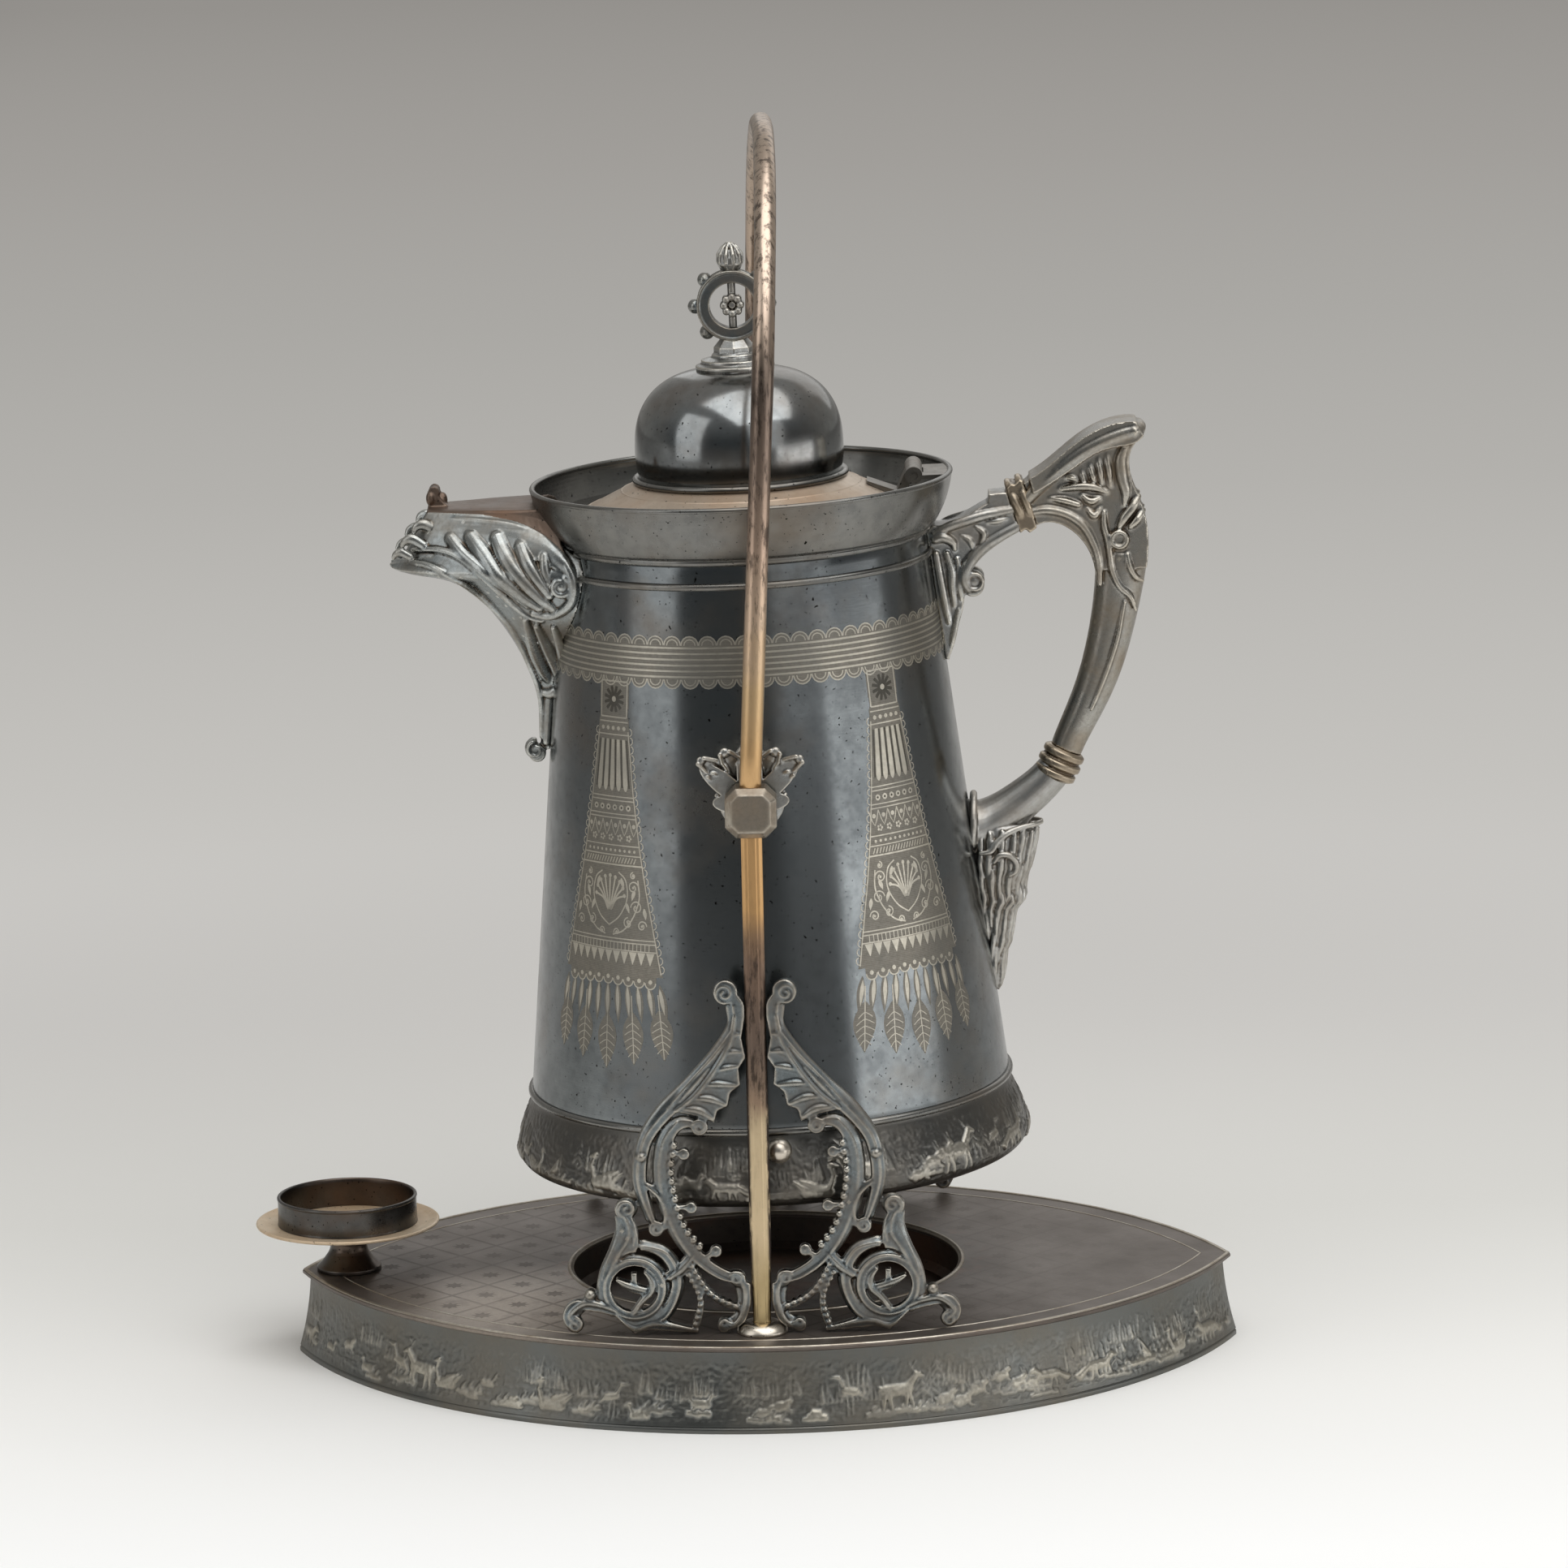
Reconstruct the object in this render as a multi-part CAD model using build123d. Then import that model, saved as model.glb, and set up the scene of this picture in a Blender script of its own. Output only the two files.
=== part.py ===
from build123d import *
import math
import os

# Tilting pitcher of silver plate on its stand. Millimetres, +Z up, +X towards the pitcher's
# handle, -X towards its spout, -Y the front. The origin is the middle of the tray's foot rim.

# Tray: a hollow lens-shaped plinth between two arcs that meet in pointed tips
TRAY_LENGTH = 376.0
TRAY_WIDTH = 264.0
TRAY_HEIGHT = 34.0
PLATE_THICK = 1.9
WALL_INSET = 3.0
WALL_FLARE = 2.0
FOOT_RIM_HEIGHT = 2.2
FOOT_RIM_WIDTH = 5.0
BASE_SHEET = 1.2
WELL_RADIUS = 78.6
WELL_DEPTH = 15.0
WELL_SHEET = 1.0
WELL_FLANGE = 5.0

# Hoop: two flat-sided uprights, a pivot block on each, and a round bail over the lid
HOOP_CLEARANCE = 1.7
UPRIGHT_WIDTH = 8.2
UPRIGHT_DEPTH = 7.0
UPRIGHT_ROUND = 1.5
UPRIGHT_WAIST = 6.6
WAIST_HEIGHT = 34.0
PIVOT_HEIGHT = 241.0
BLOCK_WIDTH = 20.0
BLOCK_HEIGHT = 19.6
BLOCK_DEPTH = 14.0
BLOCK_BEVEL = 4.2
TENON_RADIUS = 2.4
TENON_LENGTH = 5.0
BAIL_TOP = 498.3
BAIL_RADIUS = 4.3
BAIL_CORNER = 100.0
BAIL_SPRING_FRONT = 12.7
BAIL_SPRING_REAR = 3.6
BUTTON_RADIUS = 10.0
BUTTON_HEIGHT = 4.4
STUD_RADIUS = 3.0
NUT_FLATS = 10.0
NUT_HEIGHT = 4.0

# Scroll brackets: openwork castings in the plane of the uprights
BRACKET_THICK = 4.0
BRACKET_FRONT_SET_BACK = 0.2

# Goblet holder over the tray's left tip
GOBLET_X = -169.0
GOBLET_RING_INNER = 26.7
GOBLET_RING_WALL = 1.3
GOBLET_RING_HEIGHT = 11.6
GOBLET_DISC_RADIUS = 37.1
GOBLET_DISC_THICK = 1.4
GOBLET_DISC_HEIGHT = 18.0
PEDESTAL_FOOT = 13.0
PEDESTAL_NECK = 7.6
PEDESTAL_HEAD = 12.0

# Pitcher: a straight cone with a flared, rounded foot band and a bowl-shaped gallery
REST_LEAN = 1.56
SKIRT_BOTTOM = 81.5
SKIRT_FLARE = 6.7
FOOT_FLARE = 0.9
SKIRT_SHEET = 1.4
BODY_BOTTOM = 111.0
BODY_BOTTOM_RADIUS = 96.1
BODY_TOP = 331.0
BODY_TOP_RADIUS = 72.8
BODY_SHEET = 1.2
MOULDING_DROP = 9.4
MOULDING_WIDTH = 2.8
MOULDING_PROUD = 1.3
BEAD_WIDTH = 2.8
BEAD_PROUD = 1.1
GALLERY_HEIGHT = 24.4
GALLERY_SPREAD = 10.0
GALLERY_STEP = 0.8
GALLERY_BULGE = 2.2
GALLERY_SHEET = 1.3
MOUTH_INSET = 14.8
MOUTH_RISE = 11.5
MOUTH_SHEET = 1.2
LINER_SHOULDER = 1.6
LINER_FOOT_RADIUS = 84.0
LINER_FOOT = 92.0
LINER_SHEET = 1.0
THROAT_DROP = 14.0
THROAT_RADIUS = 9.0
THROAT_WALL = 1.2
STRAINER_HOLE = 1.9

# Lid: a cone flange, a dome and a ring finial on stepped discs
LID_OVERLAP = 6.0
LID_SHEET = 1.2
LID_PLUG_CLEARANCE = 1.8
LID_PLUG_DEPTH = 5.0
DOME_RADIUS = 41.3
DOME_RISE = 12.5
DOME_HEIGHT = 44.0
DOME_SHEET = 1.1
FINIAL_RISE = 24.8
FINIAL_STUD_RADIUS = 2.0
FINIAL_RING_OUTER = 13.7
FINIAL_RING_INNER = 9.0
FINIAL_RING_WIDTH = 8.0
FINIAL_KNOB = 2.0
ROSETTE_RADIUS = 4.8
SPINDLE_RADIUS = 1.6
BUD_RADIUS = 4.9
BUD_HEIGHT = 10.6

# Hinge of the lid, inside the gallery on the handle side
HINGE_OFFSET = 4.5
HINGE_RISE = 12.0
HINGE_RADIUS = 3.45
HINGE_PIN_RADIUS = 1.6
HINGE_LENGTH = 30.0
LID_KNUCKLE = 13.0
HINGE_LEAF = 1.5

# Trunnions, on which the pitcher hangs
TRUNNION_RADIUS = 3.0
TRUNNION_DEPTH = 6.5
BOSS_FOOT_RADIUS = 13.0
BOSS_HEAD_RADIUS = 8.0
LEAF_THICK = 3.0
STOP_BALL_RADIUS = 5.0
STOP_BALL_HEIGHT = 105.0

# Spout, handle and their depth from front to back
SPOUT_BACK = 14.8
SPOUT_SHEET = 1.8
COVER_DROP = 8.2
COVER_SHEET = 1.6
HANDLE_DEPTH = 15.0
THUMB_WIDTH = 22.0
COLLAR_RADIUS = 8.8
COLLAR_LENGTH = 12.6
ARM_TOP = 345.0
ARM_SLANT = 0.26
BAND_START = 105.2
BAND_END = 112.6

# Clearances: a soldered seam, a running pin and a stop
SOLDER = 0.05
RUNNING = 0.05
STOP_GAP = 0.3

# Values that follow from the sizes above
half_length = TRAY_LENGTH / 2
half_width = TRAY_WIDTH / 2
arc_radius = (half_length**2 + half_width**2) / (2 * half_width)
arc_centre = arc_radius - half_width
plate_under = TRAY_HEIGHT - PLATE_THICK
skirt_radius = BODY_BOTTOM_RADIUS + SKIRT_FLARE
foot_radius = BODY_BOTTOM_RADIUS + FOOT_FLARE
hoop_reach = skirt_radius + HOOP_CLEARANCE + UPRIGHT_DEPTH / 2
moulding_height = BODY_TOP - MOULDING_DROP
gallery_top = BODY_TOP + GALLERY_HEIGHT
gallery_foot_radius = BODY_TOP_RADIUS + GALLERY_STEP
rim_radius = gallery_foot_radius + GALLERY_SPREAD
mouth_height = BODY_TOP + MOUTH_RISE
mouth_radius = BODY_TOP_RADIUS - MOUTH_INSET
liner_top_radius = mouth_radius + LINER_SHOULDER
lid_radius = mouth_radius + LID_OVERLAP
lid_plug_radius = mouth_radius - LID_PLUG_CLEARANCE
hinge_x = lid_radius + HINGE_OFFSET
throat_height = BODY_TOP - THROAT_DROP
cover_height = gallery_top - COVER_DROP
hinge_height = mouth_height + HINGE_RISE
dome_foot = mouth_height + DOME_RISE
dome_top = dome_foot + DOME_HEIGHT
finial_ring_height = dome_top + FINIAL_RISE
block_bottom = PIVOT_HEIGHT - BLOCK_HEIGHT / 2
block_top = PIVOT_HEIGHT + BLOCK_HEIGHT / 2
block_face = hoop_reach - BLOCK_DEPTH / 2
body_slope = (BODY_BOTTOM_RADIUS - BODY_TOP_RADIUS) / (BODY_TOP - BODY_BOTTOM)
lid_seat = mouth_height + STOP_GAP
flange_slope = (dome_foot - lid_seat - LID_SHEET) / (lid_radius - DOME_RADIUS)
disc_top = TRAY_HEIGHT + GOBLET_DISC_HEIGHT + GOBLET_DISC_THICK


def body_radius(z):
    """Outer radius of the pitcher's cone at a height."""
    return BODY_BOTTOM_RADIUS - body_slope * (z - BODY_BOTTOM)


def liner_radius(z):
    """Outer radius of the liner at a height."""
    share = (z - LINER_FOOT) / (mouth_height - LINER_FOOT)
    return LINER_FOOT_RADIUS + share * (liner_top_radius - LINER_FOOT_RADIUS)


def flange_top(r):
    """Height of the lid flange's upper side at a radius."""
    return lid_seat + LID_SHEET + flange_slope * (lid_radius - r)


def gallery_wall(inset):
    """The gallery's arc from its foot to its rim, as three points, moved inwards by an inset."""
    foot = Vector(gallery_foot_radius, BODY_TOP)
    rim = Vector(rim_radius, gallery_top)
    chord = rim - foot
    normal = Vector(chord.Y, -chord.X).normalized()
    middle = (foot + rim) * 0.5 + normal * GALLERY_BULGE
    shift = Vector(-inset, 0)
    return foot + shift, middle + shift, rim + shift


def gallery_radius(z, inset=0.0):
    """Radius of the gallery's wall at a height."""
    foot, middle, rim = gallery_wall(inset)
    arc = ThreePointArc(foot, middle, rim)
    centre = arc.arc_center
    return centre.X + math.sqrt(arc.radius**2 - (z - centre.Y) ** 2)


def spin(*edges):
    """Solid of revolution about Z of a closed outline given as radius and height."""
    face = make_face(Curve() + list(edges))
    return revolve(Rot(90, 0, 0) * face, Axis.Z)


def spin_points(points):
    """Solid of revolution about Z of a straight-sided outline."""
    return spin(Polyline(*points, close=True))


def rod(radius, low, high):
    return Pos(0, 0, low) * Cylinder(radius, high - low, align=(Align.CENTER, Align.CENTER, Align.MIN))


def rod_along_y(radius, start, end, x=0.0, z=0.0):
    """Cylinder parallel to Y between two Y values."""
    middle = (start + end) / 2
    return Pos(x, middle, z) * Rot(90, 0, 0) * Cylinder(radius, abs(end - start))


def plate_in_xz(face, thick, y=0.0):
    """Extrudes a face drawn in X and Z, centred on a Y value."""
    return Pos(0, y + thick / 2, 0) * extrude(Rot(90, 0, 0) * face, thick, dir=(0, -1, 0))


def leaned(part):
    """Turns a pitcher piece from upright to its lean at rest."""
    return Pos(0, 0, PIVOT_HEIGHT) * Rot(0, -REST_LEAN, 0) * Pos(0, 0, -PIVOT_HEIGHT) * part


# Tray

def lens_block(profile):
    """Lens-shaped solid whose two arcs stand at each height where the profile says."""
    spun = spin(*profile)
    return (Pos(0, arc_centre, 0) * spun) & (Pos(0, -arc_centre, 0) * spun)


def wall_profile(inset, low, rim):
    """Outline of one arc's wall: foot rim, concave flare and closed inner sides."""
    top = plate_under - SOLDER
    foot = arc_radius + WALL_FLARE - inset
    head = arc_radius - WALL_INSET - inset
    middle = (foot + head) / 2 - 0.9, (rim + top) / 2
    return [
        Polyline((0, top), (0, low), (foot, low), (foot, rim)),
        ThreePointArc((foot, rim), middle, (head, top)),
        Line((head, top), (0, top)),
    ]


def make_base_wall():
    outer = lens_block(wall_profile(0.0, 0.0, FOOT_RIM_HEIGHT))
    inner = lens_block(wall_profile(BASE_SHEET, BASE_SHEET, FOOT_RIM_HEIGHT + BASE_SHEET))
    opening = arc_radius + WALL_FLARE - FOOT_RIM_WIDTH
    above = BASE_SHEET + 1
    hole = lens_block([Polyline((0, -1), (opening, -1), (opening, above), (0, above), close=True)])
    return outer - inner - hole


def make_top_plate():
    edge = arc_radius
    plate = lens_block([
        Polyline((0, plate_under), (edge - 0.5, plate_under), (edge, plate_under + 0.5),
                 (edge, TRAY_HEIGHT - 0.4), (edge - 0.4, TRAY_HEIGHT), (0, TRAY_HEIGHT), close=True)
    ])
    plate -= rod(WELL_RADIUS, plate_under - 1, TRAY_HEIGHT + 1)
    for side in (-1, 1):
        plate -= Pos(0, side * hoop_reach, 0) * rod(STUD_RADIUS + SOLDER, plate_under - 1, TRAY_HEIGHT + 1)
    plate -= Pos(GOBLET_X, 0, 0) * rod(STUD_RADIUS + SOLDER, plate_under - 1, TRAY_HEIGHT + 1)
    return plate


def make_drip_well():
    top = plate_under - SOLDER
    floor = TRAY_HEIGHT - WELL_DEPTH
    wall = WELL_RADIUS + WELL_SHEET
    return spin_points([
        (0, floor), (WELL_RADIUS - 3, floor), (WELL_RADIUS, floor + 3), (WELL_RADIUS, top),
        (wall + WELL_FLANGE, top), (wall + WELL_FLANGE, top - WELL_SHEET), (wall, top - WELL_SHEET),
        (wall, floor + 2.6), (WELL_RADIUS - 2.6, floor - WELL_SHEET), (0, floor - WELL_SHEET),
    ])


# Hoop

def make_upright(side):
    """Flat-sided bar from the tray to the pivot block, waisted towards its foot."""
    def section(width, z):
        return Pos(0, 0, z) * RectangleRounded(width, UPRIGHT_DEPTH, UPRIGHT_ROUND)

    low = TRAY_HEIGHT + SOLDER
    knee = low + WAIST_HEIGHT
    high = block_bottom - SOLDER
    bar = loft([section(UPRIGHT_WAIST, low), section(UPRIGHT_WIDTH, knee)], ruled=True)
    bar += extrude(section(UPRIGHT_WIDTH, knee), high - knee)
    bar += rod(TENON_RADIUS, high - 1, high + TENON_LENGTH)
    bar += rod(STUD_RADIUS, plate_under - NUT_HEIGHT - 2, low + 1)
    return Pos(0, side * hoop_reach, 0) * bar


def make_foot_button(side):
    """Domed washer round the foot of an upright."""
    low = TRAY_HEIGHT + SOLDER
    dome = spin(
        Polyline((0, low + BUTTON_HEIGHT), (0, low), (BUTTON_RADIUS, low), (BUTTON_RADIUS, low + 1.0)),
        ThreePointArc((BUTTON_RADIUS, low + 1.0), (BUTTON_RADIUS * 0.8, low + BUTTON_HEIGHT * 0.8),
                      (BUTTON_RADIUS * 0.45, low + BUTTON_HEIGHT)),
        Line((BUTTON_RADIUS * 0.45, low + BUTTON_HEIGHT), (0, low + BUTTON_HEIGHT)),
    )
    share = (BUTTON_HEIGHT + SOLDER) / WAIST_HEIGHT
    hole_width = UPRIGHT_WAIST + share * (UPRIGHT_WIDTH - UPRIGHT_WAIST) + 2 * SOLDER
    hole = Pos(0, 0, low - 1) * extrude(Rectangle(hole_width, UPRIGHT_DEPTH + 2 * SOLDER), BUTTON_HEIGHT + 3)
    return Pos(0, side * hoop_reach, 0) * (dome - hole)


def make_hoop_nuts():
    """The two hexagon nuts under the tray that hold the uprights."""
    nut = extrude(RegularPolygon(NUT_FLATS / 2, 6, major_radius=False), NUT_HEIGHT)
    nut = Pos(0, 0, plate_under - SOLDER - NUT_HEIGHT) * nut
    nut -= rod(STUD_RADIUS + SOLDER, 0, TRAY_HEIGHT)
    return Compound([Pos(0, -hoop_reach, 0) * nut, Pos(0, hoop_reach, 0) * nut])


def make_pivot_block(side):
    """Eight-sided block with a bevelled outer face, sockets for both bars and a blind bore."""
    block = Box(BLOCK_WIDTH, BLOCK_DEPTH, BLOCK_HEIGHT)
    block = chamfer(block.edges().filter_by(Axis.Y), BLOCK_BEVEL)
    block = chamfer(block.faces().sort_by(Axis.Y)[0].edges(), 2.6)
    block = Pos(0, 0, PIVOT_HEIGHT) * block
    block -= rod(TENON_RADIUS + SOLDER, block_bottom - 1, block_bottom + TENON_LENGTH + SOLDER)
    block -= rod(TENON_RADIUS + SOLDER, block_top - TENON_LENGTH - SOLDER, block_top + 1)
    bore = rod_along_y(TRUNNION_RADIUS + RUNNING, BLOCK_DEPTH / 2 + 1,
                       BLOCK_DEPTH / 2 - TRUNNION_DEPTH - STOP_GAP, z=PIVOT_HEIGHT)
    block -= bore
    block = Pos(0, -hoop_reach, 0) * block
    return block if side < 0 else mirror(block, Plane.XZ)


def make_bail():
    """Round bar from block to block over the lid, sprung a little towards the handle."""
    crown = BAIL_TOP - BAIL_RADIUS
    start = block_top - TENON_LENGTH
    path = FilletPolyline(
        (0, -hoop_reach, start), (BAIL_SPRING_FRONT, -hoop_reach, crown),
        (BAIL_SPRING_REAR, hoop_reach, crown), (0, hoop_reach, start), radius=BAIL_CORNER,
    )
    bar = sweep(Plane(origin=path @ 0, z_dir=path % 0) * Circle(BAIL_RADIUS), path=path)
    foot = block_top + SOLDER
    bar -= Pos(0, 0, foot) * Box(4 * BLOCK_WIDTH, 4 * hoop_reach, 4 * TENON_LENGTH,
                                 align=(Align.CENTER, Align.CENTER, Align.MAX))
    for side in (-1, 1):
        bar += Pos(0, side * hoop_reach, 0) * rod(TENON_RADIUS, block_top - TENON_LENGTH, foot + 1)
    return bar


# Scroll brackets

def arc_run(points):
    """Arcs through each three points in turn, from an odd number of points."""
    run = Curve()
    for start, middle, end in zip(points[:-2:2], points[1:-1:2], points[2::2]):
        bend = (middle - start).cross(end - middle).Z
        straight = abs(bend) < 0.02 * (end - start).length
        run += Line(start, end) if straight else ThreePointArc(start, middle, end)
    return run


def stroke(points, widths):
    """Tapered curved band in the plane: arcs through an odd number of points, with the width at each."""
    spine = [Vector(*point) for point in points]
    left, right = [], []
    for index, width in enumerate(widths):
        along = spine[min(index + 1, len(spine) - 1)] - spine[max(index - 1, 0)]
        across = Vector(-along.Y, along.X).normalized() * (width / 2)
        left.append(spine[index] + across)
        right.append(spine[index] - across)
    outline = arc_run(left) + Line(left[-1], right[-1]) + arc_run(right[::-1]) + Line(right[0], left[0])
    return make_face(outline)


def band(start, end, width):
    """Straight band in the plane between two points."""
    middle = ((start[0] + end[0]) / 2, (start[1] + end[1]) / 2)
    return stroke([start, middle, end], [width] * 3)


def spot(u, v, radius):
    return Pos(u, v) * Circle(radius)


def bracket_face():
    """Openwork of one bracket: outwards from the upright's centre line, upwards from the tray."""
    side = UPRIGHT_WIDTH / 2 + SOLDER
    # Acanthus wing from the top curl to the two scrolls, with a serrated inner edge
    wing = [(7.6, 132.6), (7.6, 123.0), (14.0, 113.0), (23.6, 102.4), (35.0, 90.0)]
    teeth = Polyline((35.0, 90.0), (24.0, 87.6), (16.8, 84.8), (15.6, 89.6), (11.6, 91.0), (10.4, 96.6),
                     (6.4, 99.6), (7.0, 106.0), (side, 110.4), (5.6, 118.0), (side, 126.6), (side, 131.0),
                     (7.6, 132.6))
    face = make_face(arc_run([Vector(*point) for point in wing]) + teeth)
    # C-scroll and the branch outside it
    face += stroke([(22.6, 83.2), (29.6, 84.2), (34.9, 77.0), (36.9, 65.7), (35.1, 53.0), (30.6, 40.5),
                    (23.6, 30.4), (15.9, 24.6), (8.9, 22.4)], [2.4, 3.6, 4.4, 4.6, 4.6, 4.6, 4.4, 4.0, 3.0])
    face += stroke([(31.0, 91.4), (38.4, 84.4), (43.6, 76.6), (45.7, 62.0), (41.2, 45.4)],
                   [3.4, 3.2, 3.2, 3.6, 1.6])
    face += stroke([(43.6, 60.6), (38.2, 55.4), (36.0, 49.0), (37.0, 44.0), (40.2, 41.6)],
                   [1.6, 3.0, 3.2, 2.8, 2.4])
    # Balls on short necks along the inner edge
    necks = [((29.0, 72.3), (34.5, 73.0)), ((26.6, 50.8), (32.6, 51.2)), ((17.4, 33.2), (22.6, 30.0))]
    for ball, root in necks:
        face += band(root, ball, 2.0)
        face += spot(*ball, 2.3)
    # Curls
    face += spot(11.4, 136.4, 4.7)
    face += stroke([(6.6, 128.0), (6.9, 131.8), (9.4, 134.6)], [4.2, 4.6, 4.0])
    face += spot(22.6, 83.0, 3.3)
    face += spot(9.1, 22.2, 3.1)
    face += spot(40.4, 42.6, 3.0)
    face += spot(45.6, 71.4, 2.3)
    # Leaf finial that grows out of the ring
    leaf = [(55.4, 52.6), (54.2, 46.6), (54.6, 40.4), (58.6, 33.0), (62.0, 22.4), (60.2, 22.2), (58.6, 22.6),
            (55.4, 30.6), (48.4, 33.4), (47.5, 41.0), (50.2, 48.4), (52.6, 50.8), (55.4, 52.6)]
    face += make_face(arc_run([Vector(*point) for point in leaf]))
    face += spot(52.4, 50.6, 4.0)
    # Ring, its outer sweep and the scroll inside it
    face += Pos(49.4, 18.8) * (Circle(12.2) - Circle(9.4))
    face += stroke([(46.6, 35.2), (37.6, 32.0), (33.2, 21.0), (37.6, 9.4), (46.0, 5.0)],
                   [2.2, 3.2, 3.4, 4.0, 4.0])
    face += stroke([(50.2, 8.4), (46.6, 13.6), (42.8, 17.6), (42.6, 21.8), (45.2, 25.4)],
                   [2.6, 2.6, 3.2, 3.0, 1.4])
    face += stroke([(56.2, 22.4), (51.2, 19.6), (44.0, 17.4)], [1.2, 3.4, 3.0])
    face += band((49.6, 25.0), (49.4, 21.0), 2.2)
    # Bridge with beads, tendrils and the stem beside the upright
    face += stroke([(36.0, 22.6), (30.8, 26.4), (26.4, 31.6)], [5.6, 5.0, 4.6])
    face += stroke([(27.4, 28.6), (19.6, 15.8), (7.4, 10.2)], [2.8, 2.6, 2.4])
    face += stroke([(28.6, 26.2), (23.8, 14.0), (26.6, 1.4)], [2.8, 2.6, 2.2])
    face += stroke([(8.2, 22.4), (side + 1.7, 16.6), (6.6, 9.0), (10.0, 3.8), (14.6, 2.6)],
                   [2.6, 3.2, 3.0, 2.6, 2.2])
    face += spot(14.8, 3.2, 2.6)
    face += Pos(side + 0.8, 16.8) * Rectangle(1.6, 7.0)
    # Foot: cusp under the ring and the end scroll with its bud
    face += make_face(Polyline((58.0, 9.0), (49.8, 0.6), (44.0, 2.2), (24.6, 0.6), (24.6, 2.0), (40.6, 6.6),
                               close=True))
    face += stroke([(57.6, 10.0), (63.6, 11.4), (69.2, 12.4), (75.6, 8.0), (71.2, 2.5)],
                   [4.4, 3.8, 4.4, 4.2, 3.4])
    face += band((69.4, 12.0), (67.0, 16.4), 3.0)
    face += spot(66.8, 16.6, 2.2)
    return face


def make_bracket(side_x, side_y):
    """One of the four brackets: side_x -1 is towards the spout, side_y -1 is the front."""
    thick = BRACKET_THICK
    outer = hoop_reach + UPRIGHT_DEPTH / 2 - BRACKET_FRONT_SET_BACK
    flat = extrude(bracket_face(), thick)
    standing = Pos(0, -outer + thick, TRAY_HEIGHT + SOLDER) * Rot(90, 0, 0) * flat
    foot = TRAY_HEIGHT + SOLDER
    below = Box(TRAY_LENGTH, TRAY_WIDTH, TRAY_HEIGHT, align=(Align.CENTER, Align.CENTER, Align.MAX))
    standing -= Pos(0, -outer, foot) * below
    if side_x < 0:
        standing = mirror(standing, Plane.YZ)
    if side_y > 0:
        standing = mirror(standing, Plane.XZ)
    return standing


# Goblet holder

def make_goblet_pedestal():
    """Spool that carries the disc, with a stud through the plate."""
    low = TRAY_HEIGHT + SOLDER
    high = TRAY_HEIGHT + GOBLET_DISC_HEIGHT - SOLDER
    waist = low + 0.62 * (high - low)
    spool = spin_points([
        (0, plate_under - NUT_HEIGHT - 2), (STUD_RADIUS, plate_under - NUT_HEIGHT - 2), (STUD_RADIUS, low),
        (PEDESTAL_FOOT, low), (PEDESTAL_FOOT, low + 1.6), (PEDESTAL_FOOT - 3.4, low + 5.0),
        (PEDESTAL_NECK, waist), (PEDESTAL_NECK + 1.2, high - 3.0), (PEDESTAL_HEAD, high), (0, high),
    ])
    return Pos(GOBLET_X, 0, 0) * spool


def make_goblet_disc():
    low = TRAY_HEIGHT + GOBLET_DISC_HEIGHT
    high = low + GOBLET_DISC_THICK
    disc = spin_points([
        (0, low), (GOBLET_DISC_RADIUS - 4, low), (GOBLET_DISC_RADIUS, low + 0.8),
        (GOBLET_DISC_RADIUS, high + 0.9), (GOBLET_DISC_RADIUS - 4, high), (0, high),
    ])
    return Pos(GOBLET_X, 0, 0) * disc


def make_goblet_ring():
    inner = GOBLET_RING_INNER
    outer = inner + GOBLET_RING_WALL
    low = disc_top + SOLDER
    high = low + GOBLET_RING_HEIGHT
    ring = spin_points([(inner, low), (outer, low), (outer, high - 0.4), (outer - 0.4, high), (inner, high)])
    return Pos(GOBLET_X, 0, 0) * ring


def make_goblet_nut():
    nut = extrude(RegularPolygon(NUT_FLATS / 2, 6, major_radius=False), NUT_HEIGHT)
    nut = Pos(0, 0, plate_under - SOLDER - NUT_HEIGHT) * nut
    return Pos(GOBLET_X, 0, 0) * (nut - rod(STUD_RADIUS + SOLDER, 0, TRAY_HEIGHT))


# Pitcher body

def moulding_points(gap):
    """Outline of the bead under the gallery, from the cone outwards, grown by a gap."""
    low = moulding_height - gap
    high = moulding_height + MOULDING_WIDTH + gap
    proud = body_radius(low) + SOLDER + MOULDING_PROUD + gap
    root = SOLDER - gap
    start, end = (body_radius(low) + root, low), (body_radius(high) + root, high)
    return [start, (proud, low + 0.9), (proud, high - 0.9), end]


def pitcher_core():
    """Outer form of cone, bead and gallery with a seam's clearance, which cuts what is soldered on."""
    foot, middle, rim = gallery_wall(-SOLDER)
    return spin_points(moulding_points(SOLDER)) + spin(
        Polyline((0, rim.Y), (0, BODY_BOTTOM), (BODY_BOTTOM_RADIUS + SOLDER, BODY_BOTTOM),
                 (BODY_TOP_RADIUS + SOLDER, BODY_TOP), (foot.X, foot.Y)),
        ThreePointArc(foot, middle, rim),
        Line(rim, (0, rim.Y)),
    )


def make_pitcher_body():
    sheet = BODY_SHEET
    shell = spin_points([
        (BODY_BOTTOM_RADIUS - sheet, BODY_BOTTOM), (BODY_BOTTOM_RADIUS, BODY_BOTTOM),
        (BODY_TOP_RADIUS, BODY_TOP - SOLDER), (BODY_TOP_RADIUS - sheet, BODY_TOP - SOLDER),
    ])
    return shell - throat_rod(THROAT_RADIUS + THROAT_WALL + SOLDER)


def throat_rod(radius):
    """Cylinder along -X at the height of the pouring throat."""
    reach = body_radius(throat_height) + 10
    return Pos(-reach / 2, 0, throat_height) * Rot(0, 90, 0) * Cylinder(radius, reach)


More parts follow.
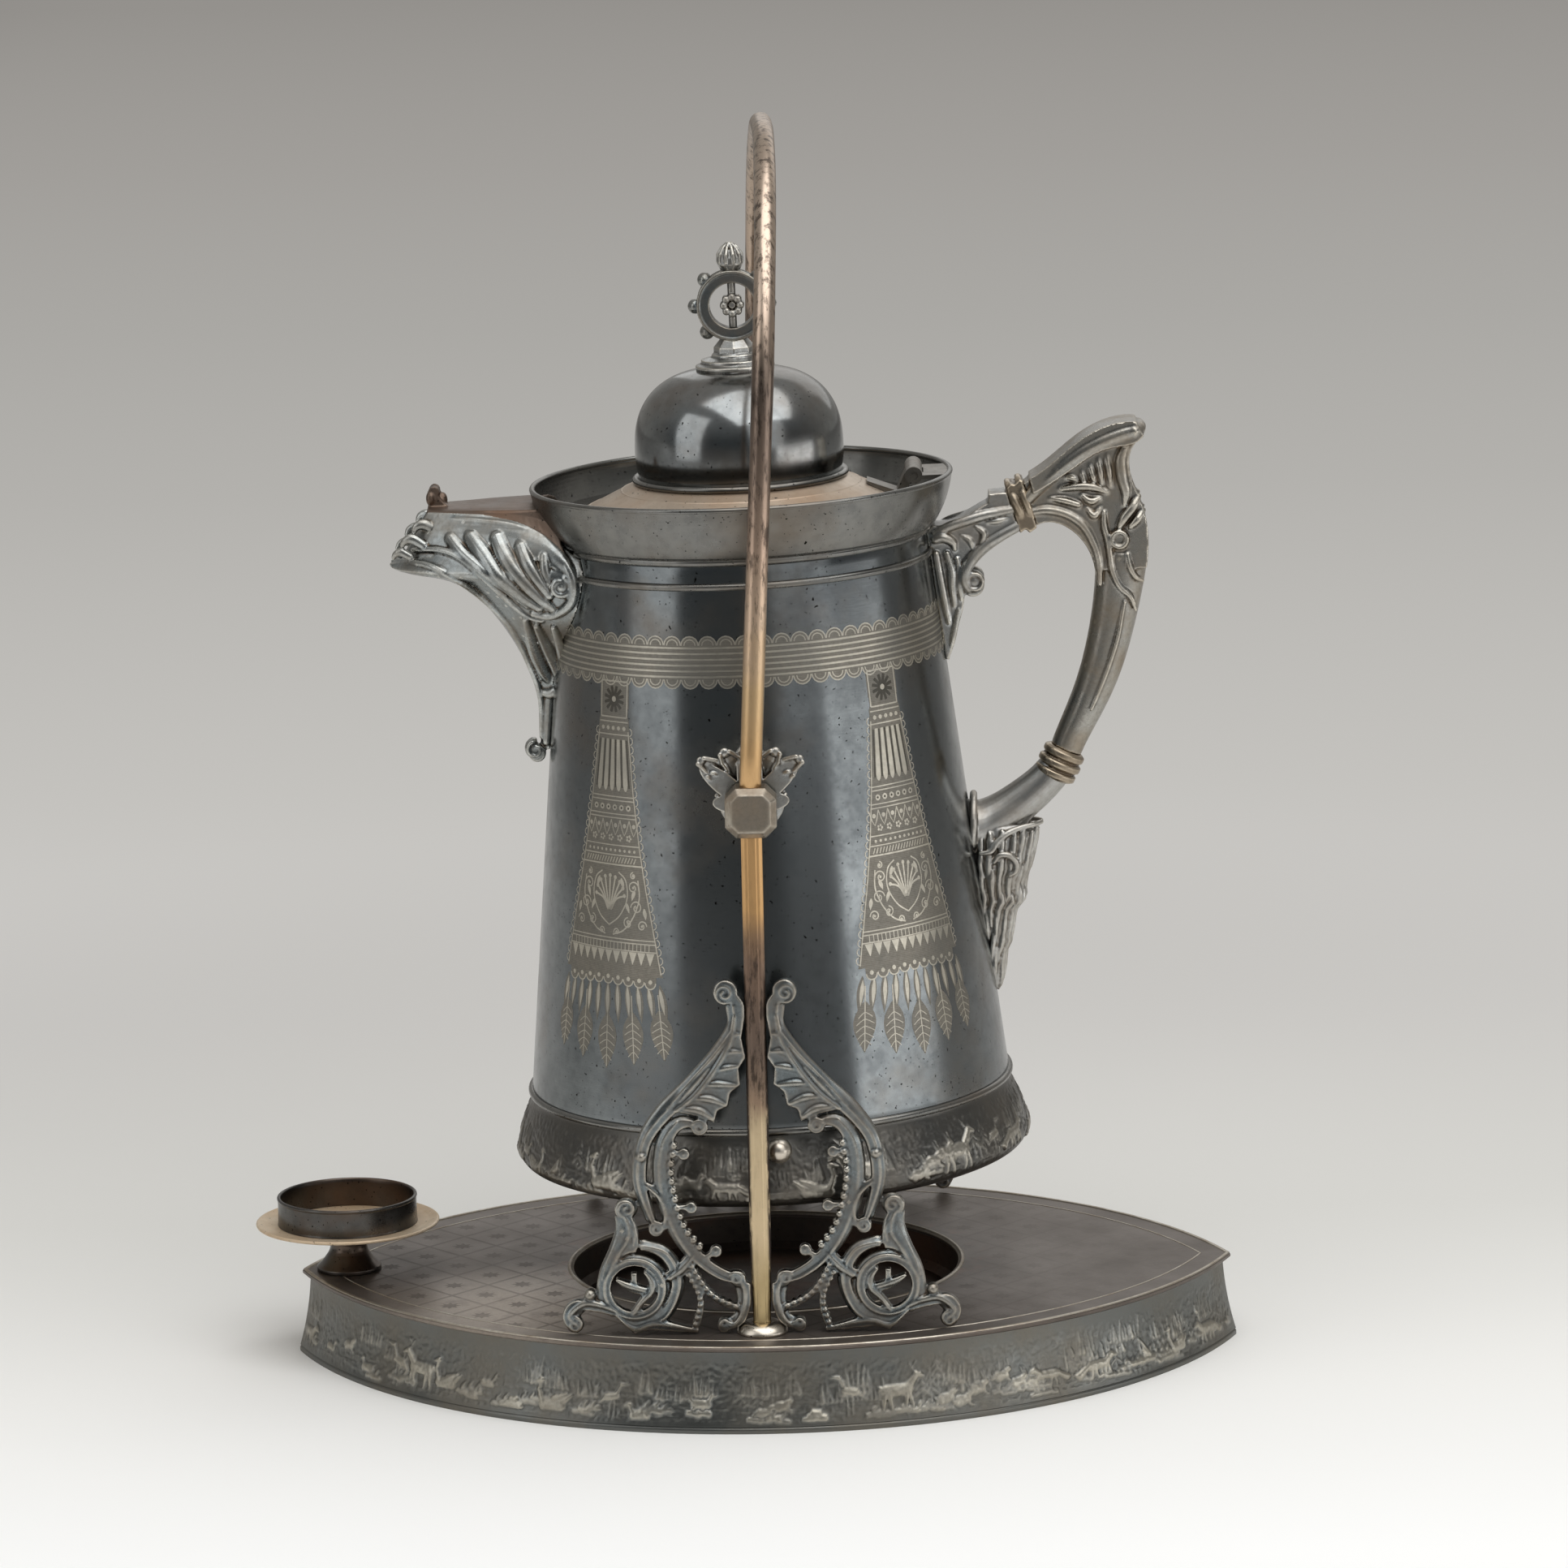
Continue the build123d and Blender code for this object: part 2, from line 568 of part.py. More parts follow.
def make_foot_band():
    """Rolled band that flares from the cone and turns in to the foot."""
    sheet = SKIRT_SHEET
    low = SKIRT_BOTTOM
    top = BODY_BOTTOM - SOLDER
    head = BODY_BOTTOM_RADIUS
    return spin_points([
        (foot_radius - sheet, low), (foot_radius, low),
        (skirt_radius - 1.9, low + 1.9), (skirt_radius, low + 5.4),
        (skirt_radius - 0.3, low + 9.4), (skirt_radius - 2.9, low + 18.0), (head + 0.7, low + 25.6),
        (head, BODY_BOTTOM - BEAD_WIDTH / 2), (head, top),
        (head - sheet, top), (head - 0.8, low + 25.4), (skirt_radius - 4.4, low + 17.6),
        (skirt_radius - 1.8, low + 9.0), (skirt_radius - 1.8, low + 5.8), (skirt_radius - 3.0, low + 3.2),
        (foot_radius - sheet, low + 2.2),
    ])


def make_foot_bead():
    inner = BODY_BOTTOM_RADIUS + SOLDER
    low = BODY_BOTTOM - BEAD_WIDTH / 2
    return spin_points([
        (inner, low), (inner + BEAD_PROUD, low + 0.8),
        (inner + BEAD_PROUD, low + BEAD_WIDTH - 0.8), (inner, low + BEAD_WIDTH),
    ])


def make_pitcher_bottom():
    edge = foot_radius - SKIRT_SHEET - SOLDER
    return rod(edge, SKIRT_BOTTOM + 0.3, SKIRT_BOTTOM + 1.6)


def make_inner_liner():
    top = mouth_height - MOUTH_SHEET - SOLDER
    sheet = LINER_SHEET
    shell = spin_points([
        (0, LINER_FOOT), (LINER_FOOT_RADIUS - 3, LINER_FOOT), (liner_radius(LINER_FOOT + 3), LINER_FOOT + 3),
        (liner_radius(top), top), (liner_radius(top) - sheet, top),
        (liner_radius(LINER_FOOT + 3) - sheet, LINER_FOOT + 3.4),
        (LINER_FOOT_RADIUS - 3.4, LINER_FOOT + sheet),
        (0, LINER_FOOT + sheet),
    ])
    return shell - throat_rod(THROAT_RADIUS + THROAT_WALL + SOLDER)


def make_spout_throat():
    """Tube that carries the water from the liner through the outer cone to the spout."""
    start = liner_radius(throat_height) - LINER_SHEET - 0.5
    pipe = Circle(THROAT_RADIUS + THROAT_WALL) - Circle(THROAT_RADIUS)
    pipe = Plane(origin=(-start, 0, throat_height), z_dir=(-1, 0, 0)) * extrude(pipe, start)
    low, high = throat_height - 20, throat_height + 14
    return pipe & spin_points([(0, low), (body_radius(low), low), (body_radius(high), high), (0, high)])


def make_strainer():
    """Disc with a ring of holes round a middle one, set in the throat."""
    disc = Circle(THROAT_RADIUS - SOLDER) - Circle(STRAINER_HOLE)
    disc -= PolarLocations(THROAT_RADIUS * 0.6, 4) * Circle(STRAINER_HOLE)
    start = liner_radius(throat_height) + 1.0
    return Plane(origin=(-start, 0, throat_height), z_dir=(-1, 0, 0)) * extrude(disc, 1.0)


def make_neck_moulding():
    return spin_points(moulding_points(0.0))


def make_gallery():
    foot, middle, rim = gallery_wall(0.0)
    inner_foot, inner_middle, inner_rim = gallery_wall(GALLERY_SHEET)
    ledge = BODY_TOP_RADIUS - BODY_SHEET
    bowl = spin(
        ThreePointArc(foot, middle, rim),
        Line(rim, inner_rim),
        ThreePointArc(inner_rim, inner_middle, inner_foot + Vector(0, 1.2)),
        Polyline(inner_foot + Vector(0, 1.2), (ledge, foot.Y + 1.2), (ledge, foot.Y), foot),
    )
    return bowl


def make_mouth_ring():
    """Ledge inside the gallery that carries the lid and the top of the liner."""
    low = mouth_height - MOUTH_SHEET
    return spin_points([
        (mouth_radius, low), (gallery_radius(low, GALLERY_SHEET) - SOLDER, low),
        (gallery_radius(low, GALLERY_SHEET) - SOLDER, mouth_height), (mouth_radius, mouth_height),
    ])


# Spout

def spout_loft(sections, inset=0.0):
    """Half-round sections across the spout: height over the cone's top, reach beyond it and half width."""
    back = BODY_TOP_RADIUS - SPOUT_BACK
    faces = []
    for rise, reach, half in sections:
        shape = Ellipse(SPOUT_BACK + reach - inset, half - inset)
        faces.append(Pos(-back, 0, BODY_TOP + rise) * shape)
    return loft(faces)


SPOUT_LOWER = [(-82.0, 12.8, 4.0), (-69.0, 11.8, 5.2), (-56.0, 13.6, 8.5), (-42.0, 18.6, 18.0),
               (-29.0, 26.0, 31.0), (-18.0, 35.2, 37.0), (-10.0, 49.2, 38.5), (-5.0, 68.4, 38.0)]
SPOUT_UPPER = [(-5.0, 68.4, 38.0), (2.0, 62.7, 34.0), (16.0, 52.2, 23.0)]
SPOUT_MOUTH = [(-5.0, 65.2, 36.0), (2.2, 70.2, 31.0), (17.2, 67.2, 20.0)]


def make_spout():
    """Beaked casting: a shell that rises from a tail on the cone to an open pouring lip."""
    shell = spout_loft(SPOUT_LOWER) + spout_loft(SPOUT_UPPER)
    hollow = [(rise + SPOUT_SHEET, reach - 3.0, half) for rise, reach, half in SPOUT_LOWER[4:]]
    hollow = spout_loft(hollow, SPOUT_SHEET)
    lip = [(rise + SPOUT_SHEET, reach, half) for rise, reach, half in SPOUT_MOUTH]
    lip = spout_loft(lip, SPOUT_SHEET)
    shell = shell - hollow - lip
    above = Box(TRAY_LENGTH, TRAY_LENGTH, GALLERY_HEIGHT * 2, align=(Align.CENTER, Align.CENTER, Align.MIN))
    shell -= Pos(0, 0, cover_height) * above
    curl = rod_along_y(3.4, -2.6, 2.6, x=-BODY_TOP_RADIUS - 13.8, z=BODY_TOP - 83.4)
    shell += curl
    shell -= pitcher_core()
    return shell.solids().sort_by(SortBy.VOLUME)[-1]


def make_spout_cover():
    """Flat cover over the channel, with a leaf bud turned up at its end."""
    low = cover_height + SOLDER
    plate = Pos(SPOUT_BACK - BODY_TOP_RADIUS, 0, low) * extrude(Ellipse(66.0, 22.0), COVER_SHEET)
    plate -= pitcher_core()
    plate = plate.solids().sort_by(SortBy.VOLUME)[-1]
    top = low + COVER_SHEET
    tip = -BODY_TOP_RADIUS - 49.4
    bud = stroke([(tip + 6.2, top - 0.8), (tip + 1.8, top + 1.6), (tip, top + 6.2)], [2.4, 4.0, 3.0])
    plate += plate_in_xz(bud, 9.0)
    plate += rod_along_y(2.2, -4.5, 4.5, x=tip + 0.4, z=top + 6.4)
    return plate


# Handle

def spline_face(*runs):
    """Face inside a closed outline of splines, each run given by its points."""
    edges = Curve()
    for run in runs:
        edges += Spline(*run) if len(run) > 2 else Line(*run)
    return make_face(edges)


def arm_joint(z, start):
    """X of the slanted joints across the handle's arm, from where one crosses its top."""
    return start + (ARM_TOP - z) * ARM_SLANT


def make_upper_bracket():
    """Leaf casting on the cone that carries the handle's arm, with a volute under it."""
    face = spline_face(
        [(70.0, 334.6), (84.9, 334.6), (92.0, 338.2), (97.4, 341.0)],
        [(97.4, 341.0), (97.8, 344.6)],
        [(97.8, 344.6), (arm_joint(ARM_TOP, BAND_START), ARM_TOP)],
        [(arm_joint(ARM_TOP, BAND_START), ARM_TOP), (arm_joint(329.2, BAND_START), 329.2)],
        [(arm_joint(329.2, BAND_START), 329.2), (99.6, 323.6), (92.2, 317.4), (89.6, 313.6)],
        [(89.6, 313.6), (86.4, 303.4)],
        [(86.4, 303.4), (85.4, 298.0), (81.4, 286.0), (79.4, 279.0)],
        [(79.4, 279.0), (70.0, 279.0)],
        [(70.0, 279.0), (70.0, 334.6)],
    )
    arm = plate_in_xz(face, HANDLE_DEPTH)
    arm += rod_along_y(4.6, -HANDLE_DEPTH / 2, HANDLE_DEPTH / 2, x=90.0, z=308.4)
    arm -= pitcher_core()
    return arm.solids().sort_by(SortBy.VOLUME)[-1]


def make_arm_band():
    """Sloping double band where the arm meets the grip."""
    start, end = BAND_START + 2 * SOLDER, BAND_END
    face = make_face(Polyline(
        (arm_joint(328.4, start), 328.4), (arm_joint(346.4, start), 346.4), (106.6, 348.4), (108.4, 348.0),
        (110.2, 350.0), (arm_joint(349.4, end), 349.4), (arm_joint(330.4, end), 330.4), (113.4, 328.4),
        (111.8, 330.0), close=True,
    ))
    return plate_in_xz(face, HANDLE_DEPTH + 2.0)


SHAFT = [(149.4, 318.0, 10.6, 7.5), (147.8, 304.0, 9.6, 7.5), (144.4, 288.0, 8.8, 7.2),
         (139.6, 272.0, 8.1, 7.0), (132.6, 256.0, 7.2, 6.6), (124.4, 239.6, 6.4, 6.2)]


def shaft_plane(index):
    """Plane across the handle's shaft at one of its stations, pointing down the shaft."""
    here = SHAFT[index]
    before = SHAFT[max(index - 1, 0)]
    after = SHAFT[min(index + 1, len(SHAFT) - 1)]
    along = Vector(after[0] - before[0], 0, after[1] - before[1])
    return Plane(origin=(here[0], 0, here[1]), x_dir=(0, 1, 0), z_dir=along)


def make_grip():
    """The hand grip: thumb rest, broad shoulder and a shaft that tapers to the collar."""
    start = BAND_END + 2 * SOLDER
    shoulder = spline_face(
        [(arm_joint(348.0, start), 348.0), (121.1, 354.4), (134.4, 363.4), (147.5, 368.8), (157.0, 369.4)],
        [(157.0, 369.4), (157.4, 363.0)],
        [(157.4, 363.0), (154.0, 356.0), (155.0, 347.0), (158.8, 336.0), (160.2, 320.0), (159.2, 312.0)],
        [(159.2, 312.0), (138.6, 312.0)],
        [(138.6, 312.0), (135.9, 321.1), (129.7, 328.6), (123.4, 331.8), (arm_joint(331.0, start), 331.0)],
        [(arm_joint(331.0, start), 331.0), (arm_joint(348.0, start), 348.0)],
    )
    grip = plate_in_xz(shoulder, HANDLE_DEPTH - 1.0)
    sections = []
    for index, (x, z, half, depth) in enumerate(SHAFT):
        sections.append(shaft_plane(index) * Ellipse(depth, half))
    grip += loft(sections)
    thumb = spline_face(
        [(114.0, 350.4), (121.4, 355.0), (134.4, 364.8), (147.5, 370.7), (157.2, 371.2)],
        [(157.2, 371.2), (160.1, 365.4)],
        [(160.1, 365.4), (157.0, 363.0), (146.0, 361.0), (132.0, 354.0), (115.4, 344.6)],
        [(115.4, 344.6), (114.0, 350.4)],
    )
    grip += plate_in_xz(thumb, THUMB_WIDTH)
    grip += rod_along_y(3.4, -HANDLE_DEPTH / 2 - 0.8, HANDLE_DEPTH / 2 + 0.8, x=148.9, z=323.4)
    return grip


def collar_plane():
    """Plane at the lower end of the shaft, facing along it."""
    last = shaft_plane(len(SHAFT) - 1)
    return Plane(origin=last.origin + last.z_dir * SOLDER, x_dir=last.x_dir, z_dir=last.z_dir)


def make_handle_collar():
    """Three rings in one collar at the foot of the shaft."""
    lobe = COLLAR_LENGTH / 3
    outline = [(0, 0)]
    for number in range(3):
        start = number * lobe
        radius = COLLAR_RADIUS - 0.3 * abs(number - 1)
        outline += [(radius - 1.6, start), (radius, start + 1.1), (radius, start + lobe - 1.1)]
        outline += [(radius - 1.6, start + lobe)]
    outline += [(0, COLLAR_LENGTH)]
    return collar_plane() * spin_points(outline)


def make_lower_mount():
    """Curved socket from the collar to the cone, with a drop of icicles below it."""
    end = collar_plane()
    start = end.origin + end.z_dir * (COLLAR_LENGTH + SOLDER)
    stations = [
        (start.X, start.Z, 6.9, 6.6, end.z_dir), (110.4, 217.4, 8.0, 7.2, Vector(-0.72, 0, -0.70)),
        (99.0, 210.8, 8.8, 8.0, Vector(-0.94, 0, -0.34)),
        (body_radius(209.6) - 3.7, 209.6, 11.6, 11.0, Vector(-1, 0, 0)),
    ]
    sections = []
    for x, z, half, depth, along in stations:
        sections.append(Plane(origin=(x, 0, z), x_dir=(0, 1, 0), z_dir=along) * Ellipse(depth, half))
    mount = loft(sections)
    drop = []
    for z, proud, half in ((209.0, 28.9, 13.0), (196.0, 23.3, 14.0), (181.0, 16.7, 11.6), (163.0, 9.8, 8.4),
                           (150.0, 5.4, 5.6), (141.6, 1.8, 2.6)):
        reach = body_radius(z) + proud
        root = body_radius(z) - 6.0
        drop.append(Pos((reach + root) / 2, 0, z) * Ellipse((reach - root) / 2, half))
    mount += loft(drop)
    mount -= pitcher_core()
    return mount.solids().sort_by(SortBy.VOLUME)[-1]


# Trunnions and stop

def make_pivot_boss(side):
    """Turned boss on the cone with a fan of five leaves above it."""
    face = block_face - STOP_GAP
    root = body_radius(PIVOT_HEIGHT) - 4
    neck = root + 0.45 * (face - root)
    boss = spin_points([(0, root), (BOSS_FOOT_RADIUS, root), (BOSS_FOOT_RADIUS, neck - 4),
                        (BOSS_HEAD_RADIUS, neck), (BOSS_HEAD_RADIUS, face), (0, face)])
    boss = Rot(90, 0, 0) * boss
    fan = Sketch()
    petals = [(8, 14.0, 3.4), (42, 24.5, 4.2), (90, 25.4, 5.0), (138, 24.5, 4.2), (172, 14.0, 3.4)]
    for angle, reach, half in petals:
        petal = Pos(reach / 2 + 1, 0) * Ellipse(reach / 2, half)
        fan += Rot(0, 0, angle) * petal
    leaf_y = face - 2.4 - LEAF_THICK
    fan = extrude(fan, LEAF_THICK)
    boss += Pos(0, -leaf_y, 0) * Rot(90, 0, 0) * fan
    boss = Pos(0, 0, PIVOT_HEIGHT) * boss
    boss -= rod_along_y(TRUNNION_RADIUS + 0.02, -root, -face - 1, z=PIVOT_HEIGHT)
    boss -= pitcher_core()
    boss = boss.solids().sort_by(SortBy.VOLUME)[-1]
    return boss if side < 0 else mirror(boss, Plane.XZ)


def make_trunnion(side):
    """Pin from inside the boss into the block's blind bore."""
    start = body_radius(PIVOT_HEIGHT) + 2.0
    end = block_face + TRUNNION_DEPTH
    return rod_along_y(TRUNNION_RADIUS, side * start, side * end, z=PIVOT_HEIGHT)


def make_stop_ball():
    """Ball on the foot band, behind the front upright's edge, that stops the pitcher upright."""
    inner_face = hoop_reach - UPRIGHT_DEPTH / 2
    bracket_inner = hoop_reach + UPRIGHT_DEPTH / 2 - BRACKET_FRONT_SET_BACK - BRACKET_THICK
    y = bracket_inner - 0.4 - STOP_BALL_RADIUS
    corner_x = UPRIGHT_WIDTH / 2 - UPRIGHT_ROUND
    corner_y = inner_face + UPRIGHT_ROUND
    reach = STOP_BALL_RADIUS + UPRIGHT_ROUND + STOP_GAP
    x = corner_x + math.sqrt(reach**2 - (corner_y - y) ** 2)
    centre = Pos(0, 0, PIVOT_HEIGHT) * Rot(0, REST_LEAN, 0) * Pos(x, -y, STOP_BALL_HEIGHT - PIVOT_HEIGHT)
    ball = centre * Sphere(STOP_BALL_RADIUS)
    skirt = spin_points([(0, SKIRT_BOTTOM), (skirt_radius + SOLDER, SKIRT_BOTTOM),
                         (skirt_radius - 0.3 + SOLDER, SKIRT_BOTTOM + 9.4),
                         (skirt_radius - 2.9 + SOLDER, SKIRT_BOTTOM + 18.0),
                         (BODY_BOTTOM_RADIUS + 0.7 + SOLDER, SKIRT_BOTTOM + 25.6),
                         (BODY_BOTTOM_RADIUS + SOLDER, BODY_BOTTOM), (0, BODY_BOTTOM)])
    return ball - skirt


# Lid

def make_lid_flange():
    edge = lid_radius
    inner = DOME_RADIUS - 5.0
    plug = lid_plug_radius
    under = -LID_SHEET * 1.1
    return spin_points([
        (inner, flange_top(inner) + under), (plug - 1.0, flange_top(plug - 1.0) + under),
        (plug - 1.0, lid_seat - LID_PLUG_DEPTH), (plug, lid_seat - LID_PLUG_DEPTH),
        (plug, flange_top(plug) + under), (edge - 1.6, lid_seat), (edge, lid_seat), (edge, flange_top(edge)),
        (inner, flange_top(inner)),
    ])


def make_lid_dome():
    """Spun dome on the flange: nearly upright sides, round shoulder and flat crown."""
    foot = flange_top(DOME_RADIUS - 1.2) + SOLDER + 0.7
    side, shoulder = dome_top - 15.0, dome_top

    def dome(inset):
        r = DOME_RADIUS - inset
        top = shoulder - inset
        hip = r - 3.2
        return spin(
            Polyline((0, top), (0, foot), (r - 1.2, foot)),
            ThreePointArc((r - 1.2, foot), (r, foot + 12), (hip, side)),
            ThreePointArc((hip, side), (hip - 7.4, side + 9.6 - inset), (hip - 22.0, top - 0.4)),
            Line((hip - 22.0, top - 0.4), (0, top)),
        )

    shell = dome(0.0) - dome(DOME_SHEET)
    return shell - rod(FINIAL_STUD_RADIUS + SOLDER, foot, dome_top + 2)


def make_dome_bead():
    inner = DOME_RADIUS - 1.2 + SOLDER
    low = flange_top(inner) + SOLDER
    return spin_points([(inner, low), (inner + 1.6, low), (inner + 2.0, low + 0.8), (inner + 1.4, low + 1.7),
                        (inner + 0.4, low + 1.9)])


def make_finial_base():
    """Stepped discs and an eight-sided collar with a saddle for the ring, on a stud through the dome."""
    low = dome_top + SOLDER
    ring_foot = finial_ring_height - FINIAL_RING_OUTER
    discs = spin_points([
        (0, low), (15.7, low), (15.7, low + 1.2), (13.4, low + 2.0), (13.4, low + 3.4), (9.0, low + 4.4),
        (7.0, low + 5.0), (0, low + 5.0),
    ])
    collar = Pos(0, 0, low + 4.0) * extrude(RegularPolygon(7.6, 8, major_radius=False), 4.2)
    neck = extrude(RegularPolygon(7.6, 8, major_radius=False), ring_foot + 1.6 - low - 8.2, taper=38)
    neck = Pos(0, 0, low + 8.2) * neck
    base = discs + collar + neck + rod(FINIAL_STUD_RADIUS, dome_top - 9.0, low + 1)
    saddle = rod_along_y(FINIAL_RING_OUTER + SOLDER, -20, 20, z=finial_ring_height)
    return base - saddle


def make_finial_ring():
    """Broad ring with two raised edges and six knobs, its axis from front to back."""
    half = FINIAL_RING_WIDTH / 2
    outer = FINIAL_RING_OUTER
    inner = FINIAL_RING_INNER
    ring = spin_points([(inner, -half), (outer, -half), (outer, -half + 1.6), (outer - 0.9, -half + 2.0),
                        (outer - 0.9, half - 2.0), (outer, half - 1.6), (outer, half), (inner, half)])
    knob = spin_points([(0, 0), (1.2, 0), (FINIAL_KNOB, 1.8), (FINIAL_KNOB, 3.4), (1.2, 4.6), (0, 4.6)])
    for angle in (0, 45, 135, 180, 225, 315):
        ring += Rot(0, 0, angle) * Pos(outer - 1.2, 0, 0) * Rot(0, 90, 0) * knob
    return Pos(0, 0, finial_ring_height) * Rot(90, 0, 0) * ring


def make_finial_spindle():
    """Upright bar across the ring's hole with a petalled rosette at its middle."""
    reach = FINIAL_RING_INNER - SOLDER
    bar = rod(SPINDLE_RADIUS, finial_ring_height - reach, finial_ring_height + reach)
    bar &= rod_along_y(reach, -5, 5, z=finial_ring_height)
    petals = Circle(ROSETTE_RADIUS * 0.62)
    petals += PolarLocations(ROSETTE_RADIUS * 0.66, 8) * Circle(ROSETTE_RADIUS * 0.34)
    rosette = extrude(petals, 3.6) + Pos(0, 0, 3.6) * extrude(Circle(1.4), 0.8)
    return bar + Pos(0, 2.2, finial_ring_height) * Rot(90, 0, 0) * rosette


def make_finial_bud():
    low = finial_ring_height + FINIAL_RING_OUTER - 1.0
    high = low + 1.0 + BUD_HEIGHT
    bud = spin_points([(0, low), (2.6, low), (BUD_RADIUS, low + 3.4), (BUD_RADIUS * 0.97, low + 6.0),
                       (BUD_RADIUS * 0.72, low + 9.0), (BUD_RADIUS * 0.26, high - 0.3), (0, high)])
    return bud - rod_along_y(FINIAL_RING_OUTER + SOLDER, -20, 20, z=finial_ring_height)


def make_finial_nut():
    """Hexagon nut under the dome's crown that draws the finial down."""
    high = dome_top - DOME_SHEET - 0.4 - SOLDER
    nut = extrude(RegularPolygon(NUT_FLATS / 2, 6, major_radius=False), NUT_HEIGHT)
    nut = Pos(0, 0, high - NUT_HEIGHT) * nut
    return nut - rod(FINIAL_STUD_RADIUS + SOLDER, high - 10, high + 1)


# Hinge

def make_fixed_leaf():
    """Two outer knuckles and a plate to the gallery's wall."""
    half = HINGE_LENGTH / 2
    gap = LID_KNUCKLE / 2 + STOP_GAP
    leaf = Part()
    for side in (-1, 1):
        knuckle = rod_along_y(HINGE_RADIUS, side * gap, side * half, x=hinge_x, z=hinge_height)
        plate = Pos(hinge_x + HINGE_RADIUS - 1.5, side * (gap + half) / 2, hinge_height - HINGE_LEAF / 2)
        plate = plate * Box(4.0, half - gap, HINGE_LEAF, align=(Align.MIN, Align.CENTER, Align.CENTER))
        leaf += knuckle + plate
    near = hinge_x + HINGE_RADIUS + STOP_GAP + 0.2
    leaf += Pos(near, 0, hinge_height - HINGE_LEAF / 2) * Box(
        rim_radius - near, HINGE_LENGTH, HINGE_LEAF, align=(Align.MIN, Align.CENTER, Align.CENTER))
    foot, middle, rim = gallery_wall(GALLERY_SHEET + SOLDER)
    inside = spin(
        Polyline((0, rim.Y), (0, foot.Y), (foot.X, foot.Y)),
        ThreePointArc(foot, middle, rim),
        Line(rim, (0, rim.Y)),
    )
    keep = inside + Pos(hinge_x, 0, hinge_height) * Box(12, HINGE_LENGTH + 2, 12)
    leaf &= keep
    return leaf - rod_along_y(HINGE_PIN_RADIUS + 0.02, -half - 1, half + 1, x=hinge_x, z=hinge_height)


def make_lid_leaf():
    """Middle knuckle and a tongue down to the lid's flange."""
    width = LID_KNUCKLE
    root = 50.0
    edge = lid_radius - 0.4
    tongue = make_face(Polyline(
        (root, flange_top(root) + SOLDER), (edge, flange_top(edge) + SOLDER),
        (hinge_x - 1.0, hinge_height - 3.2), (hinge_x - 3.0, hinge_height + 1.0),
        (edge - 2.0, flange_top(edge) + 3.4), (root, flange_top(root) + SOLDER + 1.2), close=True,
    ))
    leaf = plate_in_xz(tongue, width)
    leaf += rod_along_y(HINGE_RADIUS, -width / 2, width / 2, x=hinge_x, z=hinge_height)
    return leaf - rod_along_y(HINGE_PIN_RADIUS + RUNNING, -width, width, x=hinge_x, z=hinge_height)


def make_hinge_pin():
    half = HINGE_LENGTH / 2 - 0.8
    return rod_along_y(HINGE_PIN_RADIUS, -half, half, x=hinge_x, z=hinge_height)


STAND = {
    "base_wall": make_base_wall(),
    "base_top_plate": make_top_plate(),
    "drip_well": make_drip_well(),
    "hoop_nuts": make_hoop_nuts(),
    "bail": make_bail(),
    "goblet_pedestal": make_goblet_pedestal(),
    "goblet_disc": make_goblet_disc(),
    "goblet_ring": make_goblet_ring(),
    "goblet_nut": make_goblet_nut(),
}
PITCHER = {
    "pitcher_body": make_pitcher_body(),
    "foot_band": make_foot_band(),
    "foot_bead_ring": make_foot_bead(),
    "pitcher_bottom": make_pitcher_bottom(),
    "inner_liner": make_inner_liner(),
    "neck_moulding": make_neck_moulding(),
    "gallery_rim": make_gallery(),
    "mouth_ring": make_mouth_ring(),
    "spout_throat": make_spout_throat(),
    "spout_strainer": make_strainer(),
    "spout": make_spout(),
    "spout_cover": make_spout_cover(),
    "handle_upper_bracket": make_upper_bracket(),
    "handle_arm_band": make_arm_band(),
    "handle_grip": make_grip(),
    "handle_collar": make_handle_collar(),
    "handle_lower_mount": make_lower_mount(),
    "stop_ball": make_stop_ball(),
    "hinge_fixed_leaf": make_fixed_leaf(),
    "hinge_pin": make_hinge_pin(),
}
LID = {
    "lid_flange": make_lid_flange(),
    "lid_dome": make_lid_dome(),
    "dome_bead": make_dome_bead(),
    "hinge_lid_leaf": make_lid_leaf(),
    "finial_base": make_finial_base(),
    "finial_ring": make_finial_ring(),
    "finial_spindle": make_finial_spindle(),
    "finial_bud": make_finial_bud(),
    "finial_nut": make_finial_nut(),
}
for place, side in (("front", -1), ("rear", 1)):
    STAND[f"upright_{place}"] = make_upright(side)
    STAND[f"foot_button_{place}"] = make_foot_button(side)
    STAND[f"pivot_block_{place}"] = make_pivot_block(side)
    STAND[f"bracket_{place}_spout_side"] = make_bracket(-1, side)
    STAND[f"bracket_{place}_handle_side"] = make_bracket(1, side)
    PITCHER[f"pivot_boss_{place}"] = make_pivot_boss(side)
    PITCHER[f"trunnion_{place}"] = make_trunnion(side)

os.makedirs("parts", exist_ok=True)
for name, part in STAND.items():
    export_step(part, f"parts/{name}.step")
for name, part in {**PITCHER, **LID}.items():
    export_step(leaned(part), f"parts/{name}.step")
print(len(STAND) + len(PITCHER) + len(LID), "sub-parts written")
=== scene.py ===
# %% [markdown]
# A pitcher of silver plate hangs on two trunnions in a hoop, over a pointed oval tray. The plate is
# old: it has tarnished to a dark steel grey, it is brown where dust has caught, and the hoop is worn
# through to its brass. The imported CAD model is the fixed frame. Turned and spun work is made here as
# finely turned outlines, castings get their relief modelled over the CAD solid and are melted to one
# skin, and the rolled friezes are height fields.

# %% The fixed frame
import math
import bpy
import bmesh
import numpy as np
from mathutils import Matrix, Vector


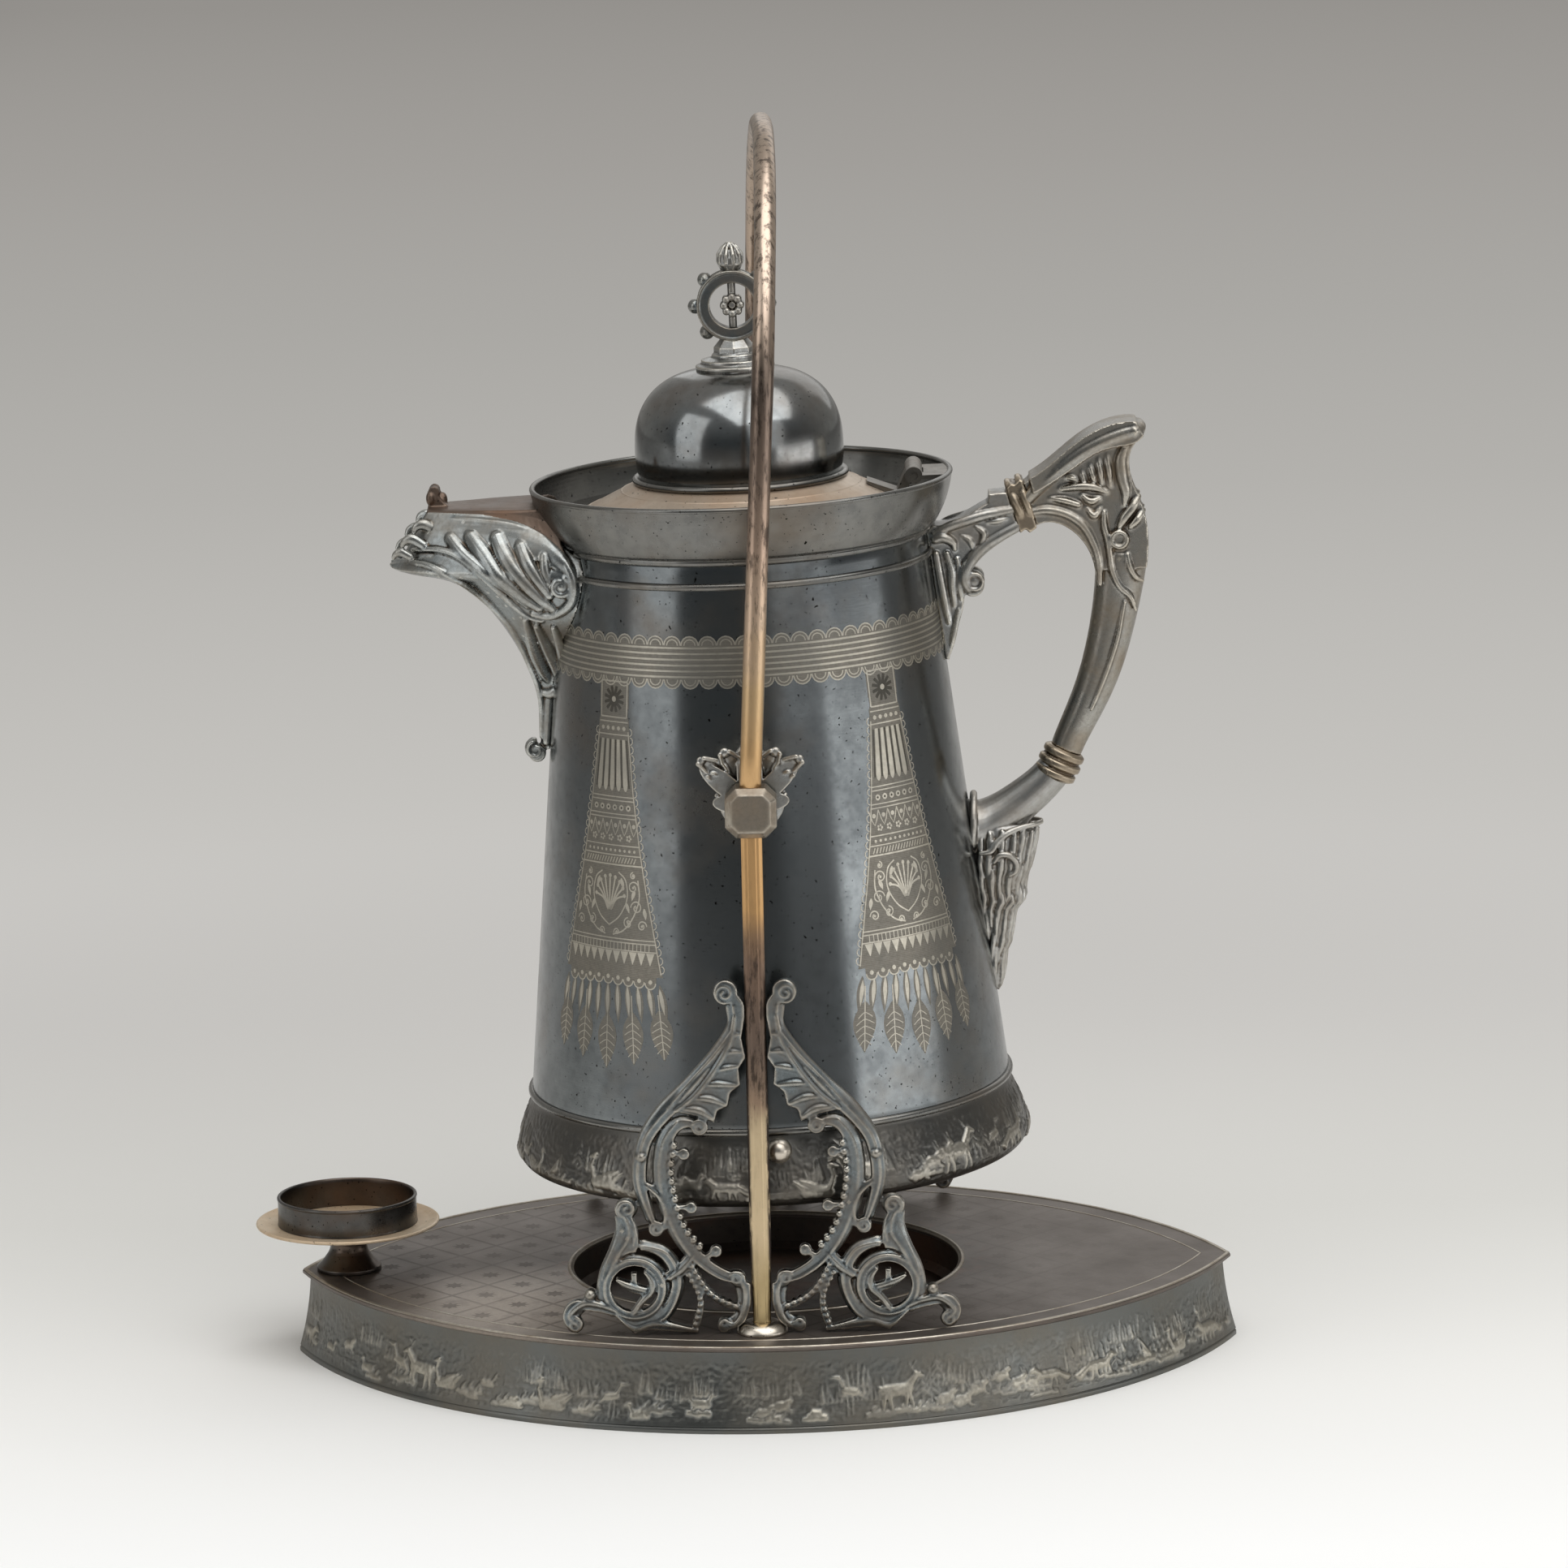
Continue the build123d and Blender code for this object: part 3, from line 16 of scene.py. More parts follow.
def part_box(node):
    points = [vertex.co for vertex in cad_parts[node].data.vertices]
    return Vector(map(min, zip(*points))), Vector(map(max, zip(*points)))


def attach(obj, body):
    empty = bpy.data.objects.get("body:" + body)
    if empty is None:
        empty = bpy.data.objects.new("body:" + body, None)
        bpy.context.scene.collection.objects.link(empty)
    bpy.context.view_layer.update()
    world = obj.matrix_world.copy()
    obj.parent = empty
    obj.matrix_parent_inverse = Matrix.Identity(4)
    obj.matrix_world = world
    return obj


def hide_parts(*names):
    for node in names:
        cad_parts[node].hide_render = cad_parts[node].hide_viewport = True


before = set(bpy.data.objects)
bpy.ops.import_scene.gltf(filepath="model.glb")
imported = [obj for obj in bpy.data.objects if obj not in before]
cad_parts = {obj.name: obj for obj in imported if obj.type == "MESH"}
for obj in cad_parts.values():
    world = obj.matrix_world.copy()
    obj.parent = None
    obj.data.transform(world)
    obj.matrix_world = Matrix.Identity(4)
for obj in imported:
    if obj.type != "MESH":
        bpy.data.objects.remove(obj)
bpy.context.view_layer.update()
MM = 0.001

# %% [markdown]
# Blender works in metres and the shop drawing in millimetres, so every outline below is in
# millimetres and is turned to metres once, where its mesh is made. The sizes that more than one
# piece shares are read from the frame or named here.

# %% Sizes in millimetres
tray_box = [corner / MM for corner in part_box("base_top_plate")]
HALF_LENGTH = tray_box[1].x
HALF_WIDTH = tray_box[1].y
TRAY_TOP = tray_box[1].z
ARC_RADIUS = (HALF_LENGTH**2 + HALF_WIDTH**2) / (2 * HALF_WIDTH)
ARC_CENTRE = ARC_RADIUS - HALF_WIDTH
HOOP_REACH = 108.0
PIVOT_HEIGHT = 241.0
LEAN = math.radians(1.56)
CONE_FOOT, CONE_FOOT_RADIUS = 111.0, 96.1
CONE_TOP, CONE_TOP_RADIUS = 331.0, 72.8
CONE_SLOPE = (CONE_FOOT_RADIUS - CONE_TOP_RADIUS) / (CONE_TOP - CONE_FOOT)
GOBLET_X = -169.0
RING_HEIGHT = 423.8
print("Tray", round(2 * HALF_LENGTH), "by", round(2 * HALF_WIDTH), "mm, arcs of", round(ARC_RADIUS, 1))


def cone_radius(z):
    """Outer radius of the pitcher's cone at a height."""
    return CONE_FOOT_RADIUS - CONE_SLOPE * (z - CONE_FOOT)


def lean(points):
    """Turns pitcher points from upright to the slight lean at which the pitcher rests."""
    x, y, z = np.moveaxis(np.asarray(points, float), -1, 0)
    z = z - PIVOT_HEIGHT
    return np.stack([x * math.cos(LEAN) - z * math.sin(LEAN), y,
                     x * math.sin(LEAN) + z * math.cos(LEAN) + PIVOT_HEIGHT], axis=-1)

# %% [markdown]
# A mesh is points and faces. Every piece here is a closed skin. Three shapes cover nearly all the work:
# a grid that closes on itself, an outline spun about an axis, and a tube that follows a curve. They are
# written once, in plain arrays, because that gives even faces that catch the light evenly.

# %% Points and faces
def grid_faces(rows, columns, close_rows=False, close_columns=False):
    """Quads between the points of a grid that may close on itself either way."""
    r = np.arange(rows if close_rows else rows - 1)
    c = np.arange(columns if close_columns else columns - 1)
    r, c = np.meshgrid(r, c, indexing="ij")
    down, across = (r + 1) % rows, (c + 1) % columns
    corners = [r * columns + c, r * columns + across, down * columns + across, down * columns + c]
    return np.stack(corners, axis=-1).reshape(-1, 4)


def arc(start, middle, end, steps=8):
    """Points on the arc through three points in a plane."""
    (ax, ay), (bx, by), (cx, cy) = start, middle, end
    d = 2 * (ax * (by - cy) + bx * (cy - ay) + cx * (ay - by))
    a, b, c = ax**2 + ay**2, bx**2 + by**2, cx**2 + cy**2
    ux = (a * (by - cy) + b * (cy - ay) + c * (ay - by)) / d
    uy = (a * (cx - bx) + b * (ax - cx) + c * (bx - ax)) / d
    first, last = math.atan2(ay - uy, ax - ux), math.atan2(cy - uy, cx - ux)
    through = math.atan2(by - uy, bx - ux)
    turn = (last - first) % (2 * math.pi)
    if (through - first) % (2 * math.pi) > turn:
        turn -= 2 * math.pi
    radius = math.hypot(ax - ux, ay - uy)
    angles = first + turn * np.linspace(0, 1, steps + 1)
    return [(ux + radius * math.cos(t), uy + radius * math.sin(t)) for t in angles]


def rounded(outline, radius, steps=3):
    """A closed outline with each corner eased, as polishing leaves it."""
    points = np.asarray(outline, float)
    soft = []
    for here, before, after in zip(points, np.roll(points, 1, 0), np.roll(points, -1, 0)):
        back, on = before - here, after - here
        far_back, far_on = np.linalg.norm(back), np.linalg.norm(on)
        start = here + back * min(radius / far_back, 0.42)
        end = here + on * min(radius / far_on, 0.42)
        for t in np.linspace(0, 1, steps + 1):
            soft.append((1 - t) ** 2 * start + 2 * t * (1 - t) * here + t**2 * end)
    return np.array(soft)


def bar_of(sections):
    """Skin of a bar from its sections one after the other, with flat ends."""
    rows, count = len(sections), len(sections[0])
    ends = [list(range(count))[::-1], [(rows - 1) * count + k for k in range(count)]]
    return np.vstack(sections), grid_faces(rows, count, False, True).tolist() + ends


def round_axis(r, z, angle):
    """Places at radii and heights, at angles round Z."""
    return np.stack([r * np.cos(angle), r * np.sin(angle), z + 0 * angle], axis=-1)


def spun(outline, segments=192):
    """Skin of a closed outline of radius and height, spun about Z."""
    outline = np.asarray(outline, float)
    points = round_axis(outline[:, :1], outline[:, 1:], np.arange(segments) * 2 * math.pi / segments)
    return points.reshape(-1, 3), grid_faces(len(outline), segments, True, True)


def curve_through(points, steps=8):
    """A smooth curve through points of any width, so radii can ride along with places."""
    p = np.asarray(points, float)
    p = np.vstack([2 * p[0] - p[1], p, 2 * p[-1] - p[-2]])
    t = np.linspace(0, 1, steps, endpoint=False)[:, None]
    run = []
    for a, b, c, d in zip(p[:-3], p[1:-2], p[2:-1], p[3:]):
        run.append(0.5 * (2 * b + (c - a) * t + (2 * a - 5 * b + 4 * c - d) * t**2
                          + (3 * b - a - 3 * c + d) * t**3))
    return np.vstack([*run, p[-2:-1]])


def lengths_along(run):
    """How far along a line each of its points lies."""
    return np.concatenate([[0], np.cumsum(np.linalg.norm(np.diff(run, axis=0), axis=1))])


def circle(x, z, radius, count):
    """Places round a circle, the first one twice, so that a line through them closes."""
    t = np.linspace(0, 2 * math.pi, count)
    return np.column_stack([x + radius * np.cos(t), z + radius * np.sin(t)])


def upright_at(y, run):
    """Places at a depth y from a run of x and z."""
    return np.column_stack([run[:, 0], np.full(len(run), y), run[:, 1]])


def tube(points, radii, flat=1.0, across=(0, 1, 0), sides=12):
    """Tube along a curve, made wider by a factor in one direction, with rounded ends."""
    p = np.asarray(points, float)
    radii = np.broadcast_to(np.asarray(radii, float), len(p))
    along = np.gradient(p, axis=0)
    along /= np.linalg.norm(along, axis=1, keepdims=True)
    side = np.asarray(across, float) - along * (along @ np.asarray(across, float))[:, None]
    side /= np.linalg.norm(side, axis=1, keepdims=True)
    other = np.cross(along, side)
    # Each station: which point, how far beyond it along the curve, and how thin
    first_end, last_end = [(0, -1.0, 0.05), (0, -0.75, 0.66)], [(-1, 0.75, 0.66), (-1, 1.0, 0.05)]
    stations = first_end + [(i, 0, 1) for i in range(len(p))] + last_end
    angle = np.arange(sides) * 2 * math.pi / sides
    rings = []
    for i, out, thin in stations:
        r = radii[i]
        centre = p[i] + along[i] * out * r * min(flat, 1.0)
        ring = np.outer(np.cos(angle) * flat, side[i]) + np.outer(np.sin(angle), other[i])
        rings.append(centre + ring * r * thin)
    return bar_of(rings)


def ball(centre, radius, squash=(1, 1, 1)):
    """A ball, or an egg when it is squashed, from an outline spun about its own axis."""
    t = np.linspace(0, math.pi, 11)
    points, faces = spun(np.column_stack([np.sin(t) + 1e-4, np.cos(t)]), 16)
    return points * radius * np.array(squash) + np.array(centre), faces


def join(*bits):
    """Several skins as one set of points and faces."""
    points, faces, count = [], [], 0
    for p, f in bits:
        points.append(np.asarray(p, float))
        faces += [[i + count for i in face] for face in f]
        count += len(p)
    return np.vstack(points), faces


def curl(centre, radius, start, turn, coil=0.34):
    """Points of a scroll that winds in from a radius, given in degrees and turns."""
    angle = math.radians(start) + np.linspace(0, turn * 2 * math.pi, int(14 * abs(turn)) + 4)
    r = np.linspace(radius, radius * coil, len(angle))
    return np.column_stack([centre[0] + r * np.cos(angle), centre[1] + r * np.sin(angle)])


print("Shape helpers ready")

# %% [markdown]
# A piece takes its points in millimetres, is welded where an outline meets the axis, turned right
# side out, and shaded smooth except at real edges. It then rides on its body, and hides the CAD nodes
# that it stands for.

# %% Making a piece
made = []


def mesh_of(name, skin):
    """A mesh in metres from points in millimetres and faces."""
    points, faces = skin
    mesh = bpy.data.meshes.new(name)
    mesh.from_pydata((np.asarray(points) * MM).tolist(), [], [list(f) for f in faces])
    return mesh


def in_scene(name, data):
    """An object in the scene, from its mesh, lamp or camera."""
    thing = bpy.data.objects.new(name, data)
    bpy.context.scene.collection.objects.link(thing)
    return thing


def piece(name, skin, body, material, slot, nodes=(), sharp=38, values=None):
    """A closed mesh that rides on a body and stands for CAD nodes."""
    mesh = mesh_of(name, skin)
    if values is not None:
        mesh.attributes.new("relief", "FLOAT", "POINT").data.foreach_set("value", values.astype(np.float32))
    work = bmesh.new()
    work.from_mesh(mesh)
    bmesh.ops.remove_doubles(work, verts=work.verts, dist=2e-4 * MM)
    bmesh.ops.dissolve_degenerate(work, edges=work.edges, dist=1e-5 * MM)
    bmesh.ops.recalc_face_normals(work, faces=work.faces)
    work.to_mesh(mesh)
    work.free()
    return dress(name, mesh, body, material, slot, nodes, sharp)


def dress(name, mesh, body, material, slot, nodes, sharp):
    """Shades a mesh, gives it its finish, and says what it rides on and stands for."""
    mesh.shade_smooth()
    mesh.set_sharp_from_angle(angle=math.radians(sharp))
    thing = in_scene(name, mesh)
    mesh.materials.clear()
    mesh.materials.append(material)
    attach(thing, body)
    if nodes:
        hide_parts(*nodes)
    made.append((name, len(mesh.polygons)))
    return thing


def frame_skin(node):
    """Points in millimetres and faces of a CAD node, welded along its seams."""
    work = bmesh.new()
    work.from_mesh(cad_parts[node].data)
    bmesh.ops.remove_doubles(work, verts=work.verts, dist=2e-3 * MM)
    points = np.array([v.co for v in work.verts]) / MM
    faces = [[v.index for v in f.verts] for f in work.faces]
    work.free()
    return points, faces


def melted(name, skin, grain, smoothing):
    """One skin round overlapping solids, as a mould would take them: voxels, then a light smoothing."""
    mesh = mesh_of(name, skin)
    rough = in_scene(name, mesh)
    remesh = rough.modifiers.new("skin", "REMESH")
    remesh.mode = "VOXEL"
    remesh.voxel_size = grain * MM
    smooth = rough.modifiers.new("polish", "SMOOTH")
    smooth.factor = 0.5
    smooth.iterations = smoothing
    result = bpy.data.meshes.new_from_object(rough.evaluated_get(bpy.context.evaluated_depsgraph_get()))
    bpy.data.objects.remove(rough)
    bpy.data.meshes.remove(mesh)
    return result


def casting(name, node, bits, body, material, grain, smoothing, slot="cast_silver_plate"):
    """A cast piece that stands for one CAD node: melted to one skin, shaded smooth all over."""
    return dress(name, melted(name, join(*bits), grain, smoothing), body, material, slot, [node], 60)


print("Piece makers ready")

# %% [markdown]
# ## Materials
# Silver plate over white metal is a metal all through, so metallic is 1 and the IOR keeps its
# default; what changes is the film of tarnish on it. Tarnish darkens the metal, turns it blue grey
# and brown, and makes it rougher in clouds. One function turns hex colours to linear light, and one
# adds a node.

# %% Colour and node helpers
def linear(code):
    """A hex colour as linear red, green, blue and alpha."""
    parts = [int(code[i:i + 2], 16) / 255 for i in (1, 3, 5)]
    return (*[c / 12.92 if c <= 0.04045 else ((c + 0.055) / 1.055) ** 2.4 for c in parts], 1.0)


def fill(node, inputs):
    """Sets or links the inputs of a node."""
    for key, value in inputs.items():
        if isinstance(value, bpy.types.NodeSocket):
            node.id_data.links.new(value, node.inputs[key])
        else:
            node.inputs[key].default_value = value


def add(tree, kind, inputs=None, out=0, **settings):
    """Adds a shader node, sets it up, fills its inputs, and gives back one of its outputs."""
    node = tree.nodes.new("ShaderNode" + kind)
    for name, value in settings.items():
        setattr(node, name, value)
    fill(node, inputs or {})
    return node.outputs[out]


def scale_for(size_mm):
    """Texture scale that gives features of a real size."""
    return 1.0 / (size_mm * MM)


def new_finish(name):
    """A material with its tree, its shader and the place of each point on the object."""
    material = bpy.data.materials.new(name)
    material.use_nodes = True
    tree = material.node_tree
    return material, tree, tree.nodes["Principled BSDF"], add(tree, "TexCoord", out="Object")


def filmed(tree, colour, films):
    """Lays films over a colour: where each lies, the most that it covers, and its own colour."""
    for where, most, code in films:
        if most < 1:
            where = add(tree, "Math", {0: where, 1: most}, operation="MULTIPLY")
        colour = add(tree, "Mix", {0: where, 6: colour, 7: linear(code)}, 2, data_type="RGBA")
    return colour


def set_stops(ramp, stops):
    """Gives a colour ramp its tones, from places along a line and their colours."""
    first, last = stops[0][0], stops[-1][0]
    while len(ramp.elements) < len(stops):
        ramp.elements.new(0.5)
    for element, (place, code) in zip(ramp.elements, stops):
        element.position = (place - first) / (last - first)
        element.color = linear(code)


def clouded(tree, place, size_mm, low, high, seed=0.0, detail=4.0):
    """Soft patches of tarnish of a real size, from 0 where it is clean to 1 where it is thick."""
    noise = add(tree, "TexNoise", {"Vector": place, "W": seed, "Scale": scale_for(size_mm), "Detail": detail,
                                   "Roughness": 0.6}, noise_dimensions="4D")
    return add(tree, "MapRange", {0: noise, 1: low, 2: high})


print("Node helpers ready")

# %% [markdown]
# Electroplate that was polished on the wheel and has darkened in the air: a blue-grey mirror with
# softer clouds, brown haze, small black pits and fine hairlines round the piece. To the eye it is a
# dark mirror whose highlights have cloudy edges. The hairlines are about 0.2 mm apart on the real
# piece and are drawn 0.8 mm apart, so that they still show.

# %% Polished plate, tarnished
def tarnished_plate(name, clean, dark, haze, gloss=0.15, dull=0.27, brown_from=0.50, dust=0.0):
    material, tree, shader, place = new_finish(name)
    film = clouded(tree, place, 30, 0.36, 0.68)
    brown = clouded(tree, place, 46, brown_from, brown_from + 0.24, seed=3.0)
    bloom = clouded(tree, place, 4.5, 0.42, 0.70, seed=5.0, detail=6.0)
    pits = clouded(tree, place, 1.3, 0.68, 0.74, seed=8.0, detail=1.0)
    small = add(tree, "Math", {0: bloom, 1: 0.38}, operation="MULTIPLY")
    mottle = add(tree, "Math", {0: film, 1: 0.62, 2: small}, operation="MULTIPLY_ADD")
    colour = filmed(tree, linear(clean), ((mottle, 1, dark), (brown, 0.7, haze), (pits, 1, "#1b1917")))
    smear = add(tree, "MapRange", {0: mottle, 3: gloss, 4: dull})
    rough = add(tree, "Math", {0: brown, 1: 0.10, 2: smear}, operation="MULTIPLY_ADD")
    stretch = add(tree, "Mapping", {"Vector": place, "Scale": (0.12, 0.12, 1.0)})
    hairs = add(tree, "TexNoise", {"Vector": stretch, "Scale": scale_for(0.8), "Detail": 2.0})
    marks = add(tree, "Math", {0: hairs, 1: pits}, operation="SUBTRACT")
    bump = add(tree, "Bump", {"Height": marks, "Strength": 0.10, "Distance": 0.05 * MM})
    fill(shader, {"Base Color": colour, "Roughness": rough, "Normal": bump, "Metallic": 1.0 - dust})
    return material


polished_plate = tarnished_plate("polished_plate", "#7c8081", "#5e6264", "#6e665c")
dome_plate = tarnished_plate("dome_plate", "#8f9292", "#6a6d6e", "#6e6155", 0.12, 0.22, 0.46)
lid_plate = tarnished_plate("dusty_lid_cone_plate", "#c0b1a0", "#a39483", "#a4886e", 0.36, 0.48, 0.40, 0.4)
gallery_plate = tarnished_plate("gallery_plate", "#83827e", "#686866", "#6e6356", 0.20, 0.34, 0.46)
goblet_black = tarnished_plate("blackened_ring", "#5c5a57", "#454341", "#6a4f3a", 0.24, 0.40, 0.50)
print("Polished plate in five depths of tarnish")

# %% [markdown]
# Cast white metal, plated and never polished in its hollows. The crests are rubbed pale, and their pale
# colour also carries a painted highlight; the hollows keep a brown-black film, and the skin is satin with
# the grain of the sand. Pointiness tells the crests from the hollows, because these meshes are dense.

# %% Cast plate
def cast_plate(name, crest_wear_and_highlight, flank, hollow, stain, gloss=0.24, dull=0.42):
    material, tree, shader, place = new_finish(name)
    point = add(tree, "NewGeometry", out="Pointiness")
    height = add(tree, "MapRange", {0: point, 1: 0.462, 2: 0.532})
    patches = clouded(tree, place, 16, 0.42, 0.66, seed=2.0)
    speck = clouded(tree, place, 1.6, 0.40, 0.75, seed=6.0, detail=3.0)
    rise = add(tree, "MapRange", {0: height, 1: 0.0, 2: 0.42})
    # Crest colour: pale rubbed metal together with a painted highlight on the crests
    top = add(tree, "MapRange", {0: height, 1: 0.55, 2: 1.0})
    colour = filmed(tree, linear(hollow), ((rise, 1, flank), (top, 1, crest_wear_and_highlight), (patches, 0.6, stain),
                                           (speck, 0.26, hollow)))
    satin = add(tree, "MapRange", {0: patches, 3: gloss, 4: dull})
    rough = add(tree, "Math", {0: speck, 1: 0.10, 2: satin}, operation="MULTIPLY_ADD")
    grain = add(tree, "TexNoise", {"Vector": place, "Scale": scale_for(0.9), "Detail": 3.0})
    bump = add(tree, "Bump", {"Height": grain, "Strength": 0.10, "Distance": 0.10 * MM})
    fill(shader, {"Base Color": colour, "Roughness": rough, "Normal": bump, "Metallic": 1.0})
    return material


cast_silver = cast_plate("cast_plate", "#d0ccc2", "#a2a4a3", "#413931", "#91877a")
bracket_cast = cast_plate("bracket_cast_plate", "#b0aca2", "#747b7d", "#2d2823", "#776a5c", 0.24, 0.40)
spout_cast = cast_plate("spout_cast_plate", "#c8c9c4", "#949999", "#463d34", "#827768", 0.22, 0.36)
rubbed_cast = cast_plate("rubbed_cast_plate", "#c2b49f", "#9c9080", "#453a30", "#8d7d69", 0.24, 0.40)
grip_cast = cast_plate("grip_cast_plate", "#c8c2b6", "#9f9d97", "#40372e", "#93836e", 0.24, 0.40)
plume_cast = cast_plate("plume_cast_plate", "#c6c3bb", "#a9a8a5", "#6c655c", "#93897c", 0.28, 0.44)
block_cast = cast_plate("block_cast_plate", "#bdb6a9", "#8e877c", "#4b4239", "#8d7c69", 0.30, 0.48)
print("Cast plate in seven casts")

# %% [markdown]
# The friezes of the tray's wall and the pitcher's foot were rolled into the sheet from a steel die,
# and then left matt. Their crests are rubbed to pale metal, and that pale colour also carries a painted
# highlight; their ground is dark. Each frieze mesh keeps the height of its relief at every point, and
# the material reads that height.

# %% Rolled relief plate
def rolled_plate(name, crest_wear_and_highlight, flank, ground, stain):
    material, tree, shader, place = new_finish(name)
    height = add(tree, "Attribute", out="Fac", attribute_name="relief")
    patches = clouded(tree, place, 30, 0.40, 0.62, seed=4.0)
    speck = clouded(tree, place, 1.3, 0.42, 0.72, seed=7.0, detail=4.0)
    low = add(tree, "MapRange", {0: height, 1: 0.05, 2: 0.36})
    # Crest colour: pale rubbed metal together with a painted highlight on the crests
    high = add(tree, "MapRange", {0: height, 1: 0.34, 2: 0.72})
    colour = filmed(tree, linear(ground), ((low, 1, flank), (high, 1, crest_wear_and_highlight), (patches, 0.5, stain),
                                           (speck, 0.28, ground)))
    satin = add(tree, "MapRange", {0: patches, 3: 0.30, 4: 0.40})
    rough = add(tree, "Math", {0: speck, 1: 0.10, 2: satin}, operation="MULTIPLY_ADD")
    grain = add(tree, "TexNoise", {"Vector": place, "Scale": scale_for(1.1), "Detail": 4.0})
    bump = add(tree, "Bump", {"Height": grain, "Strength": 0.30, "Distance": 0.15 * MM})
    fill(shader, {"Base Color": colour, "Roughness": rough, "Normal": bump, "Metallic": 1.0})
    return material


frieze_plate = rolled_plate("rolled_frieze", "#b4afa2", "#8f8e88", "#6a6b68", "#766e61")
foot_frieze = rolled_plate("rolled_foot_frieze", "#aba69b", "#86847e", "#5f5e5b", "#70685d")
print("Rolled relief plate")

# %% [markdown]
# Bright-cut engraving over a hatched ground: the graver leaves a matt, sand-coloured surface that
# scatters light, so the figures read as pale grey beige on the dark mirror from every side. The
# hatching is drawn at 0.7 mm, twice as coarse as the real one.

# %% Hatched ground and cut lines
HATCH_PITCH = 0.7


def engraved(name, light, dark, rough_low, rough_high, hatch):
    material, tree, shader, place = new_finish(name)
    worn = clouded(tree, place, 22, 0.36, 0.68, seed=9.0)
    speck = clouded(tree, place, 1.2, 0.35, 0.75, seed=1.0)
    waves = scale_for(HATCH_PITCH) / math.pi
    lines = add(tree, "TexWave", {"Vector": place, "Scale": waves, "Distortion": 1.2, "Detail": 2.0,
                                  "Detail Scale": 2.0}, "Fac", wave_type="BANDS", bands_direction="Z")
    hatched = add(tree, "Math", {0: lines, 1: hatch}, operation="MULTIPLY")
    mixed = add(tree, "Math", {0: speck, 1: 0.4, 2: hatched}, operation="MULTIPLY_ADD")
    colour = filmed(tree, linear(light), ((mixed, 1, dark), (worn, 0.45, "#6c6c69")))
    rough = add(tree, "MapRange", {0: speck, 3: rough_low, 4: rough_high})
    bump = add(tree, "Bump", {"Height": lines, "Strength": 0.3 * hatch, "Distance": 0.05 * MM})
    fill(shader, {"Base Color": colour, "Roughness": rough, "Normal": bump, "Metallic": 1.0})
    return material


hatched_ground = engraved("hatched_ground", "#8f8a80", "#6b675f", 0.40, 0.52, 0.5)
cut_lines = engraved("bright_cut_lines", "#c8c2b4", "#aca596", 0.30, 0.45, 0.1)
dark_cut = engraved("dark_cut_recess", "#57534b", "#3f3c37", 0.5, 0.6, 0.1)
print("Engraving finishes")

# %% [markdown]
# The hoop is brass bar that was copper-flashed and plated. Hands have worn it, most at the pivot and
# below, so the colour changes along its height: dark film with pink copper over the lid, golden brass
# at the pivot, brown below, and pale yellow brass near the tray. Satin brushing runs along the bar.

# %% Worn brass
# Height over the table in millimetres, and the colour that the bar has there
BRASS_TONES = ((34, "#bda87e"), (56, "#b09c76"), (70, "#cdb896"), (112, "#c9b594"), (126, "#96806c"),
               (150, "#6f6056"), (180, "#7f6a5b"), (200, "#c89f6e"), (230, "#cea573"), (262, "#d1ac7d"),
               (290, "#d2b48b"), (312, "#d6bca3"), (345, "#bda491"), (372, "#8f7d70"), (400, "#786a60"),
               (420, "#bda896"), (455, "#c6b3a2"), (500, "#b7a594"))
WANDER = 30


def worn_bar(name):
    material, tree, shader, place = new_finish(name)
    height = add(tree, "SeparateXYZ", {0: place}, "Z")
    wander = add(tree, "TexNoise", {"Vector": place, "Scale": scale_for(26), "Detail": 3.0})
    level = add(tree, "Math", {0: wander, 1: WANDER * MM, 2: height}, operation="MULTIPLY_ADD")
    low, high = [(BRASS_TONES[k][0] + WANDER / 2) * MM for k in (0, -1)]
    tones = add(tree, "ValToRGB", {0: add(tree, "MapRange", {0: level, 1: low, 2: high})})
    set_stops(tones.node.color_ramp, BRASS_TONES)
    long_grain = add(tree, "Mapping", {"Vector": place, "Scale": (1.0, 1.0, 0.22)})
    film = add(tree, "TexNoise", {"Vector": long_grain, "Scale": scale_for(2.6), "Detail": 7.0,
                                  "Roughness": 0.72})
    dark = add(tree, "MapRange", {0: film, 1: 0.50, 2: 0.60})
    # Film is left over the lid, and again on the brown stretch above the brackets
    upper = add(tree, "MapRange", {0: height, 1: 0.290, 2: 0.330, 3: 0.10, 4: 0.78})
    brown_start = add(tree, "MapRange", {0: height, 1: 0.112, 2: 0.135, 3: 0.0, 4: 0.85})
    brown_end = add(tree, "MapRange", {0: height, 1: 0.176, 2: 0.205, 3: 1.0, 4: 0.0})
    middle = add(tree, "Math", {0: brown_start, 1: brown_end}, operation="MULTIPLY")
    left = add(tree, "Math", {0: upper, 1: middle}, operation="MAXIMUM")
    cover = add(tree, "Math", {0: dark, 1: left}, operation="MULTIPLY")
    # The bevelled edges of the lower bars keep their film too
    across = add(tree, "Math", {0: add(tree, "SeparateXYZ", {0: place}, "X")}, operation="ABSOLUTE")
    edge = add(tree, "MapRange", {0: across, 1: 0.0026, 2: 0.0036})
    low_bar = add(tree, "MapRange", {0: height, 1: 0.205, 2: 0.150})
    ragged = add(tree, "MapRange", {0: film, 1: 0.36, 2: 0.50})
    edge = add(tree, "Math", {0: edge, 1: low_bar}, operation="MULTIPLY")
    edge = add(tree, "Math", {0: edge, 1: ragged}, operation="MULTIPLY")
    cover = add(tree, "Math", {0: cover, 1: edge}, operation="MAXIMUM")
    colour = filmed(tree, tones, ((cover, 1, "#3f3732"),))
    rough = add(tree, "MapRange", {0: film, 3: 0.20, 4: 0.42})
    bump = add(tree, "Bump", {"Height": film, "Strength": 0.3, "Distance": 0.1 * MM})
    fill(shader, {"Base Color": colour, "Roughness": rough, "Normal": bump, "Metallic": 1.0})
    return material


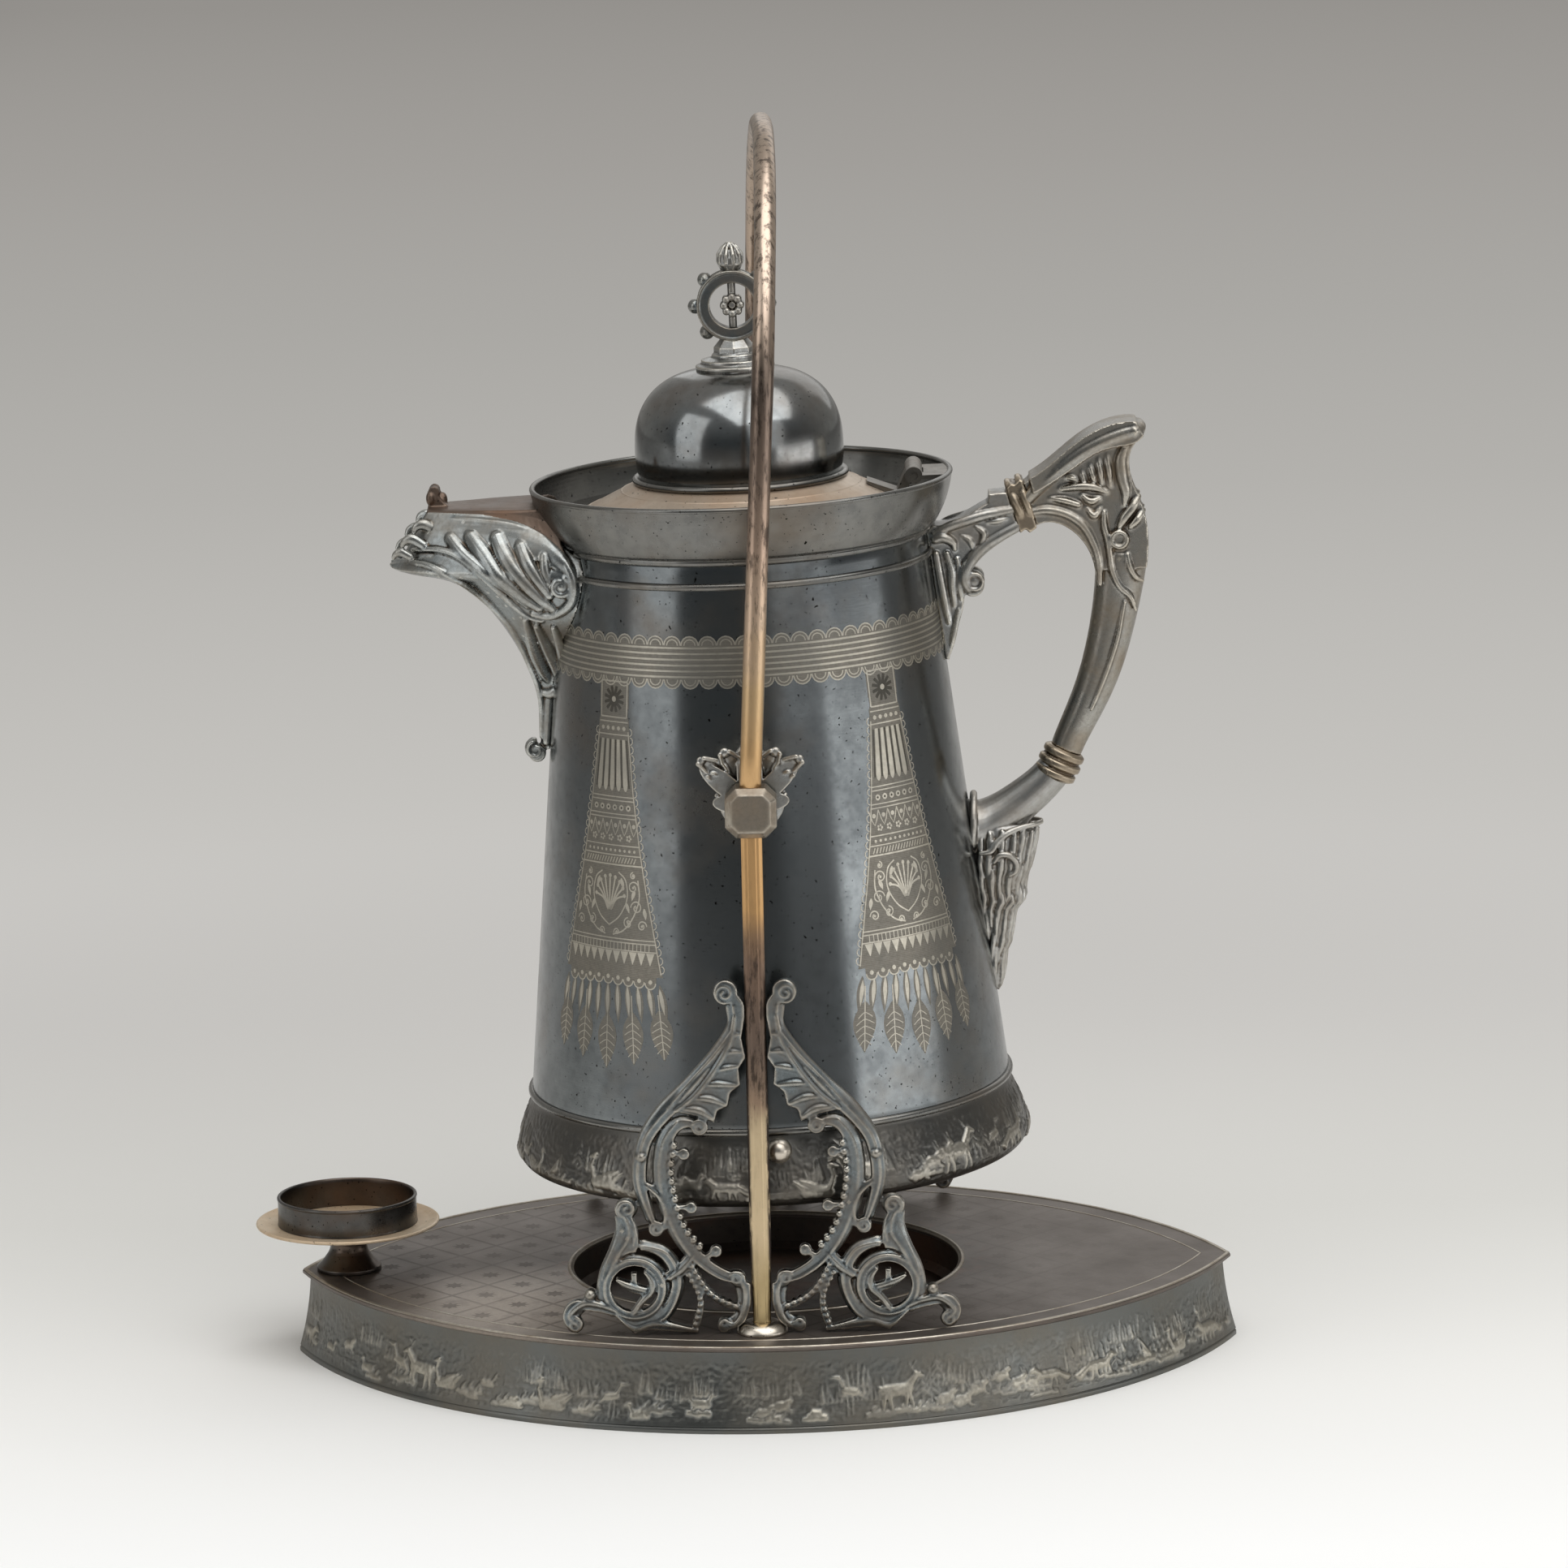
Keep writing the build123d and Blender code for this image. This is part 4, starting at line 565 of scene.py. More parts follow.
worn_brass = worn_bar("worn_brass")
print("Worn brass")

# %% [markdown]
# The tray's top is flat plate with an engraved lattice: diamond cells 27.4 mm by 31 mm, each with a
# small eight-pointed star at its middle. Water has eaten it away round the well and towards the
# handle's end, and the whole is dusty brown grey. The lattice is worked out from the place of each
# point, so its lines stay sharp at any distance: a cell is a unit square in the sum and difference
# of the two scaled coordinates.

# %% Lattice plate
CELL_X, CELL_Y = 27.4, 31.0
CELL_SHIFT_X, CELL_SHIFT_Y = 1.5, -1.0
STAR_REACH, STAR_POINTED = 4.6, 2.4
BORDER = 11.2


def lattice_plate(name):
    material, tree, shader, place = new_finish(name)
    x_place = add(tree, "SeparateXYZ", {0: place}, "X")
    across = add(tree, "Math", {0: x_place, 1: 1 / (CELL_X * MM), 2: CELL_SHIFT_X / CELL_X},
                 operation="MULTIPLY_ADD")
    deep = add(tree, "Math", {0: x_place.node.outputs["Y"], 1: 1 / (CELL_Y * MM), 2: CELL_SHIFT_Y / CELL_Y},
               operation="MULTIPLY_ADD")
    spot = []
    for operation in ("ADD", "SUBTRACT"):
        share = add(tree, "Math", {0: across, 1: deep}, operation=operation)
        share = add(tree, "Math", {0: share}, operation="FRACT")
        spot.append(add(tree, "Math", {0: share, 1: 0.5}, operation="SUBTRACT"))
    reach = [add(tree, "Math", {0: s}, operation="ABSOLUTE") for s in spot]
    edge = add(tree, "Math", {0: reach[0], 1: reach[1]}, operation="MAXIMUM")
    line = add(tree, "MapRange", {0: edge, 1: 0.455, 2: 0.472})
    # Inside a cell, x and y in millimetres from its middle, folded to one eighth of the star
    folded = []
    for operation, size in (("ADD", CELL_X), ("SUBTRACT", CELL_Y)):
        both = add(tree, "Math", {0: spot[0], 1: spot[1]}, operation=operation)
        scaled = add(tree, "Math", {0: both, 1: size / 2}, operation="MULTIPLY")
        folded.append(add(tree, "Math", {0: scaled}, operation="ABSOLUTE"))
    big = add(tree, "Math", {0: folded[0], 1: folded[1]}, operation="MAXIMUM")
    small = add(tree, "Math", {0: folded[0], 1: folded[1]}, operation="MINIMUM")
    upright = add(tree, "Math", {0: small, 1: STAR_POINTED, 2: big}, operation="MULTIPLY_ADD")
    turned = []
    for operation in ("ADD", "SUBTRACT"):
        both = add(tree, "Math", {0: big, 1: small}, operation=operation)
        turned.append(add(tree, "Math", {0: both, 1: math.sqrt(0.5)}, operation="MULTIPLY"))
    diagonal = add(tree, "Math", {0: turned[1], 1: STAR_POINTED, 2: turned[0]}, operation="MULTIPLY_ADD")
    nearest = add(tree, "Math", {0: upright, 1: diagonal}, operation="MINIMUM")
    star = add(tree, "MapRange", {0: nearest, 1: STAR_REACH + 0.3, 2: STAR_REACH - 0.3})
    faint_line = add(tree, "Math", {0: line, 1: 0.7}, operation="MULTIPLY")
    cuts = add(tree, "Math", {0: star, 1: faint_line}, operation="MAXIMUM")
    # The engraving fades near the well and towards the tip on the handle's side
    length = add(tree, "VectorMath", {0: place}, "Value", operation="LENGTH")
    near_well = add(tree, "MapRange", {0: length, 1: 0.084, 2: 0.096})
    to_right = add(tree, "MapRange", {0: x_place, 1: 0.020, 2: 0.140, 3: 1.0, 4: 0.12})
    eaten = add(tree, "MapRange", {0: clouded(tree, place, 24, 0.36, 0.62, seed=12.0), 3: 1.0, 4: 0.6})
    kept = add(tree, "Math", {0: near_well, 1: to_right}, operation="MULTIPLY")
    kept = add(tree, "Math", {0: kept, 1: eaten}, operation="MULTIPLY")
    # Plain border inside the edge: both arcs are circles about known centres
    border = []
    for side in (-1, 1):
        shifted = add(tree, "VectorMath", {0: place, 1: (0, side * ARC_CENTRE * MM, 0)}, operation="SUBTRACT")
        flat = add(tree, "VectorMath", {0: shifted, 1: (1, 1, 0)}, operation="MULTIPLY")
        border.append(add(tree, "VectorMath", {0: flat}, "Value", operation="LENGTH"))
    rim = add(tree, "Math", {0: border[0], 1: border[1]}, operation="MAXIMUM")
    edge = (ARC_RADIUS - BORDER) * MM
    inside = add(tree, "MapRange", {0: rim, 1: edge - 0.4 * MM, 2: edge, 3: 1.0, 4: 0.0})
    rule = add(tree, "Math", {0: rim, 1: edge, 2: 0.5 * MM}, operation="COMPARE")
    mask = add(tree, "Math", {0: cuts, 1: inside}, operation="MULTIPLY")
    mask = add(tree, "Math", {0: mask, 1: kept}, operation="MULTIPLY")
    faint_rule = add(tree, "Math", {0: rule, 1: 0.5}, operation="MULTIPLY")
    mask = add(tree, "Math", {0: mask, 1: faint_rule}, operation="MAXIMUM")
    dust = clouded(tree, place, 40, 0.36, 0.66, seed=2.5)
    stain = clouded(tree, place, 9, 0.52, 0.72, seed=5.5, detail=6.0)
    speck = clouded(tree, place, 1.4, 0.40, 0.72, seed=6.5, detail=4.0)
    # A pale patch at the front left of the top is a painted sheen, painted light; rust creeps out of the well
    from_spot = add(tree, "VectorMath", {0: place, 1: (-0.092, -0.066, 0.034)}, operation="SUBTRACT")
    from_spot = add(tree, "VectorMath", {0: from_spot}, "Value", operation="LENGTH")
    painted_sheen = add(tree, "MapRange", {0: from_spot, 1: 0.020, 2: 0.070, 3: 0.8, 4: 0.0})
    rust = add(tree, "MapRange", {0: length, 1: 0.080, 2: 0.098, 3: 0.75, 4: 0.0})
    rust = add(tree, "Math", {0: rust, 1: stain}, operation="MULTIPLY")
    colour = filmed(tree, linear("#696059"), (
        # The pale colour here is the painted sheen at the front left
        (dust, 1, "#574f48"), (painted_sheen, 1, "#aea295"), (stain, 0.5, "#5c5049"), (rust, 1, "#8a5a3c"),
        (mask, 0.72, "#4a423c"), (speck, 0.22, "#4b443e")))
    matt = add(tree, "MapRange", {0: dust, 3: 0.34, 4: 0.44})
    rough = add(tree, "Math", {0: mask, 1: 0.10, 2: matt}, operation="MULTIPLY_ADD")
    relief = add(tree, "Math", {0: speck, 1: 0.3}, operation="MULTIPLY")
    relief = add(tree, "Math", {0: relief, 1: mask}, operation="SUBTRACT")
    bump = add(tree, "Bump", {"Height": relief, "Strength": 0.5, "Distance": 0.1 * MM})
    fill(shader, {"Base Color": colour, "Roughness": rough, "Normal": bump, "Metallic": 0.62})
    return material


tray_plate = lattice_plate("lattice_tray_plate")
print("Lattice plate, cell", CELL_X, "by", CELL_Y, "mm")

# %% [markdown]
# Plainer finishes: dust over plate on the goblet disc, a brown film on the spout cover, a brown stain
# with painted shade in the well and on the pitcher's bottom, the bare grey liner of white metal, turned
# steel for pins and nuts, and the rubbed buttons. To the eye the dusty ones are matt and warm, because
# dust scatters light over the metal.

# %% Dusty plate, white metal and steel
dusty_plate = tarnished_plate("dusty_tan_plate", "#d6c4ab", "#b8a68c", "#b99974", 0.40, 0.52, 0.40, 0.6)
cover_plate = tarnished_plate("brown_cover_plate", "#6f6258", "#594e46", "#6e5340", 0.34, 0.42, 0.42, 0.2)
# Well and pitcher's bottom: a brown stain, darkened further as painted shade of the recess under the pitcher
well_stain_and_shade = tarnished_plate("well_stain_and_painted_shade", "#554d45", "#3b3530", "#6a4630", 0.40, 0.56, 0.42, 0.3)
white_metal = tarnished_plate("white_metal", "#aeb0ae", "#8b8d8c", "#8a8274", 0.34, 0.52, 0.55)
turned_steel = tarnished_plate("turned_steel", "#97938c", "#6d6861", "#7b6350", 0.28, 0.45, 0.5)
button_plate = tarnished_plate("rubbed_button_plate", "#dcd3c6", "#b6ad9f", "#a3937d", 0.22, 0.38, 0.5)
print("Plain finishes")

# %% [markdown]
# ## The room
# The camera stands where the photograph's did: about 2.84 m away with a long lens, 11 degrees above
# the horizon and turned a little. Its place was worked out from the tray's points, the hoop and the
# goblet disc. One matrix holds it: look along the table, lift, step back and roll.

# %% Camera
IMAGE_SIDE = 1932.0
FOCAL_PIXELS = 8744.8
CAMERA_AIM = (0.01143, 0, 0.23057)
CAMERA_BACK = 2.83856
CAMERA_TURN, CAMERA_DOWN, CAMERA_ROLL = 0.0145, 0.1905, -0.0216
camera_data = bpy.data.cameras.new("camera")
camera_data.sensor_width = 36.0
camera_data.lens = FOCAL_PIXELS / IMAGE_SIDE * camera_data.sensor_width
camera_data.clip_end = 60.0
camera = in_scene("camera", camera_data)
camera.matrix_world = (Matrix.Rotation(CAMERA_TURN, 4, "Z") @ Matrix.Translation(CAMERA_AIM)
                       @ Matrix.Rotation(math.pi / 2 - CAMERA_DOWN, 4, "X")
                       @ Matrix.Translation((0, 0, CAMERA_BACK)) @ Matrix.Rotation(CAMERA_ROLL, 4, "Z"))
bpy.context.scene.camera = camera
print("Lens", round(camera_data.lens, 1), "mm at", [round(v, 3) for v in camera.matrix_world.translation])

# %% [markdown]
# The photograph's ground is a paper sweep that the light leaves white in front and grey behind. That
# fall of light is painted into the paper's colour here, as painted light and shade. Here it is one wide
# flat floor. Near the object it is plain paper that takes shadows over that painted fall. Further off it
# shows its painted tone to the camera and to reflections whatever light falls there, so no wall is
# needed and the views from the side and the back stay clean.

# %% Floor
# Distance behind the object in metres, and the paper's colour there, which is painted light and shade:
# the fall from white to grey, and the darker paper far in front, are painted into it
FLOOR_PAINTED_LIGHT = ((-5.0, "#6f6d6a"), (-3.0, "#817f7c"), (-1.6, "#a8a6a3"), (-0.9, "#d2d0cd"),
               (-0.45, "#f4f4f3"), (-0.31, "#f7f7f6"), (-0.06, "#ecebe8"), (0.20, "#dbdad6"),
               (0.60, "#cfcdca"), (1.19, "#c4c2be"), (2.34, "#b3b1ad"), (3.29, "#aaa8a4"),
               (4.65, "#a19e9a"), (6.80, "#94918d"))
FLOOR_RADIUS = 30.0


def paper_floor():
    material = bpy.data.materials.new("paper_sweep")
    material.use_nodes = True
    tree = material.node_tree
    tree.nodes.remove(tree.nodes["Principled BSDF"])
    place = add(tree, "TexCoord", out="Object")
    deep = add(tree, "SeparateXYZ", {0: place}, "Y")
    along = add(tree, "MapRange", {0: deep, 1: FLOOR_PAINTED_LIGHT[0][0], 2: FLOOR_PAINTED_LIGHT[-1][0]})
    tones = add(tree, "ValToRGB", {0: along})
    set_stops(tones.node.color_ramp, FLOOR_PAINTED_LIGHT)
    grain = add(tree, "TexNoise", {"Vector": place, "Scale": scale_for(1.2), "Detail": 3.0})
    bump = add(tree, "Bump", {"Height": grain, "Strength": 0.05, "Distance": 0.1 * MM})
    # Painted shade: the paper darkens to both sides, outside the picture
    aside = add(tree, "Math", {0: deep.node.outputs["X"]}, operation="ABSOLUTE")
    painted_side_shade = add(tree, "MapRange", {0: aside, 1: 0.9, 2: 2.2, 3: 0.0, 4: 0.62}, interpolation_type="SMOOTHSTEP")
    colour = filmed(tree, tones, ((painted_side_shade, 1, "#5f5d5b"),))
    lit = add(tree, "BsdfDiffuse", {"Color": colour, "Normal": bump})
    # The far paper glows with this painted light and shade, for the camera and for reflections
    shown = add(tree, "Emission", {"Color": colour, "Strength": 1.0})
    away = add(tree, "VectorMath", {0: place}, "Value", operation="LENGTH")
    far = add(tree, "MapRange", {0: away, 1: 0.50, 2: 1.10}, interpolation_type="SMOOTHSTEP")
    path = tree.nodes.new("ShaderNodeLightPath").outputs
    seen = add(tree, "Math", {0: path["Is Camera Ray"], 1: path["Is Glossy Ray"]}, operation="MAXIMUM")
    seen = add(tree, "Math", {0: seen, 1: path["Is Transmission Ray"]}, operation="MAXIMUM")
    share = add(tree, "Math", {0: seen, 1: far}, operation="MULTIPLY")
    fill(tree.nodes["Material Output"], {"Surface": add(tree, "MixShader", {0: share, 1: lit, 2: shown})})
    return material


SIDES = 96
angles = np.arange(SIDES) * 2 * math.pi / SIDES
rings = np.vstack([round_axis(r, 0, angles) for r in (0.6, 2.5, FLOOR_RADIUS)])
floor_mesh = bpy.data.meshes.new("paper_floor")
floor_mesh.from_pydata(rings.tolist(), [], [list(range(SIDES)), *grid_faces(3, SIDES, False, True).tolist()])
floor_mesh.materials.append(paper_floor())
floor = in_scene("paper_floor", floor_mesh)
print("Floor", 2 * FLOOR_RADIUS, "m across")

# %% [markdown]
# A polished cone is a mirror, so what it shows is the room. A point on it turned by an angle shows
# what stands at twice that angle. The photograph has a dark band left of the middle, so the room is
# dark there, at the camera, with one tall soft light to the left of it and a weaker one to the right.
# A wide light overhead, a little to the right and in front, lights the floor and throws the soft
# shadow to the left. Each light is given the brightness of its face, and its power follows from its
# size.

# %% Lights
def soft_light(name, azimuth, distance, height, wide, tall, brightness, aim_height=0.22):
    """A flat panel that stands at an azimuth from the front and faces the object."""
    data = bpy.data.lights.new(name, "AREA")
    data.shape = "RECTANGLE"
    data.size, data.size_y = wide, tall
    data.energy = brightness * math.pi * wide * tall
    light = in_scene(name, data)
    turn = math.radians(azimuth)
    light.location = (distance * math.sin(turn), -distance * math.cos(turn), height)
    aim = Vector((0, 0, aim_height)) - light.location
    light.rotation_euler = aim.to_track_quat("-Z", "Y").to_euler()
    light.visible_camera = False
    print(name, "brightness", brightness, "power", round(data.energy, 1), "W")
    return light


soft_light("left_panel", -57, 1.9, 0.95, 1.15, 1.9, 1.05)
soft_light("right_panel", 33, 2.3, 1.20, 1.75, 1.9, 0.68)
soft_light("low_window", 66, 2.0, 0.17, 1.7, 0.34, 2.2, 0.13)
soft_light("top_panel", 35, 0.75, 2.2, 2.6, 2.6, 2.02)
soft_light("back_panel", 165, 2.2, 1.3, 2.2, 1.2, 0.55)

world = bpy.data.worlds.new("dim_room")
bpy.context.scene.world = world
world.use_nodes = True
sky = world.node_tree
direction = add(sky, "SeparateXYZ", {0: add(sky, "TexCoord", out="Generated")}, "Y")
to_back = add(sky, "MapRange", {0: direction, 1: -0.55, 2: 0.65}, interpolation_type="SMOOTHSTEP")
upwards = add(sky, "MapRange", {0: direction.node.outputs["Z"], 1: 0.15, 2: 0.9, 3: 0.0, 4: 0.6})
room = filmed(sky, linear("#54585a"), ((to_back, 1, "#9a9894"), (upwards, 1, "#c9c8c6")))
fill(sky.nodes["Background"], {"Color": room, "Strength": 1.0})

bpy.context.scene.view_settings.view_transform = "Standard"
print("Room lit")

# %% [markdown]
# ## Pieces that keep their CAD shape
# The flat top, the well, the liner and the small fasteners are right as they are. They stay CAD
# nodes, and only get their finish.

# %% Finishes on CAD nodes
kept = {
    tray_plate: ("base_top_plate",),
    well_stain_and_shade: ("drip_well", "pitcher_bottom"),
    gallery_plate: ("mouth_ring",),
    white_metal: ("inner_liner", "spout_throat", "spout_strainer"),
    turned_steel: ("trunnion_front", "trunnion_rear", "hinge_pin", "hoop_nuts", "goblet_nut", "finial_nut",
                   "hinge_fixed_leaf", "hinge_lid_leaf"),
}
for finish, nodes in kept.items():
    for node in nodes:
        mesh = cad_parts[node].data
        for number in range(max(1, len(mesh.materials))):
            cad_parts[node].material_slots[number].material = finish
print("Kept", sum(len(nodes) for nodes in kept.values()), "CAD nodes")

# %% [markdown]
# ## Turned work
# The cone, the gallery and the lid were spun over a chuck from flat sheet, and the beads were rolled.
# Each is an outline of radius and height, with its corners eased, spun about the pitcher's axis and
# then leaned. Long straight runs get extra points, so that the shading stays true to the cone.

# %% Spinning a piece
def evened(outline, longest):
    """The outline with extra points on its long runs."""
    points = np.asarray(outline, float)
    run = []
    for here, there in zip(points, np.roll(points, -1, 0)):
        count = max(1, int(np.ceil(np.linalg.norm(there - here) / longest)))
        run += [here + (there - here) * k / count for k in range(count)]
    return np.array(run)


def turned(name, outline, body, material, slot, nodes, ease=0.4, segments=224, centre=None):
    """A spun piece, on the pitcher's leaning axis or upright over a centre on the tray."""
    points, faces = spun(evened(rounded(outline, ease), 3.0), segments)
    points = lean(points) if centre is None else points + np.array([centre, 0, 0])
    return piece(name, (points, faces), body, material, slot, nodes)


turned("pitcher_cone", [(94.9, 111.05), (96.1, 111.05), (72.8, 330.95), (71.6, 330.95)],
       "pitcher", polished_plate, "silver_plate", ["pitcher_body"], 0.3, 256)
root = cone_radius(321.6) + 0.02
turned("neck_bead", [(root - 0.2, 321.5), *arc((root, 321.5), (root + 1.5, 323.0), (root - 0.3, 324.5), 8),
                     (root - 0.5, 324.5)], "pitcher", gallery_plate, "silver_plate", ["neck_moulding"], 0.1)
turned("foot_bead", [(95.9, 109.4), *arc((96.2, 109.4), (97.7, 110.9), (95.9, 112.5), 8)],
       "pitcher", gallery_plate, "silver_plate", ["foot_bead_ring"], 0.1)
print("Cone, neck bead and foot bead spun")

# %% [markdown]
# The gallery starts on a small round step over the neck, flares as a thin wall, and ends in a rolled
# edge.

# %% Gallery with its rolled rim
outside = arc((73.6, 331.0), (80.64, 342.37), (83.6, 353.0), 16)
inside = arc((82.2, 353.2), (79.3, 342.4), (72.4, 332.2), 14)
roll = [(82.95 + 1.15 * math.cos(t), 354.2 + 1.15 * math.sin(t))
        for t in np.radians(np.linspace(-50, 200, 12))]
step = arc((73.0, 331.0), (74.7, 332.0), (74.6, 333.4), 5)
turned("gallery", [(71.7, 331.0), *step, *outside[3:-1], *roll, *inside, (71.7, 332.2)],
       "pitcher", gallery_plate, "silver_plate", ["gallery_rim"], 0.15, 256)
print("Gallery", len(outside) + len(roll) + len(inside), "points round its outline")

# %% [markdown]
# The lid is three spinnings: a low cone with two fine lines near its edge, a dome with nearly upright
# sides, and a bright bead where they meet.

# %% Lid
def flange_top(r):
    """Height of the lid cone at a radius."""
    return 344.0 + 0.4846 * (64.0 - r)


lines = []
for r in (62.4, 61.2, 47.6):
    lines += [(r + 0.35, flange_top(r + 0.35)), (r, flange_top(r) + 0.28), (r - 0.35, flange_top(r - 0.35))]
under = [(36.3, flange_top(36.3) - 1.3), (55.2, flange_top(55.2) - 1.3), (55.2, 337.8), (56.2, 337.8),
         (56.2, flange_top(56.2) - 1.3), (62.4, 342.8)]
turned("lid_cone", [*under, (64.0, 342.8), (64.0, 344.0), *lines, (36.3, flange_top(36.3))],
       "lid", lid_plate, "silver_plate", ["lid_flange"], 0.12, 256)
skin = curve_through([(40.1, 356.3), (41.2, 362.0), (41.4, 369.0), (40.6, 377.0), (38.1, 384.2),
                      (33.4, 390.6), (26.5, 395.4), (18.0, 398.1), (9.0, 398.9), (0.02, 399.0)], 5)
inner_skin = skin[::-1] * [0.974, 1] - [0, 0.9]
points, faces = spun(np.vstack([skin, inner_skin]), 256)
piece("lid_dome_spun", (lean(points), faces), "lid", dome_plate, "silver_plate", ["lid_dome"])
turned("dome_foot_bead", [(40.0, 355.6), (41.5, 355.0), *arc((42.6, 355.0), (43.0, 356.2), (41.4, 357.3), 7),
                          (40.2, 357.0)], "lid", gallery_plate, "silver_plate", ["dome_bead"], 0.1)
print("Lid spun, dome", round(skin[:, 0].max() * 2, 1), "mm across")

# %% [markdown]
# The goblet holder is a black ring on a dished tan disc, on a spool. The edge of the disc is beaded
# over, and the ring has a thin rolled lip.

# %% Goblet holder
turned("goblet_spool", [(2.9, 32.0), (3.0, 34.1), (13.0, 34.1), *arc((13.0, 35.6), (11.2, 37.3),
                                                                     (9.8, 39.0), 5),
                        *arc((8.4, 41.0), (7.4, 45.0), (8.6, 48.4), 6), (9.6, 48.9), (9.6, 49.6),
                        (12.0, 51.9), (2.9, 51.9)], "stand", goblet_black, "silver_plate",
       ["goblet_pedestal"], 0.3, 96, GOBLET_X)
turned("goblet_dish", [(0.05, 52.05), (30.0, 52.05), (33.6, 52.3),
                       *arc((36.4, 53.1), (37.1, 53.9), (36.2, 54.5), 5), (33.0, 53.7), (29.4, 53.4),
                       (0.05, 53.4)], "stand", dusty_plate, "tray_plate", ["goblet_disc"], 0.25, 160,
       GOBLET_X)
turned("goblet_ring_band", [(26.7, 53.5), (28.3, 53.5), (28.1, 54.3), (28.0, 63.6),
                            *arc((28.3, 64.0), (27.6, 65.05), (26.8, 64.2), 6), (26.7, 63.4)],
       "stand", goblet_black, "tray_plate", ["goblet_ring"], 0.15, 160, GOBLET_X)
print("Goblet ring", 2 * 26.7, "mm inside")

# %% [markdown]
# ## The hoop
# The uprights are flat brass bars with a raised band down the middle of each broad side. The bail
# is a plain round bar bent over a former. Both are an outline carried along a line of places.

# %% Uprights and bail
def banded_section(width, depth, z):
    """Section of an upright: bevelled corners and a raised band on its two broad sides."""
    w, d = width / 2, depth / 2
    half = [(-w, 0), (-w, -d + 1.5), (-w + 1.3, -d + 0.45), (-1.75, -d + 0.30), (-1.45, -d + 0.02),
            (1.45, -d + 0.02), (1.75, -d + 0.30), (w - 1.3, -d + 0.45), (w, -d + 1.5)]
    flat = rounded(half + [(-x, -y) for x, y in half], 0.22, 2)
    return np.column_stack([flat, np.full(len(flat), z)])


for side, node in ((-1, "upright_front"), (1, "upright_rear")):
    levels = [(33.0, 6.6), (34.4, 6.6), (51.0, 7.4), (68.2, 8.2), (110.0, 8.3), (150.0, 8.2), (190.0, 8.2),
              (231.0, 8.2)]
    sections = [banded_section(width, 7.0, z) + [0, side * HOOP_REACH, 0] for z, width in levels]
    piece(node + "_bar", bar_of(sections), "stand", worn_brass, "worn_brass", [node])


def bent_path(corners, radius, steps=28):
    """A line through corners, bent round each on one radius."""
    corners = [np.asarray(c, float) for c in corners]
    path = [corners[0]]
    for before, here, after in zip(corners[:-2], corners[1:-1], corners[2:]):
        back, on = before - here, after - here
        back, on = back / np.linalg.norm(back), on / np.linalg.norm(on)
        half = math.acos(float(back @ on)) / 2
        middle = (back + on) / np.linalg.norm(back + on)
        centre = here + middle * radius / math.sin(half)
        start, end = here + back * radius / math.tan(half), here + on * radius / math.tan(half)
        for t in np.linspace(0, 1, steps):
            spoke = (start - centre) * (1 - t) + (end - centre) * t
            path.append(centre + spoke * radius / np.linalg.norm(spoke))
    return np.array(path + [corners[-1]])


BAIL_CORNERS = [(0, -HOOP_REACH, 250.9), (12.7, -HOOP_REACH, 494), (3.6, HOOP_REACH, 494),
                (0, HOOP_REACH, 250.9)]
bent = bent_path(BAIL_CORNERS, 100.0)
front_leg = [bent[0] + (bent[1] - bent[0]) * t for t in np.linspace(0, 1, 12)[:-1]]
rear_leg = [bent[-2] + (bent[-1] - bent[-2]) * t for t in np.linspace(0, 1, 12)[1:]]
bail_path = np.vstack([front_leg, bent[1:-1], rear_leg])
bail_radii = 4.24 + 0.05 * np.sin(np.linspace(0, 40, len(bail_path)))
piece("bail_bar", tube(bail_path, bail_radii, 1.0, (1, 0, 0), 32), "stand", worn_brass, "worn_brass",
      ["bail"])
print("Hoop bar", len(bail_path), "places long")

# %% [markdown]
# ## Castings
# The brackets, the spout and the handle were cast in white metal from carved patterns. The CAD
# solids hold their outline and thickness. Here the carving is laid over them as tapered strokes and
# balls, and the whole is melted to one skin of small voxels and smoothed a little. That gives the
# soft edges and filled hollows of a real casting.

# %% Strokes on a flat face
def strokes_in_plane(curves, faces_y, squash=0.75, steps=7):
    """Raised strokes on flat faces that look along Y: each is a list of x, z and radius."""
    bits = []
    for run in curves:
        smooth = curve_through(run, steps)
        for y in faces_y:
            bits.append(tube(upright_at(y, smooth), np.maximum(smooth[:, 2], 0.2), squash, (0, 1, 0), 10))
    return bits


def balls_in_plane(spots, faces_y, squash=0.8):
    """Domed spots on flat faces that look along Y: each is x, z and radius."""
    return [ball((x, y, z), r, (1, squash, 1)) for x, z, r in spots for y in faces_y]


def beads_along(run, radius, pitch):
    """Spots spaced evenly along a curve."""
    smooth = curve_through(run, 12)
    length = lengths_along(smooth)
    at = np.arange(0, length[-1], pitch)
    return [(np.interp(s, length, smooth[:, 0]), np.interp(s, length, smooth[:, 1]), radius) for s in at]


def with_radii(points, low, high, end=0.5):
    """Gives a run of places a radius that swells in the middle and tapers at both ends."""
    t = np.linspace(0, 1, len(points))
    radii = low + (high - low) * np.sin(np.pi * t) ** end
    return np.column_stack([points, radii])


print("Stroke, bead and spot makers ready")

# %% [markdown]
# One bracket has a wing of acanthus with lobes between two rims, a C-scroll with a raised outer edge
# and a leafy inner one, a ring with a small winged scroll, beaded tendrils and a foot that ends in a
# curl. Broad rounded ribbons run along the main scrolls, with a volute at each end. The same carving
# is on its front and its back, and the four brackets are mirror images.

# %% Bracket carving
BRACKET_FOOT = TRAY_TOP + 0.05
BRACKET_MIDDLE, BRACKET_FACES = 109.3, (111.2, 107.4)
RING_PLACE = (49.4, 18.8)


